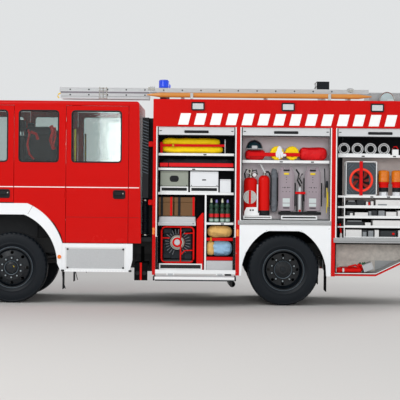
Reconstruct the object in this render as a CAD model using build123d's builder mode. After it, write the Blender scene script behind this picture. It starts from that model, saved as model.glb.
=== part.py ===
from build123d import *
import os
from math import radians, tan

os.makedirs("parts", exist_ok=True)

# Crew-cab fire engine, in millimetres. +X runs to the rear, +Y to the vehicle's right, +Z up.
# The origin lies on the ground, in the middle of the footprint.

# Driving sizes of the whole vehicle
LENGTH = 7600
FRONT_X = -3800
REAR_X = FRONT_X + LENGTH
WHEELBASE = 3915
FRONT_AXLE_X = -2440
REAR_AXLE_X = FRONT_AXLE_X + WHEELBASE
TYRE_RADIUS = 509.5
AXLE_Z = TYRE_RADIUS
CAB_HALF_WIDTH = 1150
WING_HALF_WIDTH = 1225
BODY_HALF_WIDTH = 1250
SIDES = (-1, 1)
SIDE_NAMES = {-1: "left", 1: "right"}
SEAT_GAP = 0.3
JOINT_GAP = 6

# Wheels
TYRE_WIDTH = 255
RIM_RADIUS = 285.7
FRONT_TRACK_Y = 1010
TWIN_MIDDLE_Y = 929.5
TWIN_SPACING = 285
SPINDLE_RADIUS = 45
REAR_SPINDLE_RADIUS = 60
SPINDLE_CLEARANCE = 0.08
KINGPIN_Y = 860
KINGPIN_RADIUS = 25

# Chassis
RAIL_Y = 430
RAIL_HEIGHT = 220
RAIL_FLANGE = 80
RAIL_WALL = 8
RAIL_Z = 700
RAIL_FRONT_X = FRONT_X + 200
RAIL_REAR_X = REAR_X - 240

# Cab
CAB_BOTTOM_Z = 869
CAB_FRONT_X = -3680
CAB_REAR_X = -580
CAB_REAR_LEAN = 40
SCREEN_TOP_X = -3560
SCREEN_BOTTOM_Z = 1700
DOOR_TOP_Z = 2847
CAB_TOP_Z = 2921
CAB_WALL = 50
GLASS = 6
WINDOW_BOTTOM_Z = 2042
WINDOW_TOP_Z = 2773
WINDOW_CORNER = 45
FRONT_FLOOR_Z = 1450
CREW_FLOOR_Z = 1150
FLOOR_THICKNESS = 40
FLOOR_STEP_X = -1900
FRONT_DOOR_X = (-3460, -2424)
CREW_DOOR_X = (-1668, -772)
FRONT_WINDOW_X = (-3354, -2518)
MIDDLE_WINDOW_X = (-2346, -1785)
CREW_WINDOW_X = (-1585, -879)

# Superstructure
BODY_FRONT_X = -415
BODY_REAR_X = REAR_X - 200
# Posts: one at each end of the body, one before and one behind the rear arch
POSTS_X = [(BODY_FRONT_X, BODY_FRONT_X + 45), (REAR_AXLE_X - 693, REAR_AXLE_X - 639),
           (REAR_AXLE_X + 675, REAR_AXLE_X + 733), (BODY_REAR_X - 120, BODY_REAR_X)]
BODY_TOP_Z = 2955
OPENING_TOP_Z = 2560
BODY_LOW_Z = 441
PANEL = 30
POST_DEPTH = 60
LOCKER_INNER_Y = 620
DECK_Z = 960
UPPER_SILL_Z = 1190
RAMP_SHARE = 0.4733
DEPARTURE_X = POSTS_X[2][1] + RAMP_SHARE * (POSTS_X[3][0] - POSTS_X[2][1])
DEPARTURE_ANGLE = 26
BOX_X = (BODY_REAR_X - 887, BODY_REAR_X - 60)


def block(x, y, z, mode=Mode.ADD):
    """Add or cut a cuboid that lies between two values on each axis."""
    with Locations(((x[0] + x[1]) / 2, (y[0] + y[1]) / 2, (z[0] + z[1]) / 2)):
        Box(abs(x[1] - x[0]), abs(y[1] - y[0]), abs(z[1] - z[0]), mode=mode)


def side_slab(points, y, mode=Mode.ADD):
    """Add or cut a side outline of (x, z) points, carried between two values of y."""
    near, far = min(y), max(y)
    with BuildSketch(Plane.XZ.offset(-far)) as outline:
        with BuildLine():
            Polyline(points, close=True)
        make_face()
    extrude(outline.sketch, amount=far - near, mode=mode)


def side_window(x, z, y, corner, mode=Mode.ADD):
    """Add or cut a rounded rectangle seen from the side, between two values of y."""
    near, far = min(y), max(y)
    with BuildSketch(Plane.XZ.offset(-far)) as outline:
        with Locations(((x[0] + x[1]) / 2, (z[0] + z[1]) / 2)):
            RectangleRounded(x[1] - x[0], z[1] - z[0], corner)
    extrude(outline.sketch, amount=far - near, mode=mode)


def rod(start, end, radius, mode=Mode.ADD):
    """Add or cut a round bar between two points."""
    along = Vector(*end) - Vector(*start)
    with BuildSketch(Plane(start, z_dir=along)) as section:
        Circle(radius)
    extrude(section.sketch, amount=along.length, mode=mode)


def turned(profile, centre, side=1, axis=(0, 1, 0), mode=Mode.ADD):
    """Revolve (radius, distance outboard) points about a wheel's axle line."""
    with BuildSketch(Plane(centre)) as section:
        with BuildLine():
            Polyline([(radius, side * out) for radius, out in profile], close=True)
        make_face()
    revolve(section.sketch, axis=Axis(centre, axis), mode=mode)


def mirrored(side, inner, outer):
    """The two y values of something between two distances from the middle, on one side."""
    return (side * inner, side * outer)


def write(piece, name):
    """Set a finished piece about the middle of the footprint, label it and write it."""
    finished = piece.part.moved(Location((-(FRONT_X + REAR_X) / 2, 0, 0)))
    finished.label = name
    export_step(finished, f"parts/{name}.step")


# Tyres: (radius, distance outboard of the tyre's middle)
BEAD = RIM_RADIUS + SEAT_GAP
TYRE_PROFILE = [
    (BEAD, -98), (302, -98), (400, -TYRE_WIDTH / 2), (480, -122), (TYRE_RADIUS, -98),
    (TYRE_RADIUS, 98), (480, 122), (400, TYRE_WIDTH / 2), (302, 98), (BEAD, 98),
]
# Rims: a barrel with two flanges, a disc, a hub, and the brake drum behind it
BARREL = [
    (301, 106), (301, 98.6), (RIM_RADIUS, 98.6), (RIM_RADIUS, -98.6),
    (301, -98.6), (301, -106), (274, -106), (274, 106),
]
FRONT_DISC = [(276, 50), (276, 70), (176, 134), (60, 134), (60, 118), (170, 118)]
FRONT_HUB = [(0, -70), (105, -70), (105, 60), (95, 118), (95, 140), (86, 178), (60, 192), (0, 192)]
FRONT_DRUM = [(160, -75), (182, -75), (182, 125), (160, 125)]
TWIN_DISC = [(276, 42), (276, 66), (238, 20), (100, 20), (100, 0), (244, 0)]
REAR_HUB = [(0, -120), (105, -120), (105, 20), (134, 20), (134, 62), (122, 78), (60, 92), (0, 92)]
REAR_DRUM = [(160, -200), (182, -200), (182, 10), (160, 10)]
HAND_HOLES = 8
HAND_HOLE_RADIUS = 24
HAND_HOLE_CIRCLE = 218

for side in SIDES:
    centre = (FRONT_AXLE_X, side * FRONT_TRACK_Y, AXLE_Z)
    with BuildPart() as tyre_front:
        turned(TYRE_PROFILE, centre, side)
    write(tyre_front, f"tyre_front_{SIDE_NAMES[side]}")

    with BuildPart() as rim_front:
        for profile in (BARREL, FRONT_DISC, FRONT_HUB, FRONT_DRUM):
            turned(profile, centre, side)
        with BuildSketch(Plane(centre, x_dir=(1, 0, 0), z_dir=(0, side, 0)).offset(40)):
            with PolarLocations(HAND_HOLE_CIRCLE, HAND_HOLES):
                Circle(HAND_HOLE_RADIUS)
        extrude(amount=90, mode=Mode.SUBTRACT)
        bore = SPINDLE_RADIUS + SPINDLE_CLEARANCE
        turned([(0, -71), (bore, -71), (bore, 95), (0, 95)], centre, side, mode=Mode.SUBTRACT)
    write(rim_front, f"rim_front_{SIDE_NAMES[side]}")

    twin = (REAR_AXLE_X, side * TWIN_MIDDLE_Y, AXLE_Z)
    with BuildPart() as tyres_rear:
        for out in (-TWIN_SPACING / 2, TWIN_SPACING / 2):
            turned([(r, w + out) for r, w in TYRE_PROFILE], twin, side)
    write(tyres_rear, f"tyres_rear_{SIDE_NAMES[side]}")

    with BuildPart() as rims_rear:
        for turn in (-1, 1):
            turned([(r, w + turn * TWIN_SPACING / 2) for r, w in BARREL], twin, side)
            turned([(r, w * turn) for r, w in TWIN_DISC], twin, side)
        turned(REAR_HUB, twin, side)
        turned(REAR_DRUM, twin, side)
        with BuildSketch(Plane(twin, x_dir=(1, 0, 0), z_dir=(0, side, 0)).offset(-22)):
            with PolarLocations(208, HAND_HOLES):
                Circle(22)
        extrude(amount=44, mode=Mode.SUBTRACT)
        bore = REAR_SPINDLE_RADIUS + SPINDLE_CLEARANCE
        turned([(0, -121), (bore, -121), (bore, 20), (0, 20)], twin, side, mode=Mode.SUBTRACT)
    write(rims_rear, f"rims_rear_{SIDE_NAMES[side]}")

# Steering knuckles: an upright boss on its kingpin, the wheel's spindle and a steering arm
KNUCKLE_Z = (398, 620)
YOKE_Z = (360, 658)
for side in SIDES:
    with BuildPart() as knuckle:
        with BuildSketch(Plane.XY.offset(KNUCKLE_Z[0])):
            with Locations((FRONT_AXLE_X, side * KINGPIN_Y)):
                Circle(55)
        extrude(amount=KNUCKLE_Z[1] - KNUCKLE_Z[0])
        with BuildSketch(Plane.XY.offset(YOKE_Z[0])):
            with Locations((FRONT_AXLE_X, side * KINGPIN_Y)):
                Circle(KINGPIN_RADIUS)
        extrude(amount=YOKE_Z[1] - YOKE_Z[0])
        rod((FRONT_AXLE_X, side * KINGPIN_Y, AXLE_Z),
            (FRONT_AXLE_X, side * (FRONT_TRACK_Y + 90), AXLE_Z), SPINDLE_RADIUS)
        block((FRONT_AXLE_X, FRONT_AXLE_X + 210), mirrored(side, KINGPIN_Y - 20, KINGPIN_Y + 20), (420, 450))
    write(knuckle, f"knuckle_{SIDE_NAMES[side]}")

# Driven axles: a tube, a differential housing and its input flange; the front one ends in yokes
HOUSING = [(0, -230), (80, -230), (150, -130), (190, -60), (190, 60), (150, 130), (80, 230), (0, 230)]
YOKE_ARM = 35
SHAFT_Z = AXLE_Z + 60
INPUT_FLANGE = 260
with BuildPart() as axles:
    rod((FRONT_AXLE_X, -800, AXLE_Z), (FRONT_AXLE_X, 800, AXLE_Z), 65)
    turned(HOUSING, (FRONT_AXLE_X, 0, AXLE_Z))
    rod((FRONT_AXLE_X, 0, SHAFT_Z), (FRONT_AXLE_X + INPUT_FLANGE, 0, SHAFT_Z), 70)
    for side in SIDES:
        block((FRONT_AXLE_X - 50, FRONT_AXLE_X + 50), mirrored(side, 755, 790), YOKE_Z)
        for low in (YOKE_Z[0], YOKE_Z[1] - YOKE_ARM):
            with BuildSketch(Plane.XY.offset(low)):
                with Locations((FRONT_AXLE_X, side * KINGPIN_Y)):
                    Circle(50)
                with Locations((FRONT_AXLE_X, side * (KINGPIN_Y + 755) / 2)):
                    Rectangle(100, KINGPIN_Y - 755)
                with Locations((FRONT_AXLE_X, side * KINGPIN_Y)):
                    Circle(KINGPIN_RADIUS + SPINDLE_CLEARANCE, mode=Mode.SUBTRACT)
            extrude(amount=YOKE_ARM)
    rod((REAR_AXLE_X, -760, AXLE_Z), (REAR_AXLE_X, 760, AXLE_Z), 75)
    rod((REAR_AXLE_X, -940, AXLE_Z), (REAR_AXLE_X, 940, AXLE_Z), REAR_SPINDLE_RADIUS)
    turned(HOUSING, (REAR_AXLE_X, 0, AXLE_Z))
    rod((REAR_AXLE_X, 0, SHAFT_Z), (REAR_AXLE_X - INPUT_FLANGE, 0, SHAFT_Z), 70)
# Leaf springs under both rails, in one piece set with the axles: thick in the middle, thin at the eyes
SPRING_HALF = 640
SPRING_WIDTH = 70
SPRING_EYE_Z = 665
SPRING_EYE = 26
# axle x, height of the tube that the spring sits on
SPRING_SEATS = [(FRONT_AXLE_X, AXLE_Z + 65), (REAR_AXLE_X, AXLE_Z + 75)]
with axles:
    for axle_x, seat_z in SPRING_SEATS:
        low = seat_z + SEAT_GAP
        start, end = axle_x - SPRING_HALF, axle_x + SPRING_HALF
        for side in SIDES:
            with BuildSketch(Plane.XZ.offset(-side * RAIL_Y - SPRING_WIDTH / 2)):
                with BuildLine():
                    ThreePointArc((start, SPRING_EYE_Z - 8), (axle_x, low), (end, SPRING_EYE_Z - 8))
                    Line((end, SPRING_EYE_Z - 8), (end, SPRING_EYE_Z + 8))
                    ThreePointArc((end, SPRING_EYE_Z + 8), (axle_x, low + 62), (start, SPRING_EYE_Z + 8))
                    Line((start, SPRING_EYE_Z + 8), (start, SPRING_EYE_Z - 8))
                make_face()
                with Locations((start, SPRING_EYE_Z), (end, SPRING_EYE_Z)):
                    Circle(SPRING_EYE)
            extrude(amount=SPRING_WIDTH)
write(axles, "axles")

# Chassis frame: two channel rails, cross members, spring hangers and the tow jaws
TRANSFER_X = (-1000, -700)
TRANSFER_Z = (480, 740)
CROSS_MEMBERS_X = (RAIL_FRONT_X + 100, -1700, -850, -250, REAR_AXLE_X - 775, REAR_AXLE_X + 875,
                   RAIL_REAR_X - 110)
CROSS_MEMBER_Z = (740, 870)
HANGER_EYES_X = [x + s * SPRING_HALF for x, _ in SPRING_SEATS for s in (-1, 1)]
TOW_PIN_RADIUS = 20
TOW_REACH = 120
TOW_PIN_OUT = 70
TOW_EARS_Z = (730, 820)
TOW_EAR = 30
with BuildPart() as chassis_frame:
    for side in SIDES:
        with BuildSketch(Plane.YZ.offset(RAIL_FRONT_X)):
            with Locations((side * RAIL_Y, RAIL_Z + RAIL_HEIGHT / 2)):
                Rectangle(RAIL_FLANGE, RAIL_HEIGHT)
            with Locations((side * (RAIL_Y - RAIL_WALL), RAIL_Z + RAIL_HEIGHT / 2)):
                Rectangle(RAIL_FLANGE, RAIL_HEIGHT - 2 * RAIL_WALL, mode=Mode.SUBTRACT)
        extrude(amount=RAIL_REAR_X - RAIL_FRONT_X)
        for eye_x in HANGER_EYES_X:
            block((eye_x - 40, eye_x + 40), mirrored(side, RAIL_Y - 35, RAIL_Y + 35),
                  (SPRING_EYE_Z + SPRING_EYE + SEAT_GAP, RAIL_Z))
    web_y = RAIL_Y + RAIL_FLANGE / 2 - RAIL_WALL
    member_y = (-web_y + SEAT_GAP, web_y - SEAT_GAP)
    for x in CROSS_MEMBERS_X:
        block((x - 60, x + 60), member_y, CROSS_MEMBER_Z)
    for x, out in ((RAIL_REAR_X, 1), (RAIL_FRONT_X, -1)):
        block((x, x - TOW_EAR * out), member_y,
              (RAIL_Z + RAIL_WALL + SEAT_GAP, RAIL_Z + RAIL_HEIGHT - RAIL_WALL - SEAT_GAP))
        for low in TOW_EARS_Z:
            block((x, x + TOW_REACH * out), (-60, 60), (low, low + TOW_EAR))
        with BuildSketch(Plane.XY.offset(TOW_EARS_Z[0])):
            with Locations((x + TOW_PIN_OUT * out, 0)):
                Circle(TOW_PIN_RADIUS)
        extrude(amount=TOW_EARS_Z[1] + TOW_EAR - TOW_EARS_Z[0], mode=Mode.SUBTRACT)
write(chassis_frame, "chassis_frame")

# Engine on its mounts, gearbox and transfer box as plain blocks, with the two propeller shafts
with BuildPart() as drive_train:
    block((-3350, -2150), (-320, 320), (770, 1380))
    for x in (-3150, -2300):
        block((x - 50, x + 50), member_y, (790, 850))
    block((-2150, -1400), (-220, 220), (CROSS_MEMBER_Z[1] + SEAT_GAP, 1090))
    block(TRANSFER_X, (-200, 200), (TRANSFER_Z[0], CROSS_MEMBER_Z[0] - SEAT_GAP))
    rod((TRANSFER_X[1], 0, SHAFT_Z), (REAR_AXLE_X - INPUT_FLANGE - SEAT_GAP, 0, SHAFT_Z), 45)
    rod((TRANSFER_X[0], 0, SHAFT_Z), (FRONT_AXLE_X + INPUT_FLANGE + SEAT_GAP, 0, SHAFT_Z), 40)
write(drive_train, "drive_train")

# Fuel tank, battery box and air tanks hung on the rails; silencer with its tail pipe
RAIL_OUTER_Y = RAIL_Y + RAIL_FLANGE / 2
SILENCER_Z = RAIL_Z - 115
PIPE_RADIUS = 45
SILENCER_X = (REAR_AXLE_X - 1575, REAR_AXLE_X - 995)
SILENCER_Y = -250
PIPE_ROUTE = [(SILENCER_X[1], SILENCER_Y, SILENCER_Z), (SILENCER_X[1] + 140, SILENCER_Y, SILENCER_Z),
              (REAR_AXLE_X - 755, -560, 300), (REAR_AXLE_X - 735, -1140, 300)]
with BuildPart() as tanks_and_exhaust:
    block((-1640, -860), (RAIL_OUTER_Y, 900), (500, 860))
    fillet(tanks_and_exhaust.edges().filter_by(Axis.X).group_by(Axis.Y)[-1], 60)
    block((-1640, -1250), (-880, -RAIL_OUTER_Y), (520, 860))
    for z in (600, 790):
        rod((-1200, -640, z), (-860, -640, z), 90)
    block((-1080, -980), (-640, -RAIL_OUTER_Y), (580, 820))
    rod((SILENCER_X[0], SILENCER_Y, SILENCER_Z), PIPE_ROUTE[0], 112)
    block((SILENCER_X[0] + 250, SILENCER_X[0] + 310), (-RAIL_OUTER_Y, SILENCER_Y), (SILENCER_Z + 60, RAIL_Z))
    with BuildLine() as pipe_line:
        FilletPolyline(*PIPE_ROUTE, radius=100)
    with BuildSketch(Plane(PIPE_ROUTE[0], z_dir=(1, 0, 0))) as pipe_section:
        Circle(PIPE_RADIUS)
    sweep(pipe_section.sketch, path=pipe_line.line)
    rod(PIPE_ROUTE[-1], (PIPE_ROUTE[-1][0], PIPE_ROUTE[-1][1] + 60, PIPE_ROUTE[-1][2]), PIPE_RADIUS - 5,
        mode=Mode.SUBTRACT)
write(tanks_and_exhaust, "tanks_and_exhaust")

# Cab shell: floor, walls split at the real panel joints, and the roof


def screen_x(z):
    """The windscreen's slope: x of the cab's front face at a height."""
    rise = (z - SCREEN_BOTTOM_Z) / (DOOR_TOP_Z - SCREEN_BOTTOM_Z)
    return CAB_FRONT_X + max(rise, 0) * (SCREEN_TOP_X - CAB_FRONT_X)


def cab_rear_x(z):
    """The slightly leaning rear face of the cab: x at a height."""
    return CAB_REAR_X - CAB_REAR_LEAN * (z - CAB_BOTTOM_Z) / (DOOR_TOP_Z - CAB_BOTTOM_Z)


INNER_Y = CAB_HALF_WIDTH - CAB_WALL
FLOOR_Y = INNER_Y - JOINT_GAP
WALL_TOP_Z = DOOR_TOP_Z + JOINT_GAP
# Seats: front edge x, middle y, width, height of the floor below
SEATS = [(-2900, -640, 520, FRONT_FLOOR_Z), (-2900, 640, 520, FRONT_FLOOR_Z), (-1275, 0, 1900, CREW_FLOOR_Z)]
SEAT_HEIGHT = 300
CUSHION = 130
BACK = 120
FRONT_FLOOR = (FRONT_FLOOR_Z - FLOOR_THICKNESS, FRONT_FLOOR_Z)
CREW_FLOOR = (CREW_FLOOR_Z - FLOOR_THICKNESS, CREW_FLOOR_Z)
with BuildPart() as cab_floor:
    block((screen_x(1400) + CAB_WALL, FLOOR_STEP_X), (-FLOOR_Y, FLOOR_Y), FRONT_FLOOR)
    block((FLOOR_STEP_X - FLOOR_THICKNESS, FLOOR_STEP_X), (-FLOOR_Y, FLOOR_Y), (CREW_FLOOR_Z, FRONT_FLOOR_Z))
    block((FLOOR_STEP_X - FLOOR_THICKNESS, -640), (-FLOOR_Y, FLOOR_Y), CREW_FLOOR)
    for side in SIDES:
        # Mounts on the rails, and the tabs that carry the fixed side panels
        for x, top in ((-3520, FRONT_FLOOR_Z), (-1150, CREW_FLOOR_Z), (-720, CREW_FLOOR_Z)):
            block((x - 40, x + 40), mirrored(side, RAIL_Y - 40, RAIL_Y + 40),
                  (RAIL_Z + RAIL_HEIGHT + SEAT_GAP, top - FLOOR_THICKNESS - SEAT_GAP))
        block((-2390, FLOOR_STEP_X), mirrored(side, FLOOR_Y - 1, INNER_Y), FRONT_FLOOR)
        block((FLOOR_STEP_X, -1690), mirrored(side, FLOOR_Y - 1, INNER_Y), CREW_FLOOR)
    for x, y, width, floor_z in SEATS:
        block((x + 40, x + 480 + BACK), (y - width / 2 + 40, y + width / 2 - 40),
              (floor_z, floor_z + SEAT_HEIGHT - SEAT_GAP))
write(cab_floor, "cab_floor")

# Door hinges: barrels in the joint at each door's front edge
HINGE_Z = (1560, 2560)
HINGE_RADIUS = 8
HINGE_HALF = 40
HINGE_LUG = 20
HINGE_PIN = 4
HINGE_ROOM = HINGE_RADIUS + 5
HINGE_Y = CAB_HALF_WIDTH + 1
# hinge x of each door, which is the middle of the joint in front of it
DOOR_HINGE_X = {"front": FRONT_DOOR_X[0] - JOINT_GAP / 2, "crew": CREW_DOOR_X[0] - JOINT_GAP / 2}


def hinge_barrel(x, y, z, half, radius, mode=Mode.ADD):
    """An upright barrel of a hinge, reaching half its length each way from z."""
    rod((x, y, z - half), (x, y, z + half), radius, mode)


def pillar_hinges(x, y):
    """The fixed half of a door's hinges: room for the door's barrels, two lugs and the pin."""
    for z in HINGE_Z:
        hinge_barrel(x, y, z, HINGE_HALF + 2, HINGE_ROOM, Mode.SUBTRACT)
        for end in (-1, 1):
            hinge_barrel(x, y, z + end * (HINGE_HALF + 2 + HINGE_LUG / 2), HINGE_LUG / 2, HINGE_RADIUS)
        hinge_barrel(x, y, z, HINGE_HALF + 2 + HINGE_LUG / 2, HINGE_PIN)


# Arch outline of the front wing: (distance from the axle, height)
WING_TOP_Z = 1439
WING_INNER_TOP_Z = 1277
WING_OUTER_ARC = ((220, WING_TOP_Z), (560, 1190), (728, CAB_BOTTOM_Z))
WING_INNER_ARC = ((180, WING_INNER_TOP_Z), (520, 1005), (660, 580))
WING_FOOT = (714, 458)

with BuildPart() as cab_walls:
    # Front panel below the windscreen
    block((CAB_FRONT_X, CAB_FRONT_X + CAB_WALL), (-INNER_Y, INNER_Y), (905, SCREEN_BOTTOM_Z))
    for side in SIDES:
        wall_y = mirrored(side, INNER_Y, CAB_HALF_WIDTH)
        # Front pillar, with the strip below the front door
        door_x = FRONT_DOOR_X[0] - JOINT_GAP
        side_slab([(CAB_FRONT_X, 905), (CAB_FRONT_X, SCREEN_BOTTOM_Z), (screen_x(WALL_TOP_Z), WALL_TOP_Z),
                   (door_x, WALL_TOP_Z), (door_x, 1054), (-3180, 1054), (-3180, 905)], wall_y)
        # Fixed panel between the doors
        rear_x = CREW_DOOR_X[0] - JOINT_GAP
        side_slab([(FRONT_DOOR_X[1] + JOINT_GAP, 1400), (FRONT_DOOR_X[1] + JOINT_GAP, WALL_TOP_Z),
                   (rear_x, WALL_TOP_Z), (rear_x, 875), (-1705, 875), (-1735, 990), (-1830, 1150),
                   (-1990, 1300), (-2170, 1400)], wall_y)
        side_window(MIDDLE_WINDOW_X, (WINDOW_BOTTOM_Z, WINDOW_TOP_Z), wall_y, WINDOW_CORNER, Mode.SUBTRACT)
        # Rear corner panel
        corner_x = CREW_DOOR_X[1] + JOINT_GAP
        side_slab([(corner_x, 875), (corner_x, WALL_TOP_Z), (cab_rear_x(WALL_TOP_Z), WALL_TOP_Z),
                   (cab_rear_x(875), 875)], wall_y)
        for hinge_x in DOOR_HINGE_X.values():
            pillar_hinges(hinge_x, side * HINGE_Y)
    # Rear wall
    side_slab([(cab_rear_x(1000) - CAB_WALL, 1000), (cab_rear_x(WALL_TOP_Z) - CAB_WALL, WALL_TOP_Z),
               (cab_rear_x(WALL_TOP_Z), WALL_TOP_Z), (cab_rear_x(1000), 1000)], (-INNER_Y, INNER_Y))
write(cab_walls, "cab_walls")

ROOF_EDGE = 45
HEADER_Z = 2700
with BuildPart() as cab_roof:
    side_slab([(screen_x(WALL_TOP_Z), WALL_TOP_Z), (screen_x(WALL_TOP_Z) + 6, CAB_TOP_Z),
               (cab_rear_x(CAB_TOP_Z), CAB_TOP_Z), (cab_rear_x(WALL_TOP_Z), WALL_TOP_Z)],
              (-CAB_HALF_WIDTH, CAB_HALF_WIDTH))
    fillet(cab_roof.edges().group_by(Axis.Z)[-1], ROOF_EDGE)
    side_slab([(screen_x(HEADER_Z), HEADER_Z), (screen_x(WALL_TOP_Z), WALL_TOP_Z),
               (screen_x(WALL_TOP_Z) + CAB_WALL, WALL_TOP_Z), (screen_x(HEADER_Z) + CAB_WALL, HEADER_Z)],
              (-INNER_Y, INNER_Y))
write(cab_roof, "cab_roof")

# Windscreen and the fixed side windows
with BuildPart() as cab_glass:
    side_slab([(screen_x(z) + x, z) for z, x in ((SCREEN_BOTTOM_Z, 20), (SCREEN_BOTTOM_Z, 20 + GLASS),
               (HEADER_Z, 20 + GLASS), (HEADER_Z, 20))], (-INNER_Y, INNER_Y))
    for side in SIDES:
        middle = CAB_HALF_WIDTH - CAB_WALL / 2
        side_window((MIDDLE_WINDOW_X[0] + SEAT_GAP, MIDDLE_WINDOW_X[1] - SEAT_GAP),
                    (WINDOW_BOTTOM_Z + SEAT_GAP, WINDOW_TOP_Z - SEAT_GAP),
                    mirrored(side, middle - GLASS / 2, middle + GLASS / 2), WINDOW_CORNER - SEAT_GAP)
write(cab_glass, "cab_glass")

# Doors: the front ones step up over the wheel arch
FRONT_DOOR_OUTLINE = [
    (FRONT_DOOR_X[0], 1060), (FRONT_DOOR_X[0], DOOR_TOP_Z), (FRONT_DOOR_X[1], DOOR_TOP_Z),
    (FRONT_DOOR_X[1], WING_TOP_Z + 12), (-2690, WING_TOP_Z + 12), (-2885, 1350), (-3060, 1180), (-3112, 1060),
]
CREW_DOOR_OUTLINE = [
    (CREW_DOOR_X[0], 875), (CREW_DOOR_X[0], DOOR_TOP_Z), (CREW_DOOR_X[1], DOOR_TOP_Z), (CREW_DOOR_X[1], 875),
]
# name: (outline, window x)
DOORS = {"front": (FRONT_DOOR_OUTLINE, FRONT_WINDOW_X), "crew": (CREW_DOOR_OUTLINE, CREW_WINDOW_X)}
for side in SIDES:
    for door_name, (outline, window_x) in DOORS.items():
        wall_y = mirrored(side, INNER_Y, CAB_HALF_WIDTH)
        with BuildPart() as door:
            side_slab(outline, wall_y)
            side_window(window_x, (WINDOW_BOTTOM_Z, WINDOW_TOP_Z), wall_y, WINDOW_CORNER, Mode.SUBTRACT)
            for z in HINGE_Z:
                hinge = (DOOR_HINGE_X[door_name], side * HINGE_Y, z)
                hinge_barrel(*hinge, HINGE_HALF + HINGE_LUG + 7, HINGE_ROOM, Mode.SUBTRACT)
                hinge_barrel(*hinge, HINGE_HALF, HINGE_RADIUS)
                block((hinge[0], hinge[0] + HINGE_ROOM + 8), mirrored(side, HINGE_Y - 9, CAB_HALF_WIDTH),
                      (z - HINGE_HALF, z + HINGE_HALF))
                hinge_barrel(*hinge, HINGE_HALF + 1, HINGE_PIN + SPINDLE_CLEARANCE, Mode.SUBTRACT)
        write(door, f"door_{door_name}_{SIDE_NAMES[side]}")
        with BuildPart() as door_glass:
            middle = CAB_HALF_WIDTH - CAB_WALL / 2
            side_window((window_x[0] + SEAT_GAP, window_x[1] - SEAT_GAP),
                        (WINDOW_BOTTOM_Z + SEAT_GAP, WINDOW_TOP_Z - SEAT_GAP),
                        mirrored(side, middle - GLASS / 2, middle + GLASS / 2), WINDOW_CORNER - SEAT_GAP)
        write(door_glass, f"glass_{door_name}_{SIDE_NAMES[side]}")

# Seats: soft cushions and backs on the plinths
with BuildPart() as seats:
    for x, y, width, floor_z in SEATS:
        low = floor_z + SEAT_HEIGHT
        with BuildSketch(Plane.XY.offset(low)):
            with Locations((x + 240, y)):
                RectangleRounded(480, width, 50)
        extrude(amount=CUSHION)
        with BuildSketch(Plane.YZ.offset(x + 480 + SEAT_GAP)):
            with Locations((y, low + 350)):
                RectangleRounded(width, 700, 50)
        extrude(amount=BACK)
write(seats, "seats")

# Dashboard with the steering column and wheel
with BuildPart() as dashboard:
    front_x = CAB_FRONT_X + CAB_WALL + SEAT_GAP
    side_slab([(front_x, 1560), (front_x, 1700), (-3560, 1980), (-3420, 1960), (-3330, 1860), (-3330, 1700),
               (-3420, 1560)], (-INNER_Y + 20, INNER_Y - 20))
    column_top = Vector(-3170, -640, 2080)
    rod((-3370, -640, 1840), tuple(column_top), 30)
    column_plane = Plane(column_top, z_dir=Vector(200, 0, 240))
    with BuildSketch(column_plane):
        Circle(225)
        Circle(195, mode=Mode.SUBTRACT)
        Rectangle(400, 40)
    extrude(amount=26)
write(dashboard, "dashboard")

# White mudguards over the front wheels, surrounds of the crew steps, and the rear arch panels
STEP_SURROUND_X = (-1711, -697)
STEP_BOTTOM_Z = 462
STEP_INNER_Y = WING_HALF_WIDTH - 60
STEP_PANEL_X = (-1665, -797)
STEP_PANEL_Z = (490, 813)
ARCH_PANEL_X = (POSTS_X[1][1] + SEAT_GAP, POSTS_X[2][0] - SEAT_GAP)
ARCH_PANEL_Z = (430, 1158 - SEAT_GAP)
REAR_ARCH_ARC = ((250, 1081), (477, 878), (600, 600))
REAR_ARCH_FOOT = 612


def about_axle(axle_x, way, points):
    """Points given from an axle as (distance, height), to the rear for way 1 or the front for -1."""
    return [(axle_x + way * out, z) for out, z in points]


def arch(axle_x, arc, foot_front, foot_rear):
    """Outline of an arch in side view: feet, a curve on each side and a flat top, left open."""
    front = about_axle(axle_x, -1, arc)
    rear = about_axle(axle_x, 1, arc)
    Line(foot_front, front[2])
    ThreePointArc(front[2], front[1], front[0])
    Line(front[0], rear[0])
    ThreePointArc(rear[0], rear[1], rear[2])
    Line(rear[2], foot_rear)


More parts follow.
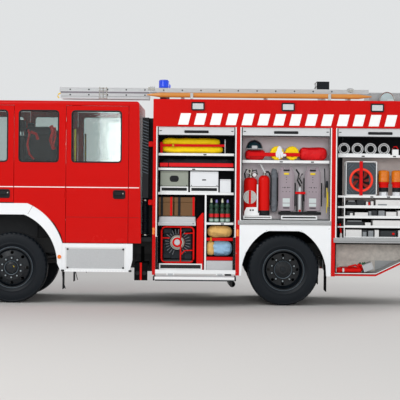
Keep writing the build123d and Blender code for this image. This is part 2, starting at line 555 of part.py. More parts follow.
with BuildPart() as wings:
    for side in SIDES:
        wing_y = mirrored(side, CAB_HALF_WIDTH + SEAT_GAP, WING_HALF_WIDTH)
        with BuildSketch(Plane.XZ.offset(-max(wing_y))) as band:
            with BuildLine():
                foot_rear = (FRONT_AXLE_X + 728, WING_FOOT[1])
                inner_front = (FRONT_AXLE_X - 597, CAB_BOTTOM_Z + 8)
                outer_arc = WING_OUTER_ARC[:2] + ((728, CAB_BOTTOM_Z + 8),)
                front = about_axle(FRONT_AXLE_X, -1, outer_arc)
                rear = about_axle(FRONT_AXLE_X, 1, outer_arc)
                inner = about_axle(FRONT_AXLE_X, 1, WING_INNER_ARC)
                ThreePointArc(front[2], front[1], front[0])
                Line(front[0], rear[0])
                ThreePointArc(rear[0], rear[1], rear[2])
                Line(rear[2], foot_rear)
                Line(foot_rear, (FRONT_AXLE_X + WING_FOOT[0], WING_FOOT[1]))
                Line((FRONT_AXLE_X + WING_FOOT[0], WING_FOOT[1]), inner[2])
                ThreePointArc(inner[2], inner[1], inner[0])
                Line(inner[0], (FRONT_AXLE_X - WING_INNER_ARC[0][0], WING_INNER_TOP_Z))
                ThreePointArc((FRONT_AXLE_X - WING_INNER_ARC[0][0], WING_INNER_TOP_Z),
                              (FRONT_AXLE_X - 444, 1106), inner_front)
                Line(inner_front, front[2])
            make_face()
        extrude(band.sketch, amount=max(wing_y) - min(wing_y))
        # Surround of the crew step
        surround_y = mirrored(side, STEP_INNER_Y, WING_HALF_WIDTH)
        front_x = STEP_SURROUND_X[0] + SEAT_GAP
        side_slab([(front_x, STEP_BOTTOM_Z), (front_x, CAB_BOTTOM_Z), (STEP_SURROUND_X[1], CAB_BOTTOM_Z),
                   (STEP_SURROUND_X[1], 640), (STEP_SURROUND_X[1] - 43, STEP_BOTTOM_Z)], surround_y)
        block(STEP_PANEL_X, surround_y, STEP_PANEL_Z, Mode.SUBTRACT)
        # Panel round the rear wheels
        panel_y = mirrored(side, BODY_HALF_WIDTH - POST_DEPTH, BODY_HALF_WIDTH)
        block(ARCH_PANEL_X, panel_y, ARCH_PANEL_Z)
        with BuildSketch(Plane.XZ.offset(-max(panel_y))) as opening:
            with BuildLine():
                feet = [(REAR_AXLE_X + way * REAR_ARCH_FOOT, ARCH_PANEL_Z[0]) for way in (-1, 1)]
                arch(REAR_AXLE_X, REAR_ARCH_ARC, *feet)
                Line(feet[1], feet[0])
            make_face()
        extrude(opening.sketch, amount=POST_DEPTH, mode=Mode.SUBTRACT)
write(wings, "wings")

# Aluminium step panels below the crew doors, on arms from the frame
STEP_ARMS_X = (-1690, -830)
with BuildPart() as cab_steps:
    for side in SIDES:
        block((STEP_PANEL_X[0] + SEAT_GAP, STEP_PANEL_X[1] - SEAT_GAP), mirrored(side, 1180, 1210),
              (STEP_PANEL_Z[0] + SEAT_GAP, STEP_PANEL_Z[1] - SEAT_GAP))
        block((STEP_PANEL_X[0] + 60, STEP_PANEL_X[1] - 60), mirrored(side, 930, 1180), (640, 665))
        for x in STEP_ARMS_X:
            block((x - 18, x + 18), mirrored(side, RAIL_OUTER_Y, STEP_INNER_Y - SEAT_GAP), (830, 860))
write(cab_steps, "cab_steps")

# Front bumper: a beam that turns back along both sides, with lamp openings and a tow opening
BUMPER_Z = (450, 875)
BUMPER_WALL = 60
BUMPER_CORNER = 150
BUMPER_END_X = -3165
LAMP_Y = (780, 1060)
LAMP_Z = (600, 790)
with BuildPart() as front_bumper:
    with BuildSketch(Plane.XY.offset(BUMPER_Z[0])):
        length = BUMPER_END_X + 400 - FRONT_X
        with Locations((FRONT_X + length / 2, 0)):
            RectangleRounded(length, 2 * WING_HALF_WIDTH, BUMPER_CORNER)
        with Locations((FRONT_X + length / 2, 0)):
            RectangleRounded(length - 2 * BUMPER_WALL, 2 * (WING_HALF_WIDTH - BUMPER_WALL),
                             BUMPER_CORNER - BUMPER_WALL, mode=Mode.SUBTRACT)
        with Locations((BUMPER_END_X + 500, 0)):
            Rectangle(1000, 3 * WING_HALF_WIDTH, mode=Mode.SUBTRACT)
    extrude(amount=BUMPER_Z[1] - BUMPER_Z[0])
    for side in SIDES:
        block((FRONT_X - 1, FRONT_X + BUMPER_WALL + 1), mirrored(side, *LAMP_Y), LAMP_Z, Mode.SUBTRACT)
        block((FRONT_X + BUMPER_WALL, RAIL_FRONT_X), mirrored(side, RAIL_Y - 40, RAIL_Y + 30), (720, 860))
    block((FRONT_X - 1, FRONT_X + BUMPER_WALL + 1), (-130, 130), (690, BUMPER_Z[1] + 1), Mode.SUBTRACT)
write(front_bumper, "front_bumper")

# Black grille on the front panel
GRILLE_Z = (960, 1520)
GRILLE_BARS = 7
with BuildPart() as grille:
    grille_x = (CAB_FRONT_X - 30, CAB_FRONT_X - SEAT_GAP)
    with BuildSketch(Plane.YZ.offset(grille_x[0])):
        with Locations((0, sum(GRILLE_Z) / 2)):
            RectangleRounded(1700, GRILLE_Z[1] - GRILLE_Z[0], 60)
            RectangleRounded(1600, GRILLE_Z[1] - GRILLE_Z[0] - 100, 30, mode=Mode.SUBTRACT)
            with GridLocations(0, 65, 1, GRILLE_BARS):
                Rectangle(1610, 32)
    extrude(amount=grille_x[1] - grille_x[0])
write(grille, "grille")

# Door mirrors on arms from the front pillars
MIRROR_REACH = 1450
with BuildPart() as mirrors:
    for side in SIDES:
        head_y = mirrored(side, MIRROR_REACH - 220, MIRROR_REACH)
        head_x = -3705
        with BuildSketch(Plane.YZ.offset(head_x - 35)):
            with Locations((sum(head_y) / 2, 2180)):
                RectangleRounded(220, 460, 40)
        extrude(amount=70)
        for z in (2010, 2350):
            arm_x = screen_x(z) + 60
            foot_y = mirrored(side, CAB_HALF_WIDTH + SEAT_GAP, CAB_HALF_WIDTH + 30)
            block((arm_x - 24, arm_x + 24), foot_y, (z - 24, z + 24))
            rod((arm_x, side * (CAB_HALF_WIDTH + 18), z), (head_x, side * (MIRROR_REACH - 180), z), 14)
write(mirrors, "mirrors")

# Engine air intake behind the cab: a louvred duct and its hose
INTAKE_X = (-574, -482)
INTAKE_Y = (-1110, -860)
INTAKE_Z = (1530, 2690)
LOUVRES = 18
LOUVRE_PITCH = 43
with BuildPart() as air_intake:
    block(INTAKE_X, INTAKE_Y, INTAKE_Z)
    with BuildSketch(Plane.XZ.offset(-INTAKE_Y[0])) as louvre:
        with Locations((sum(INTAKE_X) / 2, INTAKE_Z[1] - 40 - LOUVRE_PITCH * (LOUVRES - 1) / 2)):
            with GridLocations(0, LOUVRE_PITCH, 1, LOUVRES):
                Rectangle(78, 20, rotation=-20)
    extrude(louvre.sketch, amount=-18, mode=Mode.SUBTRACT)
    rod((-528, -985, 960), (-528, -985, INTAKE_Z[0]), 42)
    block((-628, -428), (-1060, -RAIL_OUTER_Y), (900, 960))
    # Back plate, which fixes the duct to the body's front wall
    block((INTAKE_X[0], BODY_FRONT_X - SEAT_GAP), (INTAKE_Y[1] - 1, INTAKE_Y[1] + 12), (960, INTAKE_Z[1]))
write(air_intake, "air_intake")

# Superstructure: aluminium deck, bulkheads and partitions, each panel by itself
LOCKER_FLOOR_Z = 475
ROOF_DECK_Z = 2830
WALL_TOP = ROOF_DECK_Z - PANEL - SEAT_GAP
SLOPE = tan(radians(DEPARTURE_ANGLE))


def tail_z(x):
    """Height of the underside, which rises to the rear behind the departure point."""
    return BODY_LOW_Z + max(0, x - DEPARTURE_X) * SLOPE


def between(low, high):
    """A clear span between two pieces, less the seat gap at each end."""
    return (low + SEAT_GAP, high - SEAT_GAP)


BULKHEAD_X = BODY_FRONT_X + PANEL
with BuildPart() as body_walls:
    # Deck on its cross bearers
    deck_y = LOCKER_INNER_Y - PANEL - SEAT_GAP
    block((BODY_FRONT_X, BODY_REAR_X - PANEL), (-deck_y, deck_y), (DECK_Z, DECK_Z + PANEL))
    for x in (BODY_FRONT_X + 85, REAR_AXLE_X - 915, REAR_AXLE_X, REAR_AXLE_X + 905, BODY_REAR_X - 300):
        block((x - 40, x + 40), (-RAIL_OUTER_Y, RAIL_OUTER_Y), (RAIL_Z + RAIL_HEIGHT, DECK_Z))
    # Front bulkhead
    block((BODY_FRONT_X, BULKHEAD_X), (-BODY_HALF_WIDTH + POST_DEPTH, BODY_HALF_WIDTH - POST_DEPTH),
          (DECK_Z + PANEL + SEAT_GAP, WALL_TOP))
    for side in SIDES:
        outer_y = BODY_HALF_WIDTH - POST_DEPTH
        block((BODY_FRONT_X, BULKHEAD_X), mirrored(side, LOCKER_INNER_Y - PANEL, outer_y),
              (BODY_LOW_Z + 10, DECK_Z + PANEL))
        # Long inner wall beside the frame, raised over the rear axle
        wall_y = mirrored(side, LOCKER_INNER_Y - PANEL, LOCKER_INNER_Y)
        block(between(BULKHEAD_X, POSTS_X[1][1]), wall_y, (BODY_LOW_Z + 10, WALL_TOP))
        block(between(POSTS_X[1][1], POSTS_X[2][0]), wall_y, (DECK_Z - 30, WALL_TOP))
        start, end = between(POSTS_X[2][0], BODY_REAR_X - PANEL)
        side_slab([(start, BODY_LOW_Z + 10), (start, WALL_TOP), (end, WALL_TOP),
                   (end, tail_z(BODY_REAR_X) + 10), (DEPARTURE_X, BODY_LOW_Z + 10)], wall_y)
        locker_y = mirrored(side, LOCKER_INNER_Y + SEAT_GAP, outer_y)
        # Partitions behind the posts
        for post in (1, 2, 3):
            start = POSTS_X[post][0]
            block((start, start + PANEL), locker_y, (tail_z(start + PANEL) + 20, WALL_TOP))
        # Locker floors: low at the front, above the wheels, and low with a ramp at the rear
        starts = [BULKHEAD_X] + [POSTS_X[i][0] + PANEL for i in (1, 2)]
        ends = [POSTS_X[i][0] for i in (1, 2, 3)]
        block(between(starts[0], ends[0]), locker_y, (LOCKER_FLOOR_Z - 24, LOCKER_FLOOR_Z))
        block(between(starts[1], ends[1]), locker_y, (UPPER_SILL_Z - PANEL, UPPER_SILL_Z))
        block(between(starts[2], ends[2]), locker_y, (920, 950))
        block((starts[2] + SEAT_GAP, DEPARTURE_X), locker_y, (LOCKER_FLOOR_Z - 24, LOCKER_FLOOR_Z))
        start, end = between(DEPARTURE_X, ends[2])
        side_slab([(start, LOCKER_FLOOR_Z - 24), (start, LOCKER_FLOOR_Z), (end, tail_z(ends[2]) + 34),
                   (end, tail_z(ends[2]) + 10)], locker_y)
write(body_walls, "body_walls")

# Red shell: the sunk roof deck with its edge beams, and the posts
MAST_X = BOX_X[0] - 638
MAST_RADIUS = 60
POST_TOP_Z = OPENING_TOP_Z
EDGE_BEAM_Z = (OPENING_TOP_Z, BODY_TOP_Z)
with BuildPart() as body_shell:
    edge_y = BODY_HALF_WIDTH - POST_DEPTH + SEAT_GAP
    block((BODY_FRONT_X, BODY_REAR_X), (-edge_y, edge_y), (ROOF_DECK_Z - PANEL, ROOF_DECK_Z))
    with BuildSketch(Plane.XY.offset(ROOF_DECK_Z - PANEL)):
        with Locations((MAST_X, 0)):
            Circle(MAST_RADIUS + SEAT_GAP)
    extrude(amount=PANEL, mode=Mode.SUBTRACT)
    for side in SIDES:
        block((BODY_FRONT_X, BODY_REAR_X), mirrored(side, edge_y, BODY_HALF_WIDTH), EDGE_BEAM_Z)
    block((BODY_REAR_X - PANEL, BODY_REAR_X), (-edge_y, edge_y), EDGE_BEAM_Z)
    block((BODY_FRONT_X, BODY_FRONT_X + PANEL), (-edge_y, edge_y), (ROOF_DECK_Z, BODY_TOP_Z))
    fillet(body_shell.edges().filter_by(Axis.X).group_by(Axis.Z)[-1].sort_by(Axis.Y)[0], 18)
    fillet(body_shell.edges().filter_by(Axis.X).group_by(Axis.Z)[-1].sort_by(Axis.Y)[-1], 18)
    # Posts between the lockers, and the rear corner panels
    for side in SIDES:
        post_y = mirrored(side, edge_y, BODY_HALF_WIDTH)
        for post, low in ((0, 430), (1, 430), (2, 430)):
            block(POSTS_X[post], post_y, (low, POST_TOP_Z))
        side_slab([(POSTS_X[3][0], tail_z(POSTS_X[3][0])), (POSTS_X[3][0], POST_TOP_Z),
                   (BODY_REAR_X, POST_TOP_Z), (BODY_REAR_X, tail_z(BODY_REAR_X))], post_y)
        block((BODY_REAR_X - PANEL, BODY_REAR_X), mirrored(side, LOCKER_INNER_Y, edge_y),
              (tail_z(BODY_REAR_X) + 15, POST_TOP_Z))
write(body_shell, "body_shell")

# Aluminium shutter guides and sills round each locker: post indices, foot of the guides, sill heights
GUIDE_WIDTH = 32
GUIDE_GROOVE = 12
OPENINGS = [(0, 1, 505, (451, 505)), (1, 2, 1225, (1158, 1225)), (2, 3, 986, (914, 986))]
# Step flap: hinge axis as (distance from the middle, height), board and lugs
FLAP_AXIS = (1268, 440)
FLAP_Z = (379, 428)
FLAP_REACH = 1775
FLAP_X = (POSTS_X[0][1] - 5, POSTS_X[1][0] - 8)
FLAP_LUGS_X = (FLAP_X[0] + 225, FLAP_X[1] - 214)
FLAP_PIN = 6
with BuildPart() as opening_frames:
    for side in SIDES:
        guide_y = mirrored(side, BODY_HALF_WIDTH - POST_DEPTH + SEAT_GAP, BODY_HALF_WIDTH - 3)
        sill_y = mirrored(side, BODY_HALF_WIDTH - POST_DEPTH + SEAT_GAP, BODY_HALF_WIDTH + 4)
        for first, last, foot, sill in OPENINGS:
            low_x, high_x = POSTS_X[first][1], POSTS_X[last][0]
            for x, way in ((low_x, 1), (high_x, -1)):
                start = x + way * SEAT_GAP
                block((start, x + way * GUIDE_WIDTH), guide_y, (foot + SEAT_GAP, POST_TOP_Z - SEAT_GAP))
                groove_x = (x + way * (GUIDE_WIDTH - 20), x + way * (GUIDE_WIDTH + 1))
                block(groove_x, mirrored(side, 1212, 1212 + GUIDE_GROOVE), (foot, POST_TOP_Z), Mode.SUBTRACT)
            block(between(low_x, high_x), sill_y, sill)
        # Brackets and pins of the step flap
        for x in FLAP_LUGS_X:
            axis_y = side * FLAP_AXIS[0]
            rod((x - 55, axis_y, FLAP_AXIS[1]), (x + 55, axis_y, FLAP_AXIS[1]), FLAP_PIN)
            for start in (x - 55, x + 40):
                block((start, start + 15), mirrored(side, BODY_HALF_WIDTH - 2, FLAP_AXIS[0] + 8),
                      (432.5, 470))
write(opening_frames, "opening_frames")

# Roller shutters: rolled up on the left with only the end slat showing, closed on the right and rear
END_SLAT_Z = (2443, 2556)
SHUTTER_Y = (1205, 1225)
SLAT_PITCH = 60
with BuildPart() as shutters:
    for first, last, foot, sill in OPENINGS:
        clear_x = between(POSTS_X[first][1] + GUIDE_WIDTH, POSTS_X[last][0] - GUIDE_WIDTH)
        block(clear_x, mirrored(-1, *SHUTTER_Y), END_SLAT_Z)
        handle_x = sum(clear_x) / 2
        block((handle_x - 180, handle_x + 180), mirrored(-1, SHUTTER_Y[1] - 12, SHUTTER_Y[1] + 1),
              (2467, 2510), Mode.SUBTRACT)
        low = 986 if first == 0 else foot
        closed_z = (low + SEAT_GAP, END_SLAT_Z[1])
        block(clear_x, mirrored(1, *SHUTTER_Y), closed_z)
        grooves = int((closed_z[1] - closed_z[0]) / SLAT_PITCH) - 1
        with BuildSketch(Plane.YZ.offset(clear_x[0])) as groove:
            with Locations((SHUTTER_Y[1], sum(closed_z) / 2)):
                with GridLocations(0, SLAT_PITCH, 1, grooves):
                    Rectangle(8, 8, rotation=45)
        extrude(groove.sketch, amount=clear_x[1] - clear_x[0], mode=Mode.SUBTRACT)
    rear_z = (DECK_Z + PANEL + SEAT_GAP, POST_TOP_Z - SEAT_GAP)
    block((BODY_REAR_X - 25, BODY_REAR_X - 5), between(-LOCKER_INNER_Y, LOCKER_INNER_Y), rear_z)
    grooves = int((rear_z[1] - rear_z[0]) / SLAT_PITCH) - 1
    with BuildSketch(Plane.XZ.offset(LOCKER_INNER_Y)) as groove:
        with Locations((BODY_REAR_X - 5, sum(rear_z) / 2)):
            with GridLocations(0, SLAT_PITCH, 1, grooves):
                Rectangle(8, 8, rotation=45)
    extrude(groove.sketch, amount=-2 * LOCKER_INNER_Y, mode=Mode.SUBTRACT)
write(shutters, "shutters")

# Fold-down step flaps below the front lockers, hinged on pins in brackets on the sill
for side in SIDES:
    with BuildPart() as step_flap:
        block(FLAP_X, mirrored(side, FLAP_AXIS[0] - 6, FLAP_REACH), FLAP_Z)
        for x in FLAP_LUGS_X:
            axis_y = side * FLAP_AXIS[0]
            rod((x - 35, axis_y, FLAP_AXIS[1]), (x + 35, axis_y, FLAP_AXIS[1]), 14)
            rod((x - 36, axis_y, FLAP_AXIS[1]), (x + 36, axis_y, FLAP_AXIS[1]), FLAP_PIN + SPINDLE_CLEARANCE,
                mode=Mode.SUBTRACT)
    write(step_flap, f"step_flap_{SIDE_NAMES[side]}")

# Black arch liners, mud flaps and the folded wheel chocks behind the cab
LINER_WALL = 8
LINER_FRONT_Y = (850, CAB_HALF_WIDTH)
LINER_REAR_Y = (LOCKER_INNER_Y + 5, BODY_HALF_WIDTH - POST_DEPTH)


def grown(arc, amount):
    """An arch's curve moved outward by a thickness, so that a liner lies round the opening."""
    (top_out, top_z), (mid_out, mid_z), (low_out, low_z) = arc
    return ((top_out + amount / 3, top_z + amount), (mid_out + amount * 0.8, mid_z + amount * 0.6),
            (low_out + amount, low_z + amount / 8))


# axle x, inner curve, height of its feet, y of the liner
LINERS = [(FRONT_AXLE_X, WING_INNER_ARC, WING_FOOT[1] + 60, LINER_FRONT_Y),
          (REAR_AXLE_X, REAR_ARCH_ARC, ARCH_PANEL_Z[0] + 60, LINER_REAR_Y)]
with BuildPart() as mud_guards:
    for side in SIDES:
        for axle_x, arc, foot_z, liner_y in LINERS:
            liner_y = mirrored(side, *liner_y)
            with BuildSketch(Plane.XZ.offset(-max(liner_y))) as liner:
                for offset, mode in ((2 * LINER_WALL, Mode.ADD), (LINER_WALL, Mode.SUBTRACT)):
                    curve = grown(arc, offset)
                    with BuildLine():
                        feet = [(axle_x + way * curve[2][0], foot_z) for way in (-1, 1)]
                        arch(axle_x, curve, *feet)
                        Line(feet[1], feet[0])
                    make_face(mode=mode)
            extrude(liner.sketch, amount=max(liner_y) - min(liner_y))
        block((REAR_AXLE_X + 610, REAR_AXLE_X + 618), mirrored(side, 700, 1190), (205, foot_z + 120))
        block((-1706, -1698), mirrored(side, 880, STEP_INNER_Y - SEAT_GAP), (205, 700))
    # Two folding chocks side by side under the gap
    for x in (-672, -572):
        side_slab([(x, 345), (x, 540), (x + 30, 599), (x + 90, 599), (x + 90, 345)], (-1190, -1160))
        with BuildSketch(Plane.XZ.offset(1160)) as hole:
            with Locations((x + 45, 450)):
                Circle(26)
        extrude(hole.sketch, amount=30, mode=Mode.SUBTRACT)
    block((-672, -482), (-1160, -RAIL_OUTER_Y), (560, 590))
    block((-600, -554), (-RAIL_OUTER_Y - 40, -RAIL_OUTER_Y), (560, RAIL_Z + RAIL_HEIGHT / 2))
write(mud_guards, "mud_guards")

# Clear lamps: head lamps in the bumper and work lights along both roof edges
WORK_LIGHTS_X = (BODY_FRONT_X + 639, REAR_AXLE_X + 41, BODY_REAR_X - 807)
WORK_LIGHT_Z = 2852
with BuildPart() as lamps_clear:
    for side in SIDES:
        head_y = mirrored(side, LAMP_Y[0] + SEAT_GAP, LAMP_Y[1] - SEAT_GAP)
        with BuildSketch(Plane.YZ.offset(FRONT_X + 8)) as lens:
            with Locations((sum(head_y) / 2, sum(LAMP_Z) / 2)):
                RectangleRounded(abs(head_y[1] - head_y[0]), LAMP_Z[1] - LAMP_Z[0] - 2 * SEAT_GAP, 30)
        extrude(lens.sketch, amount=50)
        for x in WORK_LIGHTS_X:
            light_y = mirrored(side, BODY_HALF_WIDTH + SEAT_GAP, BODY_HALF_WIDTH + 26)
            side_window((x - 88, x + 88), (WORK_LIGHT_Z - 52, WORK_LIGHT_Z + 52), light_y, 14)
    # Round lamp on the roof deck, beside the roof box
    round_x = BOX_X[0] + 237
    rod((round_x, -1000, 2985), (round_x, -1050, 2985), 106)
    block((round_x - 20, round_x + 20), (-1040, -1010), (ROOF_DECK_Z + SEAT_GAP, 2900))
write(lamps_clear, "lamps_clear")

# Signal lamps: amber indicators, side markers and rear indicators, and red tail lamps
MARKERS = [(BODY_FRONT_X + 17, 1057), (POSTS_X[1][0] + 26, 1043), (BODY_REAR_X - 60, 1300)]
WING_MARKER = (FRONT_AXLE_X + 692, 675)
with BuildPart() as signal_lamps:
    for side in SIDES:
        for x, z in MARKERS:
            lens_y = mirrored(side, BODY_HALF_WIDTH + SEAT_GAP, BODY_HALF_WIDTH + 14)
            side_window((x - 16, x + 16), (z - 50, z + 50), lens_y, 10)
        x, z = WING_MARKER
        rod((x, side * (WING_HALF_WIDTH + SEAT_GAP), z), (x, side * (WING_HALF_WIDTH + 14), z), 28)
        lens_y = mirrored(side, WING_HALF_WIDTH + SEAT_GAP, WING_HALF_WIDTH + 22)
        side_window((-3560, -3440), (655, 735), lens_y, 20)
        with BuildSketch(Plane.YZ.offset(BODY_REAR_X + SEAT_GAP)) as rear_lamp:
            with Locations((side * 1100, 1150), (side * 1100, 2700)):
                RectangleRounded(150, 90, 15)
        extrude(rear_lamp.sketch, amount=25)
        # Red tail lamp
        with BuildSketch(Plane.YZ.offset(BODY_REAR_X + SEAT_GAP)) as tail_lamp:
            with Locations((side * 1100, 1030)):
                RectangleRounded(150, 130, 15)
        extrude(tail_lamp.sketch, amount=25)
write(signal_lamps, "signal_lamps")

# Rear guard and step below the tail, on arms from the rails, with the rear ladder's rungs
GUARD_Z = (560, 680)
REAR_LADDER_X = BODY_REAR_X + 80
REAR_LADDER_Z = (1000, 2980)
REAR_LADDER_Y = (650, 930)
OUTLET_Y = 533
OUTLET_Z = 880
OUTLET_RADIUS = 37.5
with BuildPart() as rear_guard:
    block((REAR_X - 160, REAR_X), (-1200, 1200), GUARD_Z)
    for side in SIDES:
        block((RAIL_REAR_X, REAR_X - 160), mirrored(side, RAIL_Y - 35, RAIL_OUTER_Y), (GUARD_Z[0] + 10, 800))
    fillet(rear_guard.edges().filter_by(Axis.Z).group_by(Axis.X)[-1], 40)
    for y in REAR_LADDER_Y:
        rod((REAR_LADDER_X, y, REAR_LADDER_Z[0]), (REAR_LADDER_X, y, REAR_LADDER_Z[1]), 18)
        for z in (REAR_LADDER_Z[0] + 40, REAR_LADDER_Z[1] - 1020, REAR_LADDER_Z[1] - 100):
            rod((BODY_REAR_X + SEAT_GAP, y, z), (REAR_LADDER_X, y, z), 12)
    for z in range(REAR_LADDER_Z[0] + 120, REAR_LADDER_Z[1] - 20, 280):
        rod((REAR_LADDER_X, REAR_LADDER_Y[0], z), (REAR_LADDER_X, REAR_LADDER_Y[1], z), 14)
    # Two delivery outlets below the rear shutter
    for side in SIDES:
        y = side * OUTLET_Y
        block((BODY_REAR_X - 55, BODY_REAR_X), (y - 55, y + 55), (OUTLET_Z - 75, DECK_Z - SEAT_GAP))
        rod((BODY_REAR_X - 24, y, OUTLET_Z), (BODY_REAR_X + 60, y, OUTLET_Z), 50)
        rod((BODY_REAR_X + 40, y, OUTLET_Z), (BODY_REAR_X + 60, y, OUTLET_Z), 62)
        rod((BODY_REAR_X, y, OUTLET_Z), (BODY_REAR_X + 61, y, OUTLET_Z), OUTLET_RADIUS, mode=Mode.SUBTRACT)
write(rear_guard, "rear_guard")

# Blue beacons on posts at the front corners of the roof
BEACON_X = BODY_FRONT_X + 131
BEACON_Y = 560
BEACON_Z = (3150, 3268)
with BuildPart() as beacons:
    for side in SIDES:
        rod((BEACON_X, side * BEACON_Y, ROOF_DECK_Z + SEAT_GAP), (BEACON_X, side * BEACON_Y, BEACON_Z[0]), 55)
        rod((BEACON_X, side * BEACON_Y, BEACON_Z[0]), (BEACON_X, side * BEACON_Y, BEACON_Z[1]), 75)
        fillet(beacons.edges().group_by(Axis.Z)[-1], 20)
write(beacons, "beacons")

# Shelves, trays, drawer fronts and dividers of the left lockers: x, depth y, z
FRONT_LOCKER_X = between(BULKHEAD_X, POSTS_X[1][0])
MIDDLE_LOCKER_X = between(POSTS_X[1][0] + PANEL, POSTS_X[2][0])
REAR_LOCKER_X = between(POSTS_X[2][0] + PANEL, POSTS_X[3][0])
SHELF_Y = (LOCKER_INNER_Y + SEAT_GAP, 1120)


def place(locker_x, share):
    """The x that lies at a share of a locker's length from its front end."""
    return locker_x[0] + share * (locker_x[1] - locker_x[0])


def span(locker_x, start, end):
    """The x values between two shares of a locker's length."""
    return (place(locker_x, start), place(locker_x, end))


DIVIDER_X = span(FRONT_LOCKER_X, 0.6170, 0.6367)
SHELVES = [
    (FRONT_LOCKER_X, (2147, 2180)),
    (FRONT_LOCKER_X, (1936, 1968)),
    (FRONT_LOCKER_X, (1584, 1618)),
    (DIVIDER_X, (LOCKER_FLOOR_Z + SEAT_GAP, 1584 - SEAT_GAP)),
    (span(FRONT_LOCKER_X, 0.0000, 0.5056), (1136, 1180)),
    ((DIVIDER_X[1] + SEAT_GAP, FRONT_LOCKER_X[1]), (1155, 1184)),
    (MIDDLE_LOCKER_X, (2052, 2090)),
    (span(MIDDLE_LOCKER_X, 0.0581, 0.3647), (1243, 1290)),
    (span(MIDDLE_LOCKER_X, 0.4664, 0.8544), (1238, 1290)),
    (REAR_LOCKER_X, (2145, 2180)),
    (REAR_LOCKER_X, (1564, 1592)),
    (REAR_LOCKER_X, (1414, 1438)),
    (REAR_LOCKER_X, (1266, 1289)),
    (REAR_LOCKER_X, (1130, 1148)),
]
DRAWER_X = span(FRONT_LOCKER_X, 0.0580, 0.5887)
with BuildPart() as shelves:
    for x, z in SHELVES:
        block(x, mirrored(-1, *SHELF_Y), z)
    # Front of the drawer that carries the generator
    block(DRAWER_X, mirrored(-1, SHELF_Y[1] - 12, SHELF_Y[1] + 2), (LOCKER_FLOOR_Z + SEAT_GAP, 588))
write(shelves, "shelves")

def stowed(x, y, z, corner):
    """A stowed box with rounded upright edges, standing on its shelf."""
    with BuildSketch(Plane.XY.offset(z[0] + SEAT_GAP)) as base:
        with Locations((sum(x) / 2, -sum(y) / 2)):
            RectangleRounded(x[1] - x[0], y[1] - y[0], corner)
    extrude(base.sketch, amount=z[1] - z[0] - 2 * SEAT_GAP)


CASE_Y = (700, 1100)
# Boxes stowed in the left lockers: x, z
KIT_CASES = [
    (span(FRONT_LOCKER_X, 0.0640, 0.4087), (1618, 1920)),
    (span(FRONT_LOCKER_X, 0.4327, 0.7816), (1618, 1920)),
    (span(FRONT_LOCKER_X, 0.8014, 0.9368), (1618, 1810)),
    (span(FRONT_LOCKER_X, 0.0469, 0.5056), (1180, 1275)),
    (span(FRONT_LOCKER_X, 0.0469, 0.2269), (1275, 1545)),
    (span(FRONT_LOCKER_X, 0.2398, 0.4927), (1275, 1545)),
    (span(FRONT_LOCKER_X, 0.5167, 0.6050), (LOCKER_FLOOR_Z, 1322)),
    (span(FRONT_LOCKER_X, 0.6419, 0.9617), (LOCKER_FLOOR_Z, 700)),
    (span(FRONT_LOCKER_X, 0.6419, 0.9617), (700, 930)),
    (span(FRONT_LOCKER_X, 0.6419, 0.9617), (930, 1140)),
    (span(REAR_LOCKER_X, 0.2306, 0.5539), (1148, 1250)),
    (span(REAR_LOCKER_X, 0.1537, 0.4461), (1438, 1530)),
    (span(REAR_LOCKER_X, 0.4769, 0.8617), (1438, 1540)),
    (span(REAR_LOCKER_X, 0.0536, 0.3230), (LOCKER_FLOOR_Z, 560)),
    (span(REAR_LOCKER_X, 0.3384, 0.4769), (LOCKER_FLOOR_Z, 640)),
]
with BuildPart() as kit_cases:
    for x, z in KIT_CASES:
        stowed(x, CASE_Y, z, 12)
write(kit_cases, "kit_cases")

# Soft bags and rolled hoses: x, z
KIT_BAGS = [
    (span(FRONT_LOCKER_X, 0.0726, 0.8614), (2180, 2405)),
    (span(FRONT_LOCKER_X, 0.0555, 0.9642), (1968, 2045)),
    (span(MIDDLE_LOCKER_X, 0.0768, 0.2749), (2090, 2385)),
    (span(MIDDLE_LOCKER_X, 0.6615, 0.9613), (2090, 2285)),
]
HOSE_ROLLS = [(place(MIDDLE_LOCKER_X, 0.4170), 105), (place(MIDDLE_LOCKER_X, 0.5793), 105)]
with BuildPart() as kit_bags:
    for x, z in KIT_BAGS:
        stowed(x, CASE_Y, z, 60)
    for x, radius in HOSE_ROLLS:
        rod((x, -1100, 2090 + SEAT_GAP + radius), (x, -880, 2090 + SEAT_GAP + radius), radius)
write(kit_bags, "kit_bags")

# Upright cylinders: x, radius, z, y of the middle
CYLINDERS = [
    (place(MIDDLE_LOCKER_X, 0.1366), 98, (1290, 1975), 960),
    (place(MIDDLE_LOCKER_X, 0.2824), 82, (1290, 1900), 1000),
    (place(FRONT_LOCKER_X, 0.7328), 50, (1184, 1530), 1020),
    (place(FRONT_LOCKER_X, 0.8699), 50, (1184, 1530), 1020),
]
BREATHING_SETS_X = span(MIDDLE_LOCKER_X, 0.5217, 0.7983)
GENERATOR_X = span(FRONT_LOCKER_X, 0.0726, 0.4944)
GENERATOR_Z = (LOCKER_FLOOR_Z, 1130)
FAN_X = span(REAR_LOCKER_X, 0.1391, 0.4885)
FAN_Z = (1592, 2089)
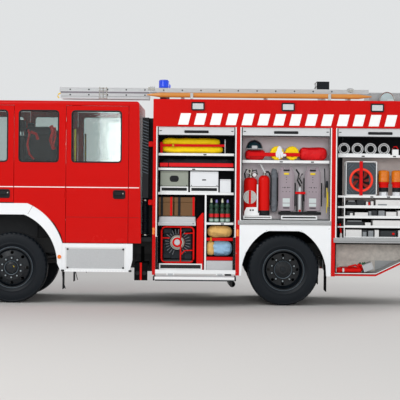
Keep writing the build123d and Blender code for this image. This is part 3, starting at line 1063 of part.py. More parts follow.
# Radii in the rear locker: fan mouth and hub, lamp body and lens, branch pipe and its bore
FAN_MOUTH, FAN_HUB = [share * (FAN_X[1] - FAN_X[0]) for share in (0.33, 0.132)]
LAMP_BODY, LAMP_LENS, BRANCH, BRANCH_BORE = [
    share * (REAR_LOCKER_X[1] - REAR_LOCKER_X[0]) for share in (0.0539, 0.0646, 0.0662, 0.0385)]
FLASH_LAMPS_X = [place(REAR_LOCKER_X, share) for share in (0.5700, 0.7178, 0.8617)]
BRANCHES_X = [place(REAR_LOCKER_X, share) for share in (0.1191, 0.2691, 0.4138, 0.5616)]
with BuildPart() as kit_machines:
    for x, radius, z, y in CYLINDERS:
        rod((x, -y, z[0] + SEAT_GAP), (x, -y, z[1]), radius)
        rod((x, -y, z[1]), (x, -y, z[1] + 40), radius / 3)
    for x in BREATHING_SETS_X:
        side_window((x - 115, x + 115), (1290 + SEAT_GAP, 2002), (-1060, -1000), 40)
        rod((x, -900, 1330), (x, -900, 1900), 80)
        block((x - 30, x + 30), (-1000, -900), (1500, 1700))
    # Generator: a tube frame round its engine
    engine_z = (GENERATOR_Z[0] + 90, GENERATOR_Z[1] - 90)
    block((GENERATOR_X[0] + 27, GENERATOR_X[1] - 27), (-1060, -730), engine_z)
    starter_x = GENERATOR_X[0] + 0.49 * (GENERATOR_X[1] - GENERATOR_X[0])
    rod((starter_x, -1090, 893), (starter_x, -1050, 893), 115)
    hoop_width = GENERATOR_X[1] - GENERATOR_X[0]
    hoop_height = GENERATOR_Z[1] - GENERATOR_Z[0] - 2 * SEAT_GAP
    for y in (-1065, -725):
        with BuildSketch(Plane.XZ.offset(-y)) as hoop:
            with Locations((sum(GENERATOR_X) / 2, sum(GENERATOR_Z) / 2)):
                RectangleRounded(hoop_width, hoop_height, 60)
                RectangleRounded(hoop_width - 60, hoop_height - 60, 32, mode=Mode.SUBTRACT)
        extrude(hoop.sketch, amount=30)
    for x in (GENERATOR_X[0] + 3, GENERATOR_X[1] - 27):
        for z in (700, 1000):
            block((x, x + 24), (-1070, -720), (z, z + 24))
    # Fan in its square housing
    block(FAN_X, (-1100, -800), (FAN_Z[0] + SEAT_GAP, FAN_Z[1]))
    with BuildSketch(Plane.XZ.offset(1100)) as fan_mouth:
        with Locations((sum(FAN_X) / 2, 1813)):
            Circle(FAN_MOUTH)
            Circle(FAN_HUB, mode=Mode.SUBTRACT)
    extrude(fan_mouth.sketch, amount=-60, mode=Mode.SUBTRACT)
    for x in FLASH_LAMPS_X:
        rod((x, -1000, FAN_Z[0] + SEAT_GAP), (x, -1000, 1790), LAMP_BODY)
        rod((x, -1000, 1790), (x, -1000, 1965), LAMP_LENS)
    # Four branch pipes stand with their round ends outward
    branch_z = 2180 + SEAT_GAP + BRANCH
    for x in BRANCHES_X:
        rod((x, -1110, branch_z), (x, -760, branch_z), BRANCH)
        rod((x, -1111, branch_z), (x, -1010, branch_z), BRANCH_BORE, mode=Mode.SUBTRACT)
write(kit_machines, "kit_machines")

POLE_X = (BODY_FRONT_X - 96, BOX_X[0] + 2)
POLE_Y = -1196
POLE_Z = 3014
POLE_RADIUS = 36
POLE_POSTS_X = (BODY_FRONT_X + 548, BOX_X[0] - 603)

# Aluminium ladder on the roof, reaching forward over the cab, with its bearers and the long rail
LADDER_Y = (-1040, -680)
LADDER_X = (-1776, BOX_X[0] - 27)
FRONT_SECTION_END = BODY_FRONT_X - 67
STILE = 28
STILE_LOW_Z = 2958
STILE_HIGH_Z = (3062, 3121)
RUNG_RADIUS = 14
RUNG_PITCH = 270
RUNGS = int((LADDER_X[1] - LADDER_X[0] - 150) / RUNG_PITCH) + 1
# Cradles that carry the ladder: at both ends of its seat on the roof and halfway
CRADLE_ENDS = (BODY_FRONT_X + 415, LADDER_X[1] - 286)
CRADLES_X = (CRADLE_ENDS[0], sum(CRADLE_ENDS) / 2, CRADLE_ENDS[1])
with BuildPart() as roof_ladder:
    for y in LADDER_Y:
        stile_y = (y - STILE / 2, y + STILE / 2)
        block(LADDER_X, stile_y, STILE_HIGH_Z)
        block((LADDER_X[0] + 10, FRONT_SECTION_END), stile_y, (STILE_LOW_Z, STILE_HIGH_Z[0] - SEAT_GAP))
    rung_y = (LADDER_Y[0] + STILE / 2 + SEAT_GAP, LADDER_Y[1] - STILE / 2 - SEAT_GAP)
    for count in range(RUNGS):
        x = LADDER_X[0] + 150 + RUNG_PITCH * count
        rod((x, rung_y[0], 3090), (x, rung_y[1], 3090), RUNG_RADIUS)
    cradle_y = (LADDER_Y[0] - 30, LADDER_Y[1] + 30)
    for x in (FRONT_SECTION_END + 43, LADDER_X[1] - 262):
        block((x - 30, x + 30), cradle_y, (STILE_HIGH_Z[1] + SEAT_GAP, STILE_HIGH_Z[1] + 22))
    for x in CRADLES_X:
        block((x - 25, x + 25), cradle_y, (ROOF_DECK_Z + SEAT_GAP, STILE_HIGH_Z[0] - SEAT_GAP))
    # Saddles of the pole ladder on the roof's edge beam
    saddle_low = BODY_TOP_Z + SEAT_GAP
    for x in POLE_POSTS_X:
        block((x - 20, x + 20), (POLE_Y - 50, POLE_Y + 40), (saddle_low, POLE_Z - POLE_RADIUS - SEAT_GAP))
        block((x - 20, x + 20), (POLE_Y - 56, POLE_Y - POLE_RADIUS - 4), (saddle_low, POLE_Z + 28))
write(roof_ladder, "roof_ladder")

# Folded wooden pole ladder along the left edge of the roof, tapered at both ends
with BuildPart() as pole_ladder:
    with BuildSketch(Plane.XZ.offset(-POLE_Y)) as pole_half:
        with BuildLine():
            Polyline([(POLE_X[0], POLE_Z), (POLE_X[0], POLE_Z + 8), (POLE_X[0] + 190, POLE_Z + POLE_RADIUS),
                      (POLE_X[1] - 190, POLE_Z + POLE_RADIUS), (POLE_X[1], POLE_Z + 8), (POLE_X[1], POLE_Z)],
                     close=True)
        make_face()
    revolve(pole_half.sketch, axis=Axis((0, POLE_Y, POLE_Z), (1, 0, 0)))
write(pole_ladder, "pole_ladder")

# Roof box with a lid that lifts on a hinge along its inner edge
BOX_Y = (-900, 0)
BOX_Z = (ROOF_DECK_Z + SEAT_GAP, 3064)
BOX_WALL = 12
LID = 25
LID_HINGES_X = (BOX_X[0] + 137, BOX_X[1] - 170)
LID_AXIS_Y = BOX_Y[1] + 14
LID_AXIS_Z = BOX_Z[1] + 12
LID_PIN = 4
with BuildPart() as roof_box:
    block(BOX_X, BOX_Y, BOX_Z)
    block((BOX_X[0] + BOX_WALL, BOX_X[1] - BOX_WALL), (BOX_Y[0] + BOX_WALL, BOX_Y[1] - BOX_WALL),
          (BOX_Z[0] + BOX_WALL, BOX_Z[1] + 1), Mode.SUBTRACT)
    for x in LID_HINGES_X:
        rod((x - 40, LID_AXIS_Y, LID_AXIS_Z), (x + 40, LID_AXIS_Y, LID_AXIS_Z), LID_PIN)
        for start in (x - 40, x + 30):
            block((start, start + 10), (BOX_Y[1], LID_AXIS_Y + 6), (BOX_Z[1] - 40, LID_AXIS_Z + 6))
write(roof_box, "roof_box")
with BuildPart() as roof_box_lid:
    lid_z = (BOX_Z[1] + 1, BOX_Z[1] + LID)
    block((BOX_X[0] - 6, BOX_X[1] + 6), (BOX_Y[0] - 6, BOX_Y[1] - 6), lid_z)
    for x in LID_HINGES_X:
        rod((x - 24, LID_AXIS_Y, LID_AXIS_Z), (x + 24, LID_AXIS_Y, LID_AXIS_Z), 9)
        block((x - 24, x + 24), (BOX_Y[1] - 7, LID_AXIS_Y), (LID_AXIS_Z + 2, LID_AXIS_Z + 9))
        rod((x - 25, LID_AXIS_Y, LID_AXIS_Z), (x + 25, LID_AXIS_Y, LID_AXIS_Z), LID_PIN + SPINDLE_CLEARANCE,
            mode=Mode.SUBTRACT)
write(roof_box_lid, "roof_box_lid")

# Light mast: a fixed outer tube through the roof, two sliding tubes, a turning head and tilting lamps
MAST_FOOT_Z = DECK_Z + PANEL + SEAT_GAP
MAST_TOP_Z = 3060
MAST_WALL = 6
MAST_CLEARANCE = 0.3
MAST_TUBES = {"mast_tube_lower": (MAST_RADIUS - MAST_WALL - MAST_CLEARANCE, 40, 14),
              "mast_tube_upper": (MAST_RADIUS - 2 * (MAST_WALL + MAST_CLEARANCE), 60, 28)}


def tube(radius, wall, low, high):
    """An upright tube round the mast's line."""
    rod((MAST_X, 0, low), (MAST_X, 0, high), radius)
    rod((MAST_X, 0, low), (MAST_X, 0, high), radius - wall, mode=Mode.SUBTRACT)


with BuildPart() as mast_base:
    tube(MAST_RADIUS, MAST_WALL, MAST_FOOT_Z, MAST_TOP_Z)
    rod((MAST_X, 0, MAST_FOOT_Z), (MAST_X, 0, MAST_FOOT_Z + 12), MAST_RADIUS)
write(mast_base, "mast_base")
for name, (radius, lift, top) in MAST_TUBES.items():
    with BuildPart() as mast_tube:
        tube(radius, MAST_WALL, MAST_FOOT_Z + lift, MAST_TOP_Z + top)
    write(mast_tube, name)
HEAD_Z = MAST_TOP_Z + 28 + SEAT_GAP
LAMP_AXIS_Z = HEAD_Z + 112
with BuildPart() as mast_head:
    rod((MAST_X, 0, HEAD_Z), (MAST_X, 0, HEAD_Z + 40), 45)
    block((MAST_X - 20, MAST_X + 20), (-24, 24), (HEAD_Z + 40, LAMP_AXIS_Z + 20))
    rod((MAST_X, -86, LAMP_AXIS_Z), (MAST_X, 86, LAMP_AXIS_Z), 10)
write(mast_head, "mast_head")
with BuildPart() as mast_lamps:
    for side in SIDES:
        block((MAST_X - 93, MAST_X + 93), mirrored(side, 56, 300), (LAMP_AXIS_Z - 70, LAMP_AXIS_Z + 80))
        rod((MAST_X, side * 55, LAMP_AXIS_Z), (MAST_X, side * 87, LAMP_AXIS_Z), 10 + SPINDLE_CLEARANCE,
            mode=Mode.SUBTRACT)
write(mast_lamps, "mast_lamps")
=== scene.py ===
"""Crew-cab fire engine: its looks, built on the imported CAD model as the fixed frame.

All values are metres in the CAD's frame: +X to the rear, +Y to the vehicle's right, +Z up from the ground.
"""

import bmesh
import bpy
import numpy as np
from mathutils import Matrix, Vector


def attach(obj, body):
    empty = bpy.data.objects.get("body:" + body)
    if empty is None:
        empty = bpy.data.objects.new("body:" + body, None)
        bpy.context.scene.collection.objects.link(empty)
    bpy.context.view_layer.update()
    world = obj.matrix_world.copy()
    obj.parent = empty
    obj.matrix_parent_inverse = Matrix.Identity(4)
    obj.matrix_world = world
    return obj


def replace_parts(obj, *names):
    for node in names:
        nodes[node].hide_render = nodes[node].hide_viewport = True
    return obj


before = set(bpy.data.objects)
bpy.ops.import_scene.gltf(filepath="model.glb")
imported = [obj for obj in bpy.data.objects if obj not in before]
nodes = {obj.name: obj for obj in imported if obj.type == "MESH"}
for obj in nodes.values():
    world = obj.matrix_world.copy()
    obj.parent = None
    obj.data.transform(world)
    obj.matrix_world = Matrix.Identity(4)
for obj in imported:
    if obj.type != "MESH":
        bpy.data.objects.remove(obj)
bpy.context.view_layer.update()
SIDES = {"left": -1, "right": 1}

# Camera. It stands 25 m out from the vehicle's left side, at eye height, with a long lens,
# so the side is nearly in parallel view. It looks a little down and to the left, and leans.
FRAME_PIXELS = 400
LENS_PIXELS = 1743
LEAN = np.radians(0.54)
EYE = (0.38, -26.25, 1.71)
camera_data = bpy.data.cameras.new("long_lens")
camera_data.angle = 2 * np.arctan(FRAME_PIXELS / 2 / LENS_PIXELS)
camera = bpy.data.objects.new("long_lens", camera_data)
bpy.context.scene.collection.objects.link(camera)
sight = Vector((-8 / LENS_PIXELS, 1, -14 / LENS_PIXELS)).normalized()
across = sight.cross(Vector((-np.sin(LEAN), 0, np.cos(LEAN)))).normalized()
camera.matrix_world = Matrix.Translation(EYE) @ Matrix(
    (across, across.cross(sight), -sight)).transposed().to_4x4()
bpy.context.scene.camera = camera
bpy.context.scene.view_settings.view_transform = "Standard"


# Studio: a plain pale floor, an even pale sky that cameras, glass and metal see, and three large soft lamps.
# The front one stands low behind the camera and reaches into the open lockers; nothing glossy mirrors it.
def linear(hex_colour):
    """A written sRGB colour as the linear values that a shader takes."""
    srgb = np.array([int(hex_colour[i:i + 2], 16) for i in (1, 3, 5)]) / 255
    return (*np.where(srgb <= 0.04045, srgb / 12.92, ((srgb + 0.055) / 1.055) ** 2.4), 1.0)


def add(tree, kind, inputs=(), **settings):
    """Adds a shader node; inputs gives each socket a value, or the socket that feeds it."""
    node = tree.nodes.new("ShaderNode" + kind)
    for key, value in settings.items():
        setattr(node, key, value)
    for key, value in dict(inputs).items():
        if isinstance(value, bpy.types.NodeSocket):
            tree.links.new(value, node.inputs[key])
        else:
            node.inputs[key].default_value = value
    return node


world = bpy.data.worlds.new("pale_sky")
world.use_nodes = True
bpy.context.scene.world = world
world.node_tree.nodes.clear()
path = add(world.node_tree, "LightPath").outputs
seen = add(world.node_tree, "Math", {0: path["Is Camera Ray"], 1: path["Is Glossy Ray"]}, operation="MAXIMUM")
seen = add(world.node_tree, "Math", {0: seen.outputs[0], 1: path["Is Transmission Ray"]}, operation="MAXIMUM")
sky_light = add(world.node_tree, "Background", {"Color": linear("#eef3fa"), "Strength": 0.62})
sky_seen = add(world.node_tree, "Background", {"Color": linear("#e9ebec"), "Strength": 0.92})
sky = add(world.node_tree, "MixShader", {0: seen.outputs[0], 1: sky_light.outputs[0], 2: sky_seen.outputs[0]})
add(world.node_tree, "OutputWorld", {"Surface": sky.outputs[0]})

# name: place, size, watts
LAMPS = {"key": ((-7.0, -13.0, 11.0), 9.0, 900), "fill": ((11.0, 9.0, 10.0), 9.0, 900),
         "front": ((1.0, -30.0, 4.5), 8.0, 3300)}
for lamp_name, (place, width, watts) in LAMPS.items():
    lamp_data = bpy.data.lights.new(lamp_name, "AREA")
    lamp_data.size = width
    lamp_data.energy = watts
    lamp = bpy.data.objects.new(lamp_name, lamp_data)
    bpy.context.scene.collection.objects.link(lamp)
    lamp.visible_glossy = lamp_name != "front"
    lamp.matrix_world = Matrix.Translation(place) @ (
        Vector((0, 0, 1.2)) - Vector(place)).to_track_quat("-Z", "Y").to_matrix().to_4x4()

floor_mesh = bpy.data.meshes.new("studio_floor")
floor_mesh.from_pydata([(-150, -40, 0), (150, -40, 0), (150, 260, 0), (-150, 260, 0)], [], [(0, 1, 2, 3)])
floor = bpy.data.objects.new("studio_floor", floor_mesh)
bpy.context.scene.collection.objects.link(floor)
floor_paint = bpy.data.materials.new("pale_floor_paint")
floor_paint.use_nodes = True
floor_paint.node_tree.nodes["Principled BSDF"].inputs["Base Color"].default_value = linear("#cfcbc6")
floor_paint.node_tree.nodes["Principled BSDF"].inputs["Roughness"].default_value = 0.9
floor_mesh.materials.append(floor_paint)

# Red panels of the cab and the superstructure. Real paint: two-pack acrylic, sprayed on aluminium and
# steel sheet and baked; it shows a clear gloss with a faint orange peel and road film low down.
def finish(name, colour, rough, metallic=0.0, shade=0.06, patch=0.30, grain=None, depth=0.0,
           stretch=(1, 1, 1), film=0.0, coat=0.0, **sockets):
    """A surface finish on object coordinates: its colour drifts over patches of one size in metres, a fine
    grain of another size dents it by a depth, and road film greys it towards the ground."""
    material = bpy.data.materials.new(name)
    material.use_nodes = True
    tree = material.node_tree
    shader = tree.nodes["Principled BSDF"]
    place = add(tree, "TexCoord").outputs["Object"]
    stretched = add(tree, "Mapping", {"Vector": place, "Scale": stretch}).outputs[0]
    drift = add(tree, "TexNoise", {"Vector": stretched, "Scale": 1 / patch, "Detail": 5.0, "Roughness": 0.6})
    base = np.array(linear(colour))
    dark = (*(base[:3] * (1 - shade)), 1.0)
    light = (*np.minimum(base[:3] * (1 + shade), 1), 1.0)
    result = add(tree, "Mix", data_type="RGBA", inputs={0: drift.outputs["Fac"], 6: dark, 7: light}).outputs[2]
    gloss = add(tree, "MapRange", {"Value": drift.outputs["Fac"], "To Min": rough * 0.85, "To Max": rough * 1.15})
    dull = gloss.outputs[0]
    if film:
        height = add(tree, "SeparateXYZ", {"Vector": place}).outputs["Z"]
        low = add(tree, "MapRange", {"Value": height, "From Min": 1.1, "From Max": 0.15,
                                     "To Min": 0.0, "To Max": film}).outputs[0]
        spots = add(tree, "TexNoise", {"Vector": place, "Scale": 9.0, "Detail": 8.0, "Roughness": 0.7})
        amount = add(tree, "Math", {0: low, 1: spots.outputs["Fac"]}, operation="MULTIPLY").outputs[0]
        result = add(tree, "Mix", data_type="RGBA",
                     inputs={0: amount, 6: result, 7: linear("#86827d")}).outputs[2]
        dull = add(tree, "Math", {0: dull, 1: amount}, operation="ADD", use_clamp=True).outputs[0]
    tree.links.new(result, shader.inputs["Base Color"])
    tree.links.new(dull, shader.inputs["Roughness"])
    if grain:
        fine = add(tree, "TexNoise", {"Vector": stretched, "Scale": 1 / grain, "Detail": 3.0})
        bump = add(tree, "Bump", {"Height": fine.outputs["Fac"], "Distance": depth, "Strength": 1.0})
        tree.links.new(bump.outputs[0], shader.inputs["Normal"])
    shader.inputs["Metallic"].default_value = metallic
    shader.inputs["Coat Weight"].default_value = coat
    shader.inputs["Coat Roughness"].default_value = 0.06
    for socket, value in sockets.items():
        shader.inputs[socket.replace("_", " ")].default_value = value
    return material


def dress(material, *names):
    """Gives CAD nodes a finish in all their material slots."""
    for name in names:
        for holder in nodes[name].material_slots:
            holder.material = material


red_paint = finish("two_pack_red_paint", "#c20602", 0.26, shade=0.05, patch=0.8, grain=0.004, depth=0.0001,
                   film=0.06, Specular_IOR_Level=0.16)
dress(red_paint, "body_shell", "cab_walls", "cab_roof", "door_front_left", "door_front_right",
      "door_crew_left", "door_crew_right")

# White wings, step surrounds, arch panels, bumper and rear guard. Real make: glass-fibre mouldings and
# pressed steel in white gloss paint; the film from the road shows on them first.
white_paint = finish("gloss_white_paint", "#e9ebec", 0.28, shade=0.03, patch=0.6, grain=0.006, depth=0.00015,
                     film=0.25, coat=0.3)
dress(white_paint, "wings", "front_bumper", "rear_guard")

# Frame, tanks, silencer and rims. Real paint: black chassis enamel, satin, brushed or sprayed on the bare
# steel and dulled by dust; the engine, gearbox and steering knuckles stay in grey cast iron.
chassis_enamel = finish("black_chassis_enamel", "#101214", 0.4, shade=0.2, patch=0.2, grain=0.003,
                        depth=0.0002, film=0.16)
dress(chassis_enamel, "chassis_frame", "tanks_and_exhaust", "axles")
rim_enamel = finish("blue_black_rim_enamel", "#060c12", 0.32, shade=0.25, patch=0.06, grain=0.003,
                    depth=0.0002)
dress(rim_enamel, "rim_front_left", "rim_front_right", "rims_rear_left", "rims_rear_right")
cast_iron = finish("grey_cast_iron", "#3d3f41", 0.6, metallic=0.4, shade=0.15, patch=0.1, grain=0.002,
                   depth=0.0006, film=0.5)
dress(cast_iron, "drive_train", "knuckle_left", "knuckle_right")

# Locker walls, shelves, frames, ladder and box. Real metal: mill-finish and anodised aluminium, with the
# drawing marks of rolling and extrusion along its length.
mill_aluminium = finish("mill_finish_aluminium", "#b9bbbc", 0.38, metallic=0.9, shade=0.1, patch=0.3,
                        grain=0.002, depth=0.00008, stretch=(0.15, 1, 1))
anodised = finish("anodised_aluminium", "#c9cbcc", 0.34, metallic=0.75, shade=0.05, patch=0.3,
                  grain=0.0015, depth=0.00005, stretch=(0.1, 1, 1))
white_frame_paint = finish("white_powder_coat", "#e6e7e6", 0.4, shade=0.03, patch=0.3, grain=0.0015, depth=0.00008)
dress(mill_aluminium, "body_walls", "cab_steps", "roof_box", "roof_box_lid")
dress(anodised, "roof_ladder", "step_flap_left", "step_flap_right", "mast_base", "mast_tube_lower",
      "mast_tube_upper", "shutters")
dress(white_frame_paint, "opening_frames", "shelves")

# Plastic trim: grille, dashboard, mirrors and intake duct. Real material: black ABS, moulded with a fine
# leather grain that kills the gloss.
black_abs = finish("moulded_black_abs", "#15171a", 0.5, shade=0.1, patch=0.15, grain=0.0025, depth=0.0002,
                   film=0.2, Specular_IOR_Level=0.3)
dress(black_abs, "grille", "dashboard", "mirrors", "air_intake", "cab_floor", "mast_head", "mud_guards",
      "mast_lamps")

# Windows. Real glass: 5 to 6 mm toughened safety glass with a slight grey-green tint, set in rubber.
window_glass = bpy.data.materials.new("tinted_safety_glass")
window_glass.use_nodes = True
pane = window_glass.node_tree.nodes["Principled BSDF"]
for socket, value in {"Base Color": linear("#d2dbd9"), "Roughness": 0.03, "IOR": 1.5,
                      "Transmission Weight": 1.0}.items():
    pane.inputs[socket].default_value = value
dress(window_glass, "cab_glass", "glass_front_left", "glass_front_right", "glass_crew_left", "glass_crew_right")

rubber = finish("moulded_tyre_rubber", "#060d14", 0.5, shade=0.15, patch=0.25, grain=0.004, depth=0.0002,
                Specular_IOR_Level=0.3)
dress(rubber, "tyre_front_left", "tyre_front_right", "tyres_rear_left", "tyres_rear_right")
clear_lens = finish("clear_lamp_lens", "#c9cdcd", 0.12, shade=0.04, patch=0.1, coat=0.5)
dress(clear_lens, "lamps_clear")
amber_lens = finish("amber_lamp_lens", "#e8720c", 0.15, shade=0.04, patch=0.1, coat=0.5)
dress(amber_lens, "signal_lamps")
blue_lens = finish("blue_beacon_lens", "#0c3fd0", 0.12, shade=0.04, patch=0.1, coat=0.5)
dress(blue_lens, "beacons")
seat_cloth = finish("woven_seat_cloth", "#23252b", 0.85, shade=0.15, patch=0.1, grain=0.002, depth=0.0004)
dress(seat_cloth, "seats")
varnished_ash = finish("varnished_ash", "#c9812f", 0.35, shade=0.18, patch=0.05, grain=0.004, depth=0.0002,
                       stretch=(0.05, 1, 1), coat=0.5)
dress(varnished_ash, "pole_ladder")
kit_grey = finish("kit_grey", "#9a9a98", 0.5)
dress(kit_grey, "kit_cases", "kit_machines")
kit_cloth = finish("kit_cloth", "#d9b512", 0.7)
dress(kit_cloth, "kit_bags")

# Tyres. Real make: 315/80 R22.5 drive tyres of black rubber, vulcanised in a mould: a square shoulder, five
# ribs with wide grooves between them, notches across the outer ribs and thin rings on the side walls.
def skin(grid, around=False, along=False):
    """Quads over a grid of points; around closes its second index on itself, along closes the first."""
    rows, columns = grid.shape[:2]
    index = np.arange(rows * columns).reshape(rows, columns)
    if around:
        index = np.hstack((index, index[:, :1]))
    if along:
        index = np.vstack((index, index[:1]))
    corners = (index[:-1, :-1], index[:-1, 1:], index[1:, 1:], index[1:, :-1])
    return grid.reshape(-1, 3), np.stack([corner.ravel() for corner in corners], axis=1).tolist()


def loft(rows):
    """A closed body through outlines of equally many points, with a face over its first and last one."""
    points, faces = skin(np.array(rows, float), around=True)
    count = len(rows[0])
    return points, faces + [list(range(count)), list(range(len(points) - count, len(points)))]


def piece(name, body, material, shapes, smooth=30):
    """Joins (points, faces) shapes into one mesh with outward faces, which rides on a body; edges that turn
    by more than smooth degrees stay sharp."""
    points, faces, start = [], [], 0
    for shape_points, shape_faces in shapes:
        points.append(np.asarray(shape_points, float))
        faces += [[corner + start for corner in face] for face in shape_faces]
        start += len(shape_points)
    mesh = bpy.data.meshes.new(name)
    mesh.from_pydata(np.concatenate(points).tolist(), [], faces)
    mesh.materials.append(material)
    whole = bmesh.new()
    whole.from_mesh(mesh)
    bmesh.ops.recalc_face_normals(whole, faces=whole.faces)
    whole.to_mesh(mesh)
    whole.free()
    mesh.polygons.foreach_set("use_smooth", np.ones(len(mesh.polygons), bool))
    mesh.set_sharp_from_angle(angle=np.radians(smooth))
    made = bpy.data.objects.new(name, mesh)
    bpy.context.scene.collection.objects.link(made)
    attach(made, body)
    return made


def turned(profile, centre, axis=1, way=1, count=48, closed=False, radius_of=None):
    """A surface of revolution: each (radius, distance) of the profile goes round the axis through the
    centre, and the distance runs along it. A radius of 0 closes an end; closed joins the profile's ends."""
    profile = np.array(profile, float)
    angle = np.linspace(0, 2 * np.pi, count, endpoint=False)[None, :]
    radius = profile[:, :1] * np.ones_like(angle)
    if radius_of:
        radius = radius_of(radius, profile[:, 1:], angle)
    grid = np.zeros((len(profile), count, 3))
    first, second = [i for i in range(3) if i != axis]
    grid[..., first] = radius * np.cos(angle)
    grid[..., second] = radius * np.sin(angle)
    grid[..., axis] = way * profile[:, 1:]
    return skin(grid + np.array(centre), around=True, along=closed)


AXLE_HEIGHT = 0.5095
TYRE_RADIUS = 0.5095
GROOVE = 0.013
# tread across, from the middle out: distance, drop below the full radius
RIBS = [(0.0, 0), (0.016, 0), (0.018, GROOVE), (0.026, GROOVE), (0.028, 0), (0.056, 0), (0.058, GROOVE),
        (0.066, GROOVE), (0.068, 0.001), (0.090, 0.002), (0.098, 0.006)]
WALL = [(0.1115, 0.498), (0.1185, 0.484), (0.1205, 0.480), (0.1185, 0.476), (0.1240, 0.452), (0.1272, 0.420),
        (0.1275, 0.400), (0.1262, 0.372), (0.1240, 0.350), (0.1252, 0.347), (0.1226, 0.343), (0.1160, 0.325),
        (0.1060, 0.312), (0.1010, 0.303), (0.0990, 0.2865)]
half = [(TYRE_RADIUS - drop, out) for out, drop in RIBS] + [(radius, out) for out, radius in WALL]
TYRE_LOOP = [(radius, -out) for radius, out in half[:0:-1]] + half + [(0.2865, 0.05), (0.2865, -0.05)]
NOTCHES = 46


def notched(radius, across, angle):
    """Lowers the outer ribs at even steps round the tyre, slanting with the distance across."""
    wave = np.cos(NOTCHES * angle + 30 * across)
    rib = (np.abs(across) > 0.067) & (np.abs(across) < 0.115) & (radius > 0.49)
    narrow = (np.abs(across) > 0.03) & (np.abs(across) < 0.055)
    return radius - 0.010 * rib * (wave > 0.55) - 0.006 * narrow * (wave > 0.85)


FRONT_WHEEL = (-2.44, 1.010)
REAR_WHEEL = (1.475, 0.9295)
TWIN_STEP = 0.1425
for side_name, side in SIDES.items():
    front_centre = (FRONT_WHEEL[0], side * FRONT_WHEEL[1], AXLE_HEIGHT)
    tread = piece(f"tyre_tread_front_{side_name}", f"wheel_front_{side_name}", rubber,
                  [turned(TYRE_LOOP, front_centre, count=NOTCHES * 6, closed=True, radius_of=notched)])
    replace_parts(tread, f"tyre_front_{side_name}")
    twins = [turned(TYRE_LOOP, (REAR_WHEEL[0], side * (REAR_WHEEL[1] + step), AXLE_HEIGHT), count=NOTCHES * 6,
                    closed=True, radius_of=notched) for step in (-TWIN_STEP, TWIN_STEP)]
    tread = piece(f"tyre_treads_rear_{side_name}", f"wheel_rear_{side_name}", rubber, twins)
    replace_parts(tread, f"tyres_rear_{side_name}")


# Wheel fixings. Real make: ten M22 studs and flanged hex nuts on each wheel; the nuts are painted black with
# it, the stud ends keep their zinc. The hub flange has a raised ring round its cap screws and its cap. That
# ring and the rim's outer lip are painted a lighter blue-grey: a painted highlight.
def ring_of(count, radius, centre, start=0.0):
    """Points spaced evenly on an upright circle about a wheel's axle line."""
    angle = start + np.arange(count) * 2 * np.pi / count
    return [(centre[0] + radius * np.cos(a), centre[1], centre[2] + radius * np.sin(a)) for a in angle]


def disc(radius, low, high, centre, **settings):
    """A flat round plate between two distances along its axis."""
    return turned([(0, low), (radius, low), (radius, high), (0, high)], centre, **settings)


NUTS = 10
NUT = [(0, 0), (0.025, 0), (0.025, 0.006), (0.019, 0.007), (0.019, 0.026), (0.017, 0.029), (0, 0.029)]
STUD = [(0, 0.027), (0.0125, 0.027), (0.0125, 0.043), (0.0095, 0.047), (0, 0.047)]
SCREW = [(0, 0), (0.0085, 0), (0.0085, 0.008), (0.0075, 0.010), (0, 0.010)]
HUB_CAP = [(0, -0.004), (0.040, -0.004), (0.042, 0.006), (0.036, 0.014), (0.014, 0.018), (0, 0.018)]
LIP = [(0.2960 + 0.004 * np.cos(a), 0.1060 + 0.004 * np.sin(a)) for a in np.arange(8) * np.pi / 4]
# wheel: centre x and y, seat of the nuts and their circle, seat of the screws and their circle
WHEELS = {"front": (FRONT_WHEEL, 0.134, 0.140, 0.181, 0.072), "rear": (REAR_WHEEL, 0.020, 0.168, 0.082, 0.100)}
oily_steel = finish("blackened_steel", "#1b2228", 0.38, metallic=0.6, shade=0.2, patch=0.05, film=0.1)
bright_stud = finish("worn_zinc_stud", "#a3acb0", 0.35, metallic=0.5, shade=0.5, patch=0.09)
# Lighter blue-grey on the rim lip and hub ring: a painted highlight.
lip_highlight_grey = finish("rim_lip_painted_highlight", "#4b565e", 0.4, metallic=0.3, shade=0.35, patch=0.2)
for wheel_name, (middle, nut_seat, nut_circle, screw_seat, screw_circle) in WHEELS.items():
    for side_name, side in SIDES.items():
        nut_plane = (middle[0], side * (middle[1] + nut_seat), AXLE_HEIGHT)
        screw_plane = (middle[0], side * (middle[1] + screw_seat), AXLE_HEIGHT)
        nut_places = ring_of(NUTS, nut_circle, nut_plane, 0.3)
        shapes = [turned(NUT, place, way=side, count=6) for place in nut_places]
        shapes += [turned(SCREW, place, way=side, count=12) for place in ring_of(12, screw_circle, screw_plane)]
        shapes.append(turned(HUB_CAP, screw_plane, way=side, count=32))
        flange = [(screw_circle + 0.022, -0.004), (screw_circle + 0.030, -0.004), (screw_circle + 0.032, 0.004),
                  (screw_circle + 0.030, 0.010), (screw_circle + 0.022, 0.006)]
        wheel_body = f"wheel_{wheel_name}_{side_name}"
        piece(f"wheel_nuts_{wheel_name}_{side_name}", wheel_body, oily_steel, shapes)
        piece(f"wheel_studs_{wheel_name}_{side_name}", wheel_body, bright_stud,
              [turned(STUD, place, way=side, count=10) for place in nut_places])
        edge = (middle[0], side * (middle[1] + (TWIN_STEP if wheel_name == "rear" else 0)), AXLE_HEIGHT)
        piece(f"rim_lips_{wheel_name}_{side_name}", wheel_body, lip_highlight_grey,
              [turned(LIP, edge, way=side, count=64, closed=True),
               turned(flange, screw_plane, way=side, count=48, closed=True)])
yellow_mark = finish("yellow_paint_mark", "#e2c81c", 0.5, shade=0.05)
for side_name, side in SIDES.items():
    spot = (FRONT_WHEEL[0] + 0.028, side * (FRONT_WHEEL[1] + 0.192), AXLE_HEIGHT + 0.016)
    piece(f"hub_mark_{side_name}", f"wheel_front_{side_name}", yellow_mark,
          [disc(0.013, 0, 0.002, spot, way=side, count=16)])

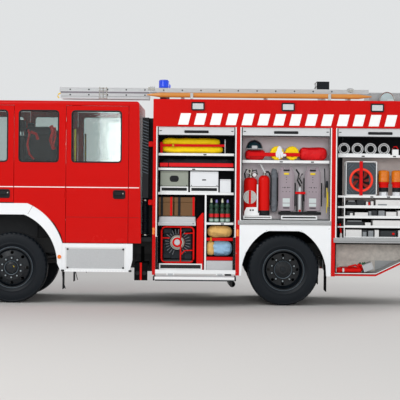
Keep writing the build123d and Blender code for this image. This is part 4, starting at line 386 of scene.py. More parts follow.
# Window rubbers. Real make: black EPDM profile pressed round each pane, with a lip over the paint and a
# wall that runs in to the glass.
def rounded(width, height, radius, steps=6):
    """The outline of a rounded rectangle about its middle, as points that run once round it."""
    arc = np.linspace(0, np.pi / 2, steps)
    corners = []
    for quarter, (sx, sz) in enumerate(((1, 1), (-1, 1), (-1, -1), (1, -1))):
        turn = arc + quarter * np.pi / 2
        corners.append(np.stack((sx * (width / 2 - radius) + radius * np.cos(turn),
                                 sz * (height / 2 - radius) + radius * np.sin(turn)), axis=1))
    return np.concatenate(corners)


def at_y(outline, y, x=0.0, z=0.0):
    """Outline points (x, z) set upright at one y, and moved along x and z."""
    outline = np.asarray(outline, float)
    return np.column_stack((x + outline[:, 0], np.full(len(outline), y), z + outline[:, 1]))


def prism(outline, y):
    """A plate seen from the side: its (x, z) outline carried from one y to another."""
    return loft([at_y(outline, end) for end in y])


def ring_band(x, z, corner, profile):
    """A band round a rounded rectangle on the side of the body: each (inset, y) of its closed profile is
    carried round the outline, inset towards its middle."""
    middle = ((x[0] + x[1]) / 2, (z[0] + z[1]) / 2)
    rows = []
    for inset, y in profile:
        outline = rounded(x[1] - x[0] - 2 * inset, z[1] - z[0] - 2 * inset, max(corner - inset, 0.004))
        rows.append(at_y(outline, y, *middle))
    return skin(np.array(rows), around=True, along=True)


CAB_SIDE = 1.150
WINDOW_Z = (2.042, 2.773)
# window: x at both ends, body that it rides on
WINDOWS = {"front": ((-3.354, -2.518), "door_front_{}"), "middle": ((-2.346, -1.785), "truck"),
           "crew": ((-1.585, -0.879), "door_crew_{}")}
window_rubber = finish("epdm_window_rubber", "#17191b", 0.55, shade=0.1, patch=0.1, grain=0.001,
                       depth=0.00005, Specular_IOR_Level=0.3)
for window_name, (window_x, rider) in WINDOWS.items():
    for side_name, side in SIDES.items():
        face = side * CAB_SIDE
        rubber_profile = [(-0.013, face), (-0.012, face + side * 0.003), (-0.004, face + side * 0.0045),
                          (0.004, face + side * 0.003), (0.008, face - side * 0.004),
                          (0.008, face - side * 0.0215), (0.0004, face - side * 0.0215), (0.0004, face)]
        piece(f"window_rubber_{window_name}_{side_name}", rider.format(side_name), window_rubber,
              [ring_band(window_x, WINDOW_Z, 0.045, rubber_profile)])


# Door furniture. Real make: a glass-filled nylon pull with its finger recess behind it, in a moulded black
# bezel, and a nickel-plated lock barrel at its rear end.
def slab(x, y, z, axis=1, corner=0.01, edge=0.002):
    """A plate with rounded corners seen along an axis, and a chamfer along both faces: four outlines, the
    outer two drawn in by the chamfer."""
    low, high = np.sort(np.array((x, y, z)), axis=1).T
    size, middle = high - low, (low + high) / 2
    first, second = [i for i in range(3) if i != axis]
    edge = min(edge, size.min() * 0.3)
    corner = min(corner, size[first] / 2 - edge * 0.5, size[second] / 2 - edge * 0.5)
    rows = []
    for inset, place in ((edge, low[axis]), (0, low[axis] + edge), (0, high[axis] - edge), (edge, high[axis])):
        outline = rounded(size[first] - 2 * inset, size[second] - 2 * inset, max(corner - inset * 0.5, 0.0005), 4)
        row = np.zeros((len(outline), 3))
        row[:, first] = middle[first] + outline[:, 0]
        row[:, second] = middle[second] + outline[:, 1]
        row[:, axis] = place
        rows.append(row)
    return loft(rows)


def out(side, near, far):
    """The two y values between two distances from the middle, on one side."""
    return (side * near, side * far)


plated = finish("nickel_plated_brass", "#c4c2bb", 0.25, metallic=1.0, shade=0.05, patch=0.05)
HANDLES = {"door_front": (-2.654, -2.474), "door_crew": (-0.991, -0.811)}
HANDLE_Z = (1.511, 1.640)
for door_name, (low_x, high_x) in HANDLES.items():
    for side_name, side in SIDES.items():
        rider = f"{door_name}_{side_name}"
        face = side * CAB_SIDE
        bezel = [(0, face), (0.001, face + side * 0.009), (0.012, face + side * 0.010), (0.020, face + side * 0.002),
                 (0.020, face)]
        dish = slab((low_x + 0.018, high_x - 0.018), out(side, CAB_SIDE, CAB_SIDE + 0.0025),
                    (HANDLE_Z[0] + 0.018, HANDLE_Z[1] - 0.018), corner=0.02, edge=0.001)
        pull = slab((low_x + 0.022, high_x - 0.048), out(side, CAB_SIDE + 0.012, CAB_SIDE + 0.030),
                    (HANDLE_Z[0] + 0.050, HANDLE_Z[1] - 0.022), corner=0.018, edge=0.006)
        post = slab((low_x + 0.026, low_x + 0.040), out(side, CAB_SIDE + 0.001, CAB_SIDE + 0.014),
                    (HANDLE_Z[0] + 0.058, HANDLE_Z[1] - 0.030), corner=0.004)
        piece(f"door_handle_{rider}", rider, black_abs,
              [ring_band((low_x, high_x), HANDLE_Z, 0.030, bezel), dish, pull, post])
        lock = turned([(0, 0.002), (0.011, 0.002), (0.011, 0.013), (0.009, 0.015), (0, 0.015)],
                      (high_x - 0.034, face, HANDLE_Z[0] + 0.078), way=side, count=24)
        piece(f"door_lock_{rider}", rider, plated, [lock])


# Side lines of the cab. Real make: a 10 mm white vinyl line along the doors, and below it the flange joint
# of the skirt panel, a 3 mm seam filled with black sealer.
white_vinyl = finish("white_vinyl_film", "#f1f1ee", 0.35, shade=0.02, patch=0.4)
joint_sealer = finish("black_joint_sealer", "#3a0d0b", 0.7, shade=0.1, patch=0.1)
# piece of the side: body, x at both ends, whether the seam crosses it
SIDE_PANELS = {"front_door": ("door_front_{}", -3.455, -2.428, False), "pillar": ("truck", -2.414, -1.680, False),
               "crew_door": ("door_crew_{}", -1.664, -0.776, True), "corner": ("truck", -0.762, -0.615, True)}
for panel_name, (rider, low_x, high_x, seam) in SIDE_PANELS.items():
    for side_name, side in SIDES.items():
        line = slab((low_x, high_x), out(side, CAB_SIDE + 0.0002, CAB_SIDE + 0.0012), (1.669, 1.681),
                    corner=0.0005, edge=0.0003)
        piece(f"side_line_{panel_name}_{side_name}", rider.format(side_name), white_vinyl, [line])
        if seam:
            groove = slab((low_x, high_x), out(side, CAB_SIDE + 0.0002, CAB_SIDE + 0.0008), (1.2435, 1.2475),
                          corner=0.0005, edge=0.0002)
            piece(f"skirt_seam_{panel_name}_{side_name}", rider.format(side_name), joint_sealer,
                  [groove])

# Step panels below the crew doors. Real make: 3 mm aluminium tread plate, stippled by shot so that boots
# grip, screwed to the white surround with black pads at its corners and a row of reflective dashes.
stippled = finish("shot_stippled_aluminium", "#c3c5c6", 0.5, metallic=0.55, shade=0.22, patch=0.012,
                  grain=0.006, depth=0.0012)
dress(stippled, "cab_steps")
STEP_X = (-1.665, -0.797)
STEP_Z = (0.490, 0.813)
for side_name, side in SIDES.items():
    trim = [(0, side * 1.211), (0.002, side * 1.2135), (0.016, side * 1.2135), (0.018, side * 1.211)]
    piece(f"step_trim_{side_name}", "truck", white_frame_paint,
          [ring_band(STEP_X, STEP_Z, 0.012, trim)])
    pads = []
    for x in (STEP_X[0] + 0.034, STEP_X[1] - 0.034):
        for z in (STEP_Z[0] + 0.030, STEP_Z[1] - 0.026):
            pads.append(slab((x - 0.013, x + 0.013), out(side, 1.2103, 1.216), (z - 0.013, z + 0.013), corner=0.006))
            pads.append(turned(SCREW, (x, side * 1.216, z), way=side, count=10))
    for x in (-1.700, -0.730):
        pads.append(slab((x - 0.022, x + 0.022), out(side, 1.2252, 1.236), (0.464, 0.492), corner=0.008))
    piece(f"step_pads_{side_name}", "truck", black_abs, pads)
    dashes = [slab((x, x + 0.026), out(side, 1.2252, 1.2262), (0.470, 0.481), corner=0.002, edge=0.0003)
              for x in np.arange(-1.655, -0.82, 0.043)]
    piece(f"step_dashes_{side_name}", "truck", white_vinyl, dashes)
    seam_low, seam_high = np.array((-2.205, 1.285)), np.array((-2.125, 1.428))
    along = (seam_high - seam_low) / np.linalg.norm(seam_high - seam_low)
    edge_way = np.array((-along[1], along[0])) * 0.0018
    seam = [seam_low - edge_way, seam_low + edge_way, seam_high + edge_way, seam_high - edge_way]
    piece(f"wing_seam_{side_name}", "truck", joint_sealer, [prism(seam, out(side, 1.2252, 1.2258))])

# Foot straps behind the front wheels. Real thing: short strips of black reinforced rubber on clamps, which
# keep road water off the step.
for side_name, side in SIDES.items():
    straps = []
    for x, low, lean in ((-1.705, 0.215, 0.045), (-1.535, 0.330, 0.010)):
        height = np.linspace(0.470, low, 12)
        bow = x + lean * ((0.470 - height) / (0.470 - low)) ** 2
        rows = [np.array([(b - 0.004, side * 1.16, z), (b + 0.004, side * 1.16, z), (b + 0.004, side * 1.215, z),
                          (b - 0.004, side * 1.215, z)]) for b, z in zip(bow, height)]
        straps.append(loft(rows))
    piece(f"foot_straps_{side_name}", "truck", rubber, straps)

# Space behind the cab. A black sheet over the body's front face is painted shade for the gap behind the cab;
# the engine breathes through a louvred duct of black ABS and a corrugated rubber hose held by two steel bands.
piece("bulkhead_painted_shade", "truck", black_abs, [
    slab((-0.4175, -0.4153), y, z, axis=0, corner=0.004, edge=0.0005)
    for y, z in [((-1.189, 1.189), (0.995, 2.78))] + [(out(s, 0.595, 1.189), (0.455, 0.990)) for s in SIDES.values()]])
HOSE_AXIS = (-0.528, -0.985, 0)
HOSE_Z = np.linspace(0.965, 1.525, 90)


def sleeve(inner, outer, low, high, centre, **settings):
    """A straight round wall between two radii and two distances along its axis."""
    return turned([(inner, low), (outer, low), (outer, high), (inner, high)], centre, closed=True, **settings)


ridges = [(0.047 + 0.006 * np.cos(z * 2 * np.pi / 0.031), z) for z in HOSE_Z]
bands = [sleeve(0.0535, 0.0555, z - 0.010, z + 0.010, HOSE_AXIS, axis=2) for z in (0.995, 1.495)]
piece("intake_hose", "truck", rubber,
      [turned([(0.043, HOSE_Z[0])] + ridges + [(0.043, HOSE_Z[-1])], HOSE_AXIS, axis=2, count=36, closed=True)])
piece("hose_bands", "truck", plated, bands)


def blade(x, z, y, thick, lean):
    """A louvre blade seen from the side: a thin slanted bar with a rounded outer edge, its x ends leaning
    down to the rear by lean."""
    steps = np.linspace(-np.pi / 2, np.pi / 2, 5)
    outline = [(y[0] - thick / 2 * np.cos(a), thick / 2 * np.sin(a)) for a in steps]
    outline += [(y[1], thick / 2), (y[1], -thick / 2)]
    rows = [[(end, v, z + w + shift) for v, w in outline] for end, shift in ((x[0], lean), (x[1], -lean))]
    return loft(rows)


piece("intake_louvres", "truck", finish("dusty_abs_louvres", "#59636b", 0.5, shade=0.1, patch=0.1),
      [blade((-0.570, -0.486), 2.6285 - step * 0.043, (-1.116, -1.092), 0.010, 0.015) for step in range(18)])

# Brackets between the body's front post and the duct. Real make: bent from 3 mm steel sheet and painted red
# with the body.
piece("duct_brackets", "truck", red_paint,
      [slab((-0.482, -0.4175), (-1.120, -1.105), (z, z + 0.075), corner=0.008) for z in (1.43, 2.27)])

# Wheel chocks on the left. Real make: black-coated steel plates with a hooped lifting hole before a black
# back plate, held by a red spring bar.
kit_red = finish("red_powder_coat", "#cf100a", 0.38, shade=0.08, patch=0.1, grain=0.001, depth=0.00005,
                 Specular_IOR_Level=0.15)
CHOCK_X = (-0.627, -0.527)
hoops = [sleeve(0.027, 0.031, -0.0155, 0.0155, (x, -1.175, 0.450), count=32) for x in CHOCK_X]
piece("chock_hoops", "truck", oily_steel, hoops)
piece("chock_bar", "truck", kit_red,
      [slab((-0.591, -0.563), (-1.202, -1.190), (0.350, 0.600), corner=0.005),
       slab((-0.592, -0.562), (-1.205, -1.160), (0.585, 0.600), corner=0.004)])
piece("chock_backs", "truck", black_abs,
      [slab((x - 0.040, x + 0.040), (-1.1595, -1.1570), (0.400, 0.500), corner=0.01) for x in CHOCK_X])

# Screens beside the frame behind the cab. Real make: rubber sheet on a steel strip, which closes the view
# through the gap and keeps spray off the gearbox.
piece("gap_screens", "truck", black_abs,
      [slab((-0.690, -0.425), out(side, 0.3915, 0.3945), (0.440, 0.950), corner=0.01) for side in SIDES.values()])

# Locker frames. Real make: extruded aluminium guides in white powder coat, with a black brush seal in each
# groove, and a black rubber strip on the foot of the front locker's guides.
# locker: x between the posts, foot of the shutter, sill top
LOCKERS = {"front": (-0.370, 0.782, 0.505), "middle": (0.836, 2.150, 1.225), "rear": (2.208, 3.480, 0.986)}
OPENING_TOP = 2.560
SHUTTER_LOW = 2.443
brush_seal = finish("black_brush_seal", "#121416", 0.9, shade=0.3, patch=0.01, grain=0.0012, depth=0.0012)
for side_name, side in SIDES.items():
    seals = []
    for locker_name, (low_x, high_x, foot) in LOCKERS.items():
        for x, way in ((low_x, 1), (high_x, -1)):
            strip = (x + way * 0.0175, x + way * 0.0325)
            seals.append(slab(strip, out(side, 1.2472, 1.2490), (max(foot, 0.976) + 0.004, OPENING_TOP - 0.003),
                              corner=0.001, edge=0.0005))
            if locker_name == "front":
                seals.append(slab((x + way * 0.001, x + way * 0.0325), out(side, 1.2472, 1.2492),
                                  (foot + 0.002, 0.976), corner=0.001, edge=0.0005))
    piece(f"guide_seals_{side_name}", "truck", brush_seal, seals)

# Shutter end slats. Real make: hollow extruded slats of anodised aluminium; the end slat carries a black
# nylon lift bar in a long recess, with a latch tongue at its middle.
for side_name, side in SIDES.items():
    bars, plates = [], []
    for locker_name, (low_x, high_x, foot) in LOCKERS.items():
        middle_x = (low_x + high_x) / 2
        low = SHUTTER_LOW if side < 0 else max(foot, 0.986) + 0.006
        bar_z = (low + 0.026, low + 0.064)
        bars.append(slab((middle_x - 0.174, middle_x + 0.174), out(side, 1.214, 1.2275), bar_z, corner=0.012,
                         edge=0.004))
        bars.append(slab((middle_x - 0.030, middle_x + 0.030), out(side, 1.2275, 1.232),
                         (bar_z[0] + 0.007, bar_z[1] - 0.007), corner=0.006))
        for x in (low_x + 0.062, high_x - 0.062):
            plates.append(slab((x - 0.016, x + 0.016), out(side, 1.2252, 1.2275), (low + 0.050, low + 0.062),
                               corner=0.002, edge=0.0005))
        if side < 0:
            bars.append(slab((low_x + 0.034, high_x - 0.034), out(side, 1.207, 1.2235), (low - 0.014, low - 0.0005),
                             corner=0.003))
    piece(f"shutter_bars_{side_name}", "truck", black_abs, bars)
    piece(f"shutter_plates_{side_name}", "truck", oily_steel, plates)
slat_white = finish("silver_anodised_slat", "#d3d5d6", 0.35, metallic=0.35, shade=0.04, patch=0.3,
                    grain=0.0015, depth=0.00005, stretch=(0.1, 1, 1))
dress(slat_white, "shutters")

# Work lights along the fascia. Real make: a halogen flood behind ribbed glass in a black die-cast frame,
# under a red pressed hood.
WORK_LIGHTS_X = (0.224, 1.516, 2.793)
LIGHT_Z = (2.800, 2.904)
for side_name, side in SIDES.items():
    frames, hoods, ribs = [], [], []
    for x in WORK_LIGHTS_X:
        span = (x - 0.088, x + 0.088)
        frames.append(ring_band(span, LIGHT_Z, 0.016, [(-0.008, side * 1.2503), (-0.008, side * 1.276),
                                                       (-0.004, side * 1.281), (0.008, side * 1.281),
                                                       (0.012, side * 1.2766), (0.0005, side * 1.2766),
                                                       (0.0005, side * 1.2503)]))
        hoods.append(slab((x - 0.100, x + 0.100), out(side, 1.2503, 1.292), (2.9125, 2.918), corner=0.008))
        for z in np.arange(LIGHT_Z[0] + 0.024, LIGHT_Z[1] - 0.02, 0.009):
            ribs.append(slab((x - 0.070, x + 0.070), out(side, 1.2763, 1.2785), (z, z + 0.004), corner=0.002,
                             edge=0.001))
    piece(f"work_light_frames_{side_name}", "truck", black_abs, frames)
    piece(f"work_light_hoods_{side_name}", "truck", red_paint, hoods)
    piece(f"work_light_ribs_{side_name}", "truck", clear_lens, ribs)

# Step flap under the front locker. Real make: an extruded aluminium plank with a ribbed tread on top, a
# white powder-coated nose, black end caps and a dark steel rail screwed under its outer edge.
FLAP_LENGTH = (-0.375, 0.774)
for side_name, side in SIDES.items():
    rider = f"flap_{side_name}"
    ribs = [slab((FLAP_LENGTH[0] + 0.03, FLAP_LENGTH[1] - 0.03), out(side, y, y + 0.006), (0.4278, 0.4305),
                 axis=2, corner=0.002, edge=0.001) for y in np.arange(1.40, 1.745, 0.016)]
    piece(f"flap_tread_{side_name}", rider, anodised, ribs)
    nose = [slab((FLAP_LENGTH[0] + 0.002, FLAP_LENGTH[1] - 0.002), out(side, 1.7752, 1.782), (0.396, 0.430),
                 corner=0.003)]
    piece(f"flap_nose_{side_name}", rider, white_frame_paint, nose)
    caps = [slab((x - 0.012, x + 0.012), out(side, 1.262, 1.784), (0.3765, 0.4315), axis=0, corner=0.006)
            for x in (FLAP_LENGTH[0] + 0.002, FLAP_LENGTH[1] - 0.002)]
    piece(f"flap_caps_{side_name}", rider, black_abs, caps)
    piece(f"flap_rail_{side_name}", rider, oily_steel,
          [slab((FLAP_LENGTH[0] + 0.02, FLAP_LENGTH[1] - 0.02), out(side, 1.762, 1.778), (0.3735, 0.3885),
                corner=0.004)])

# Locker linings and shelf fronts. The near-black linings in the front locker and at the rear one's edges
# are painted shade for the depth of the lockers; the walls are pale grey in the middle one and worn grey behind
# the rear trays. Each shelf has a folded white front edge, some with a black nylon latch.
# Near-black lining: painted shade.
shade_lining = finish("painted_shade_lining_coat", "#17181b", 0.75, shade=0.25, patch=0.2, grain=0.003, depth=0.0003,
                     Specular_IOR_Level=0.3)
pale_lining = finish("pale_grey_textured_coat", "#e6dfe3", 0.7, shade=0.12, patch=0.25, grain=0.003, depth=0.0003)
WALL_Y = (0.6212, 0.6225)
# lining: locker side, x at both ends, z at both ends, its coat
LININGS = {"front_back": ((-0.383, 0.780), (1.190, 2.560), shade_lining),
           "front_low": ((-0.383, 0.780), (0.478, 1.188), shade_lining),
           "middle_back": ((0.815, 2.148), (1.240, 2.560), pale_lining),
           "rear_back": ((2.183, 2.352), (0.955, 2.560), shade_lining),
           "rear_top": ((2.354, 3.478), (2.182, 2.560), shade_lining),
           "rear_middle": ((2.354, 3.478), (0.955, 2.143), finish("worn_grey_coat", "#c9bfbb", 0.7, shade=0.25,
                                                                   patch=0.15, grain=0.003, depth=0.0004))}
for lining_name, (low_high_x, low_high_z, coat) in LININGS.items():
    for side_name, side in SIDES.items():
        piece(f"lining_{lining_name}_{side_name}", "truck", coat,
              [slab(low_high_x, out(side, *WALL_Y), low_high_z, corner=0.001, edge=0.0004)])
# shelf front: x at both ends, z at both ends, x of the latches
SHELF_FRONTS = [((-0.383, 0.780), (2.147, 2.180), (0.330,)), ((-0.383, 0.780), (1.936, 1.968), (0.170,)),
                ((-0.383, 0.780), (1.584, 1.618), ()), ((0.360, 0.780), (1.155, 1.184), (0.590,)),
                ((0.815, 2.148), (2.052, 2.090), (1.430, 1.880)), ((2.183, 3.478), (2.145, 2.180), (2.610, 3.060)),
                ((2.354, 3.478), (1.564, 1.592), (2.740, 2.980)), ((2.354, 3.478), (1.414, 1.438), ()),
                ((2.354, 3.478), (1.266, 1.289), ()), ((2.354, 3.478), (1.130, 1.148), ())]
edges = [slab(x, (-1.1235, -1.1202), (z[0] - 0.001, z[1] + 0.001), corner=0.002, edge=0.0008)
         for x, z, latches in SHELF_FRONTS]
edges.append(slab((0.334, 0.359), (-1.1235, -1.1202), (0.480, 1.582), corner=0.002, edge=0.0008))
piece("shelf_fronts", "truck", white_frame_paint, edges)
latches = [slab((x - 0.022, x + 0.022), (-1.1285, -1.1237), (np.mean(z) - 0.010, np.mean(z) + 0.006), corner=0.004)
           for _, z, row in SHELF_FRONTS for x in row]
piece("shelf_latches", "truck", black_abs, latches)

# Front locker, upper boxes. Real make: pressed and painted sheet-steel cases on pull-out white trays; each
# tray front has a long black grip slot, and the green-grey case a black oval carrying recess.
grey_green = finish("grey_green_case_paint", "#8d9286", 0.5, shade=0.08, patch=0.1, grain=0.002, depth=0.0001)
white_case = finish("white_case_enamel", "#dcdee0", 0.4, shade=0.04, patch=0.12, grain=0.002, depth=0.0001)


def grip_front(x, z, front=1.1145):
    """A white tray front with a long dark grip slot sunk in its middle, as a frame band and a dark floor."""
    depth = (-front, -front + 0.0085)
    band = [(0, depth[1]), (0, depth[0] + 0.001), (0.001, depth[0]), (0.016, depth[0]), (0.019, depth[0] + 0.006),
            (0.019, depth[1])]
    floor = slab((x[0] + 0.017, x[1] - 0.017), (depth[0] + 0.006, depth[1] - 0.0005), (z[0] + 0.017, z[1] - 0.017),
                 corner=0.004, edge=0.0005)
    return ring_band(x, z, 0.004, band), floor


# case: x, z of the box, z of the tray front or nothing, paint
CASES = {"grey_green_case": ((-0.310, 0.092), (1.706, 1.919), (1.620, 1.700), grey_green),
         "white_case": ((0.120, 0.527), (1.706, 1.919), (1.620, 1.700), white_case),
         "small_white_case": ((0.550, 0.708), (1.620, 1.809), None, white_case)}
grips, grip_floors, clasps = [], [], []
for case_name, (x, z, tray_z, paint) in CASES.items():
    lid = z[1] - 0.018
    shapes = [slab(x, (-1.099, -0.702), (z[0], lid - 0.0015), corner=0.006, edge=0.004),
              slab(x, (-1.100, -0.701), (lid, z[1]), corner=0.005, edge=0.004)]
    box_piece = piece(case_name, "truck", paint, shapes)
    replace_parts(box_piece, "kit_cases")
    if tray_z:
        frame_shape, floor_shape = grip_front(x, tray_z)
        grips += [frame_shape, slab(x, (-1.1055, -0.702), (tray_z[0], tray_z[0] + 0.004), axis=2, corner=0.003),
                  slab((x[0], x[0] + 0.003), (-1.1055, -0.702), tray_z, axis=0, corner=0.003),
                  slab((x[1] - 0.003, x[1]), (-1.1055, -0.702), tray_z, axis=0, corner=0.003)]
        grip_floors.append(floor_shape)
        clasps += [slab((cx - 0.006, cx + 0.006), (-1.1035, -1.0995), (z[0] + 0.006, z[0] + 0.018), corner=0.003)
                   for cx in (x[0] + 0.02, x[1] - 0.02)]
        clasps.append(slab((np.mean(x) - 0.008, np.mean(x) + 0.008), (-1.1125, -1.1085),
                           (tray_z[0] + 0.03, tray_z[1] - 0.03), corner=0.002))
piece("case_trays", "truck", white_frame_paint, grips)
piece("case_tray_slots", "truck", black_abs, grip_floors)
piece("case_clasps", "truck", oily_steel, clasps)
recess = [(0, -1.0995), (0, -1.1030), (0.004, -1.1042), (0.009, -1.1030), (0.010, -1.0995)]
piece("case_recess", "truck", black_abs,
      [ring_band((-0.175, -0.045), (1.766, 1.857), 0.040, recess),
       slab((-0.168, -0.052), (-1.1012, -1.0995), (1.773, 1.850), corner=0.036, edge=0.0005),
       slab((-0.150, -0.070), (-1.1100, -1.1020), (1.802, 1.820), corner=0.008, edge=0.003),
       slab((0.292, 0.350), (-1.1008, -1.0992), (1.790, 1.806), corner=0.003, edge=0.0005)])

# Front locker, drawer side. Real make: two brown fibreboard boxes under webbing straps on a light-grey lidded
# tray; a tall red board stands beside them, and a white drawer with a long dark slot runs below.
fibreboard = finish("brown_fibreboard", "#6a4c2e", 0.75, shade=0.15, patch=0.08, grain=0.002, depth=0.0003)
light_grey = finish("light_grey_abs", "#b9babb", 0.45, shade=0.06, patch=0.2, grain=0.0015, depth=0.0001)
red_webbing = finish("red_nylon_webbing", "#c90b0e", 0.7, shade=0.1, patch=0.06, grain=0.0015, depth=0.0004,
                     Specular_IOR_Level=0.2)
black_webbing = finish("black_nylon_webbing", "#111214", 0.8, shade=0.15, patch=0.06, grain=0.0015, depth=0.0004)
boxes = []
for x in ((-0.330, -0.120), (-0.105, 0.190)):
    boxes += [slab(x, (-1.098, -0.702), (1.276, 1.470), corner=0.006, edge=0.005),
              slab((x[0] - 0.002, x[1] + 0.002), (-1.100, -0.700), (1.4715, 1.544), corner=0.006, edge=0.006)]
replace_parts(piece("brown_boxes", "truck", fibreboard, boxes), "kit_cases")
lid_rows = []
for z, inset in ((1.181, 0.0), (1.205, 0.0), (1.207, 0.004), (1.250, 0.004), (1.263, 0.010), (1.2745, 0.05)):
    outline = rounded(0.537 - 2 * inset, 0.40 - 2 * inset, 0.02) + (-0.0615, -0.900)
    lid_rows.append(np.column_stack((outline, np.full(len(outline), z))))
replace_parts(piece("grey_lidded_tray", "truck", light_grey, [loft(lid_rows)]), "kit_cases")
piece("grey_tray_front", "truck", light_grey,
      [slab((-0.338, 0.199), (-1.126, -1.121), (1.138, 1.178), corner=0.004, edge=0.0015)])
piece("grey_tray_button", "truck", black_abs,
      [slab((0.160, 0.176), (-1.1285, -1.1262), (1.158, 1.172), corner=0.006, edge=0.001)])


def strap_round(x, z, width, y=(-1.1015, -0.699), thick=0.0022):
    """A strap laid over the front and top of a box: a flat band in the plane across it, carried over x."""
    outside = [(y[0] - thick, z[0]), (y[0] - thick, z[1] + thick), (y[1] + thick, z[1] + thick), (y[1] + thick, z[0])]
    inside = [(y[1], z[0]), (y[1], z[1]), (y[0], z[1]), (y[0], z[0])]
    ring = np.array(outside + inside)
    rows = np.array([np.column_stack((np.full(len(ring), end), ring)) for end in (x - width / 2, x + width / 2)])
    points, faces = skin(rows, around=True)
    count = len(ring)
    strips = [[0, 1, 6, 7], [1, 2, 5, 6], [2, 3, 4, 5]]
    return points, faces + strips + [[corner + count for corner in strip] for strip in strips]


piece("box_straps_black", "truck", black_webbing,
      [strap_round(x, (1.277, 1.5455), 0.036) for x in (-0.285, -0.034)])
piece("box_straps_red", "truck", red_webbing,
      [strap_round(x, (1.277, 1.5455), 0.030) for x in (-0.150, 0.172)])
board = [np.array([(0.219, y, 0.476), (0.321, y, 0.476), (0.321, y, 1.318), (0.300, y, 1.321), (0.219, y, 1.225)])
         for y in (-1.099, -1.094, -0.708, -0.702)]
for row, inset in zip(board, (0.004, 0, 0, 0.004)):
    middle = row.mean(axis=0)
    row[:, 0] += np.sign(middle[0] - row[:, 0]) * inset
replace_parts(piece("red_board", "truck", kit_red, [
    loft(board), slab((0.232, 0.246), (-1.1025, -1.0995), (0.500, 1.18), corner=0.003)]), "kit_cases")
drawer_frame, drawer_slot = grip_front((-0.318, 0.302), (0.500, 0.589), front=1.1305)
piece("drawer_front", "truck", white_frame_paint, [drawer_frame])
piece("drawer_slot", "truck", black_abs,
      [drawer_slot, slab((-0.020, 0.000), (-1.1275, -1.1235), (0.530, 0.560), corner=0.003)])

# Generator. Real make: an engine and alternator of cast aluminium, painted black, in a red frame of bent
# 30 mm tube; the recoil starter has a pale knob in a red cap and a bright ring, with cooling fins round it.
def tube(path, radius, count=10, closed=False):
    """A round tube along straight runs: at each point a circle stands across the mean of the two runs."""
    path = np.array(path, float)
    runs = np.roll(path, -1, axis=0) - path
    if not closed:
        runs[-1] = runs[-2]
    before = np.roll(runs, 1, axis=0)
    if not closed:
        before[0] = runs[0]
    way = runs / np.linalg.norm(runs, axis=1)[:, None] + before / np.linalg.norm(before, axis=1)[:, None]
    way /= np.linalg.norm(way, axis=1)[:, None]
    seed = np.where(np.abs(way[:, 2:]) > 0.9, (1.0, 0.0, 0.0), (0.0, 0.0, 1.0))
    first = np.cross(way, seed)
    first /= np.linalg.norm(first, axis=1)[:, None]
    second = np.cross(way, first)
    angle = np.linspace(0, 2 * np.pi, count, endpoint=False)[None, :, None]
    rows = path[:, None] + radius * (np.cos(angle) * first[:, None] + np.sin(angle) * second[:, None])
    return skin(rows, around=True, along=True) if closed else loft(rows)


def hoop(x, z, y, inset, corner, radius, steps=6, count=10):
    """A tube frame round a rectangle seen from the side, its middle line inset from both spans."""
    outline = rounded(x[1] - x[0] - 2 * inset, z[1] - z[0] - 2 * inset, corner, steps)
    return tube(at_y(outline, y, np.mean(x), np.mean(z)), radius, count, closed=True)


GENERATOR_X = (-0.300, 0.192)
GENERATOR_Z = (0.589, 1.130)
STARTER = (-0.059, 0.893)
tubes = [hoop(GENERATOR_X, GENERATOR_Z, y, 0.014, 0.060, 0.0135) for y in (-1.080, -0.740)]
for x in (GENERATOR_X[0] + 0.014, GENERATOR_X[1] - 0.014):
    for z in (0.700, 1.000):
        tubes.append(tube([(x, -1.070, z), (x, -0.750, z)], 0.011))
tubes += [tube([(-0.010, -1.081, 0.600), (-0.010, -1.081, 1.120)], 0.011),
          tube([(-0.290, -1.081, 0.955), (-0.170, -1.081, 0.955)], 0.009),
          tube([(0.040, -1.081, 1.020), (0.180, -1.081, 1.030)], 0.009),
          tube([(0.000, -1.081, 0.720), (0.050, -1.081, 0.775), (0.180, -1.081, 0.780)], 0.009)]
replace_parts(piece("generator_frame", "truck", kit_red, tubes, smooth=50), "kit_machines")
starter_seat = (STARTER[0], -1.050, STARTER[1])
piece("generator_ring", "truck", plated,
      [turned([(0.072, 0.000), (0.113, 0.000), (0.115, 0.012), (0.104, 0.026), (0.092, 0.018), (0.086, 0.028),
               (0.072, 0.030)], starter_seat, way=-1, count=48, closed=True)])
piece("generator_cap", "truck", kit_red,
      [turned([(0.044, 0.002), (0.071, 0.002), (0.071, 0.026), (0.062, 0.034), (0.050, 0.035), (0.044, 0.030)],
              starter_seat, way=-1, count=40, closed=True)])
piece("generator_knob", "truck", light_grey,
      [turned([(0, 0.002), (0.0435, 0.002), (0.0435, 0.030), (0.038, 0.034), (0.018, 0.036), (0, 0.036)],
              starter_seat, way=-1, count=32)])
fins = []
for turn in np.arange(-66, 250, 15.0):
    c, s = np.cos(np.radians(turn)), np.sin(np.radians(turn))
    corners = np.array([(0.120, -0.004), (0.190, -0.0065), (0.190, 0.0065), (0.120, 0.004)])
    flat = np.column_stack((corners[:, 0] * c - corners[:, 1] * s, corners[:, 0] * s + corners[:, 1] * c))
    fins.append(prism(flat + STARTER, (-1.030, -1.056)))
silver_fins = finish("cast_aluminium_fins", "#6b6e72", 0.45, metallic=0.6, shade=0.12, patch=0.05)
piece("generator_fins", "truck", silver_fins, fins)
engine = [slab((-0.272, 0.164), (-1.030, -0.735), (0.640, 1.040), corner=0.04, edge=0.02),
          slab((-0.262, -0.130), (-1.062, -1.028), (1.015, 1.095), corner=0.02, edge=0.008),
          slab((0.010, 0.150), (-1.060, -1.028), (1.045, 1.098), corner=0.02, edge=0.008),
          slab((-0.262, -0.150), (-1.058, -1.028), (0.660, 0.740), corner=0.015, edge=0.006),
          slab((0.040, 0.155), (-1.058, -1.028), (0.650, 0.730), corner=0.015, edge=0.006)]
piece("generator_engine", "truck", oily_steel, engine)
lead = [(-0.258, -1.045, 1.030), (-0.225, -1.062, 0.985), (-0.248, -1.062, 0.900), (-0.215, -1.058, 0.800)]
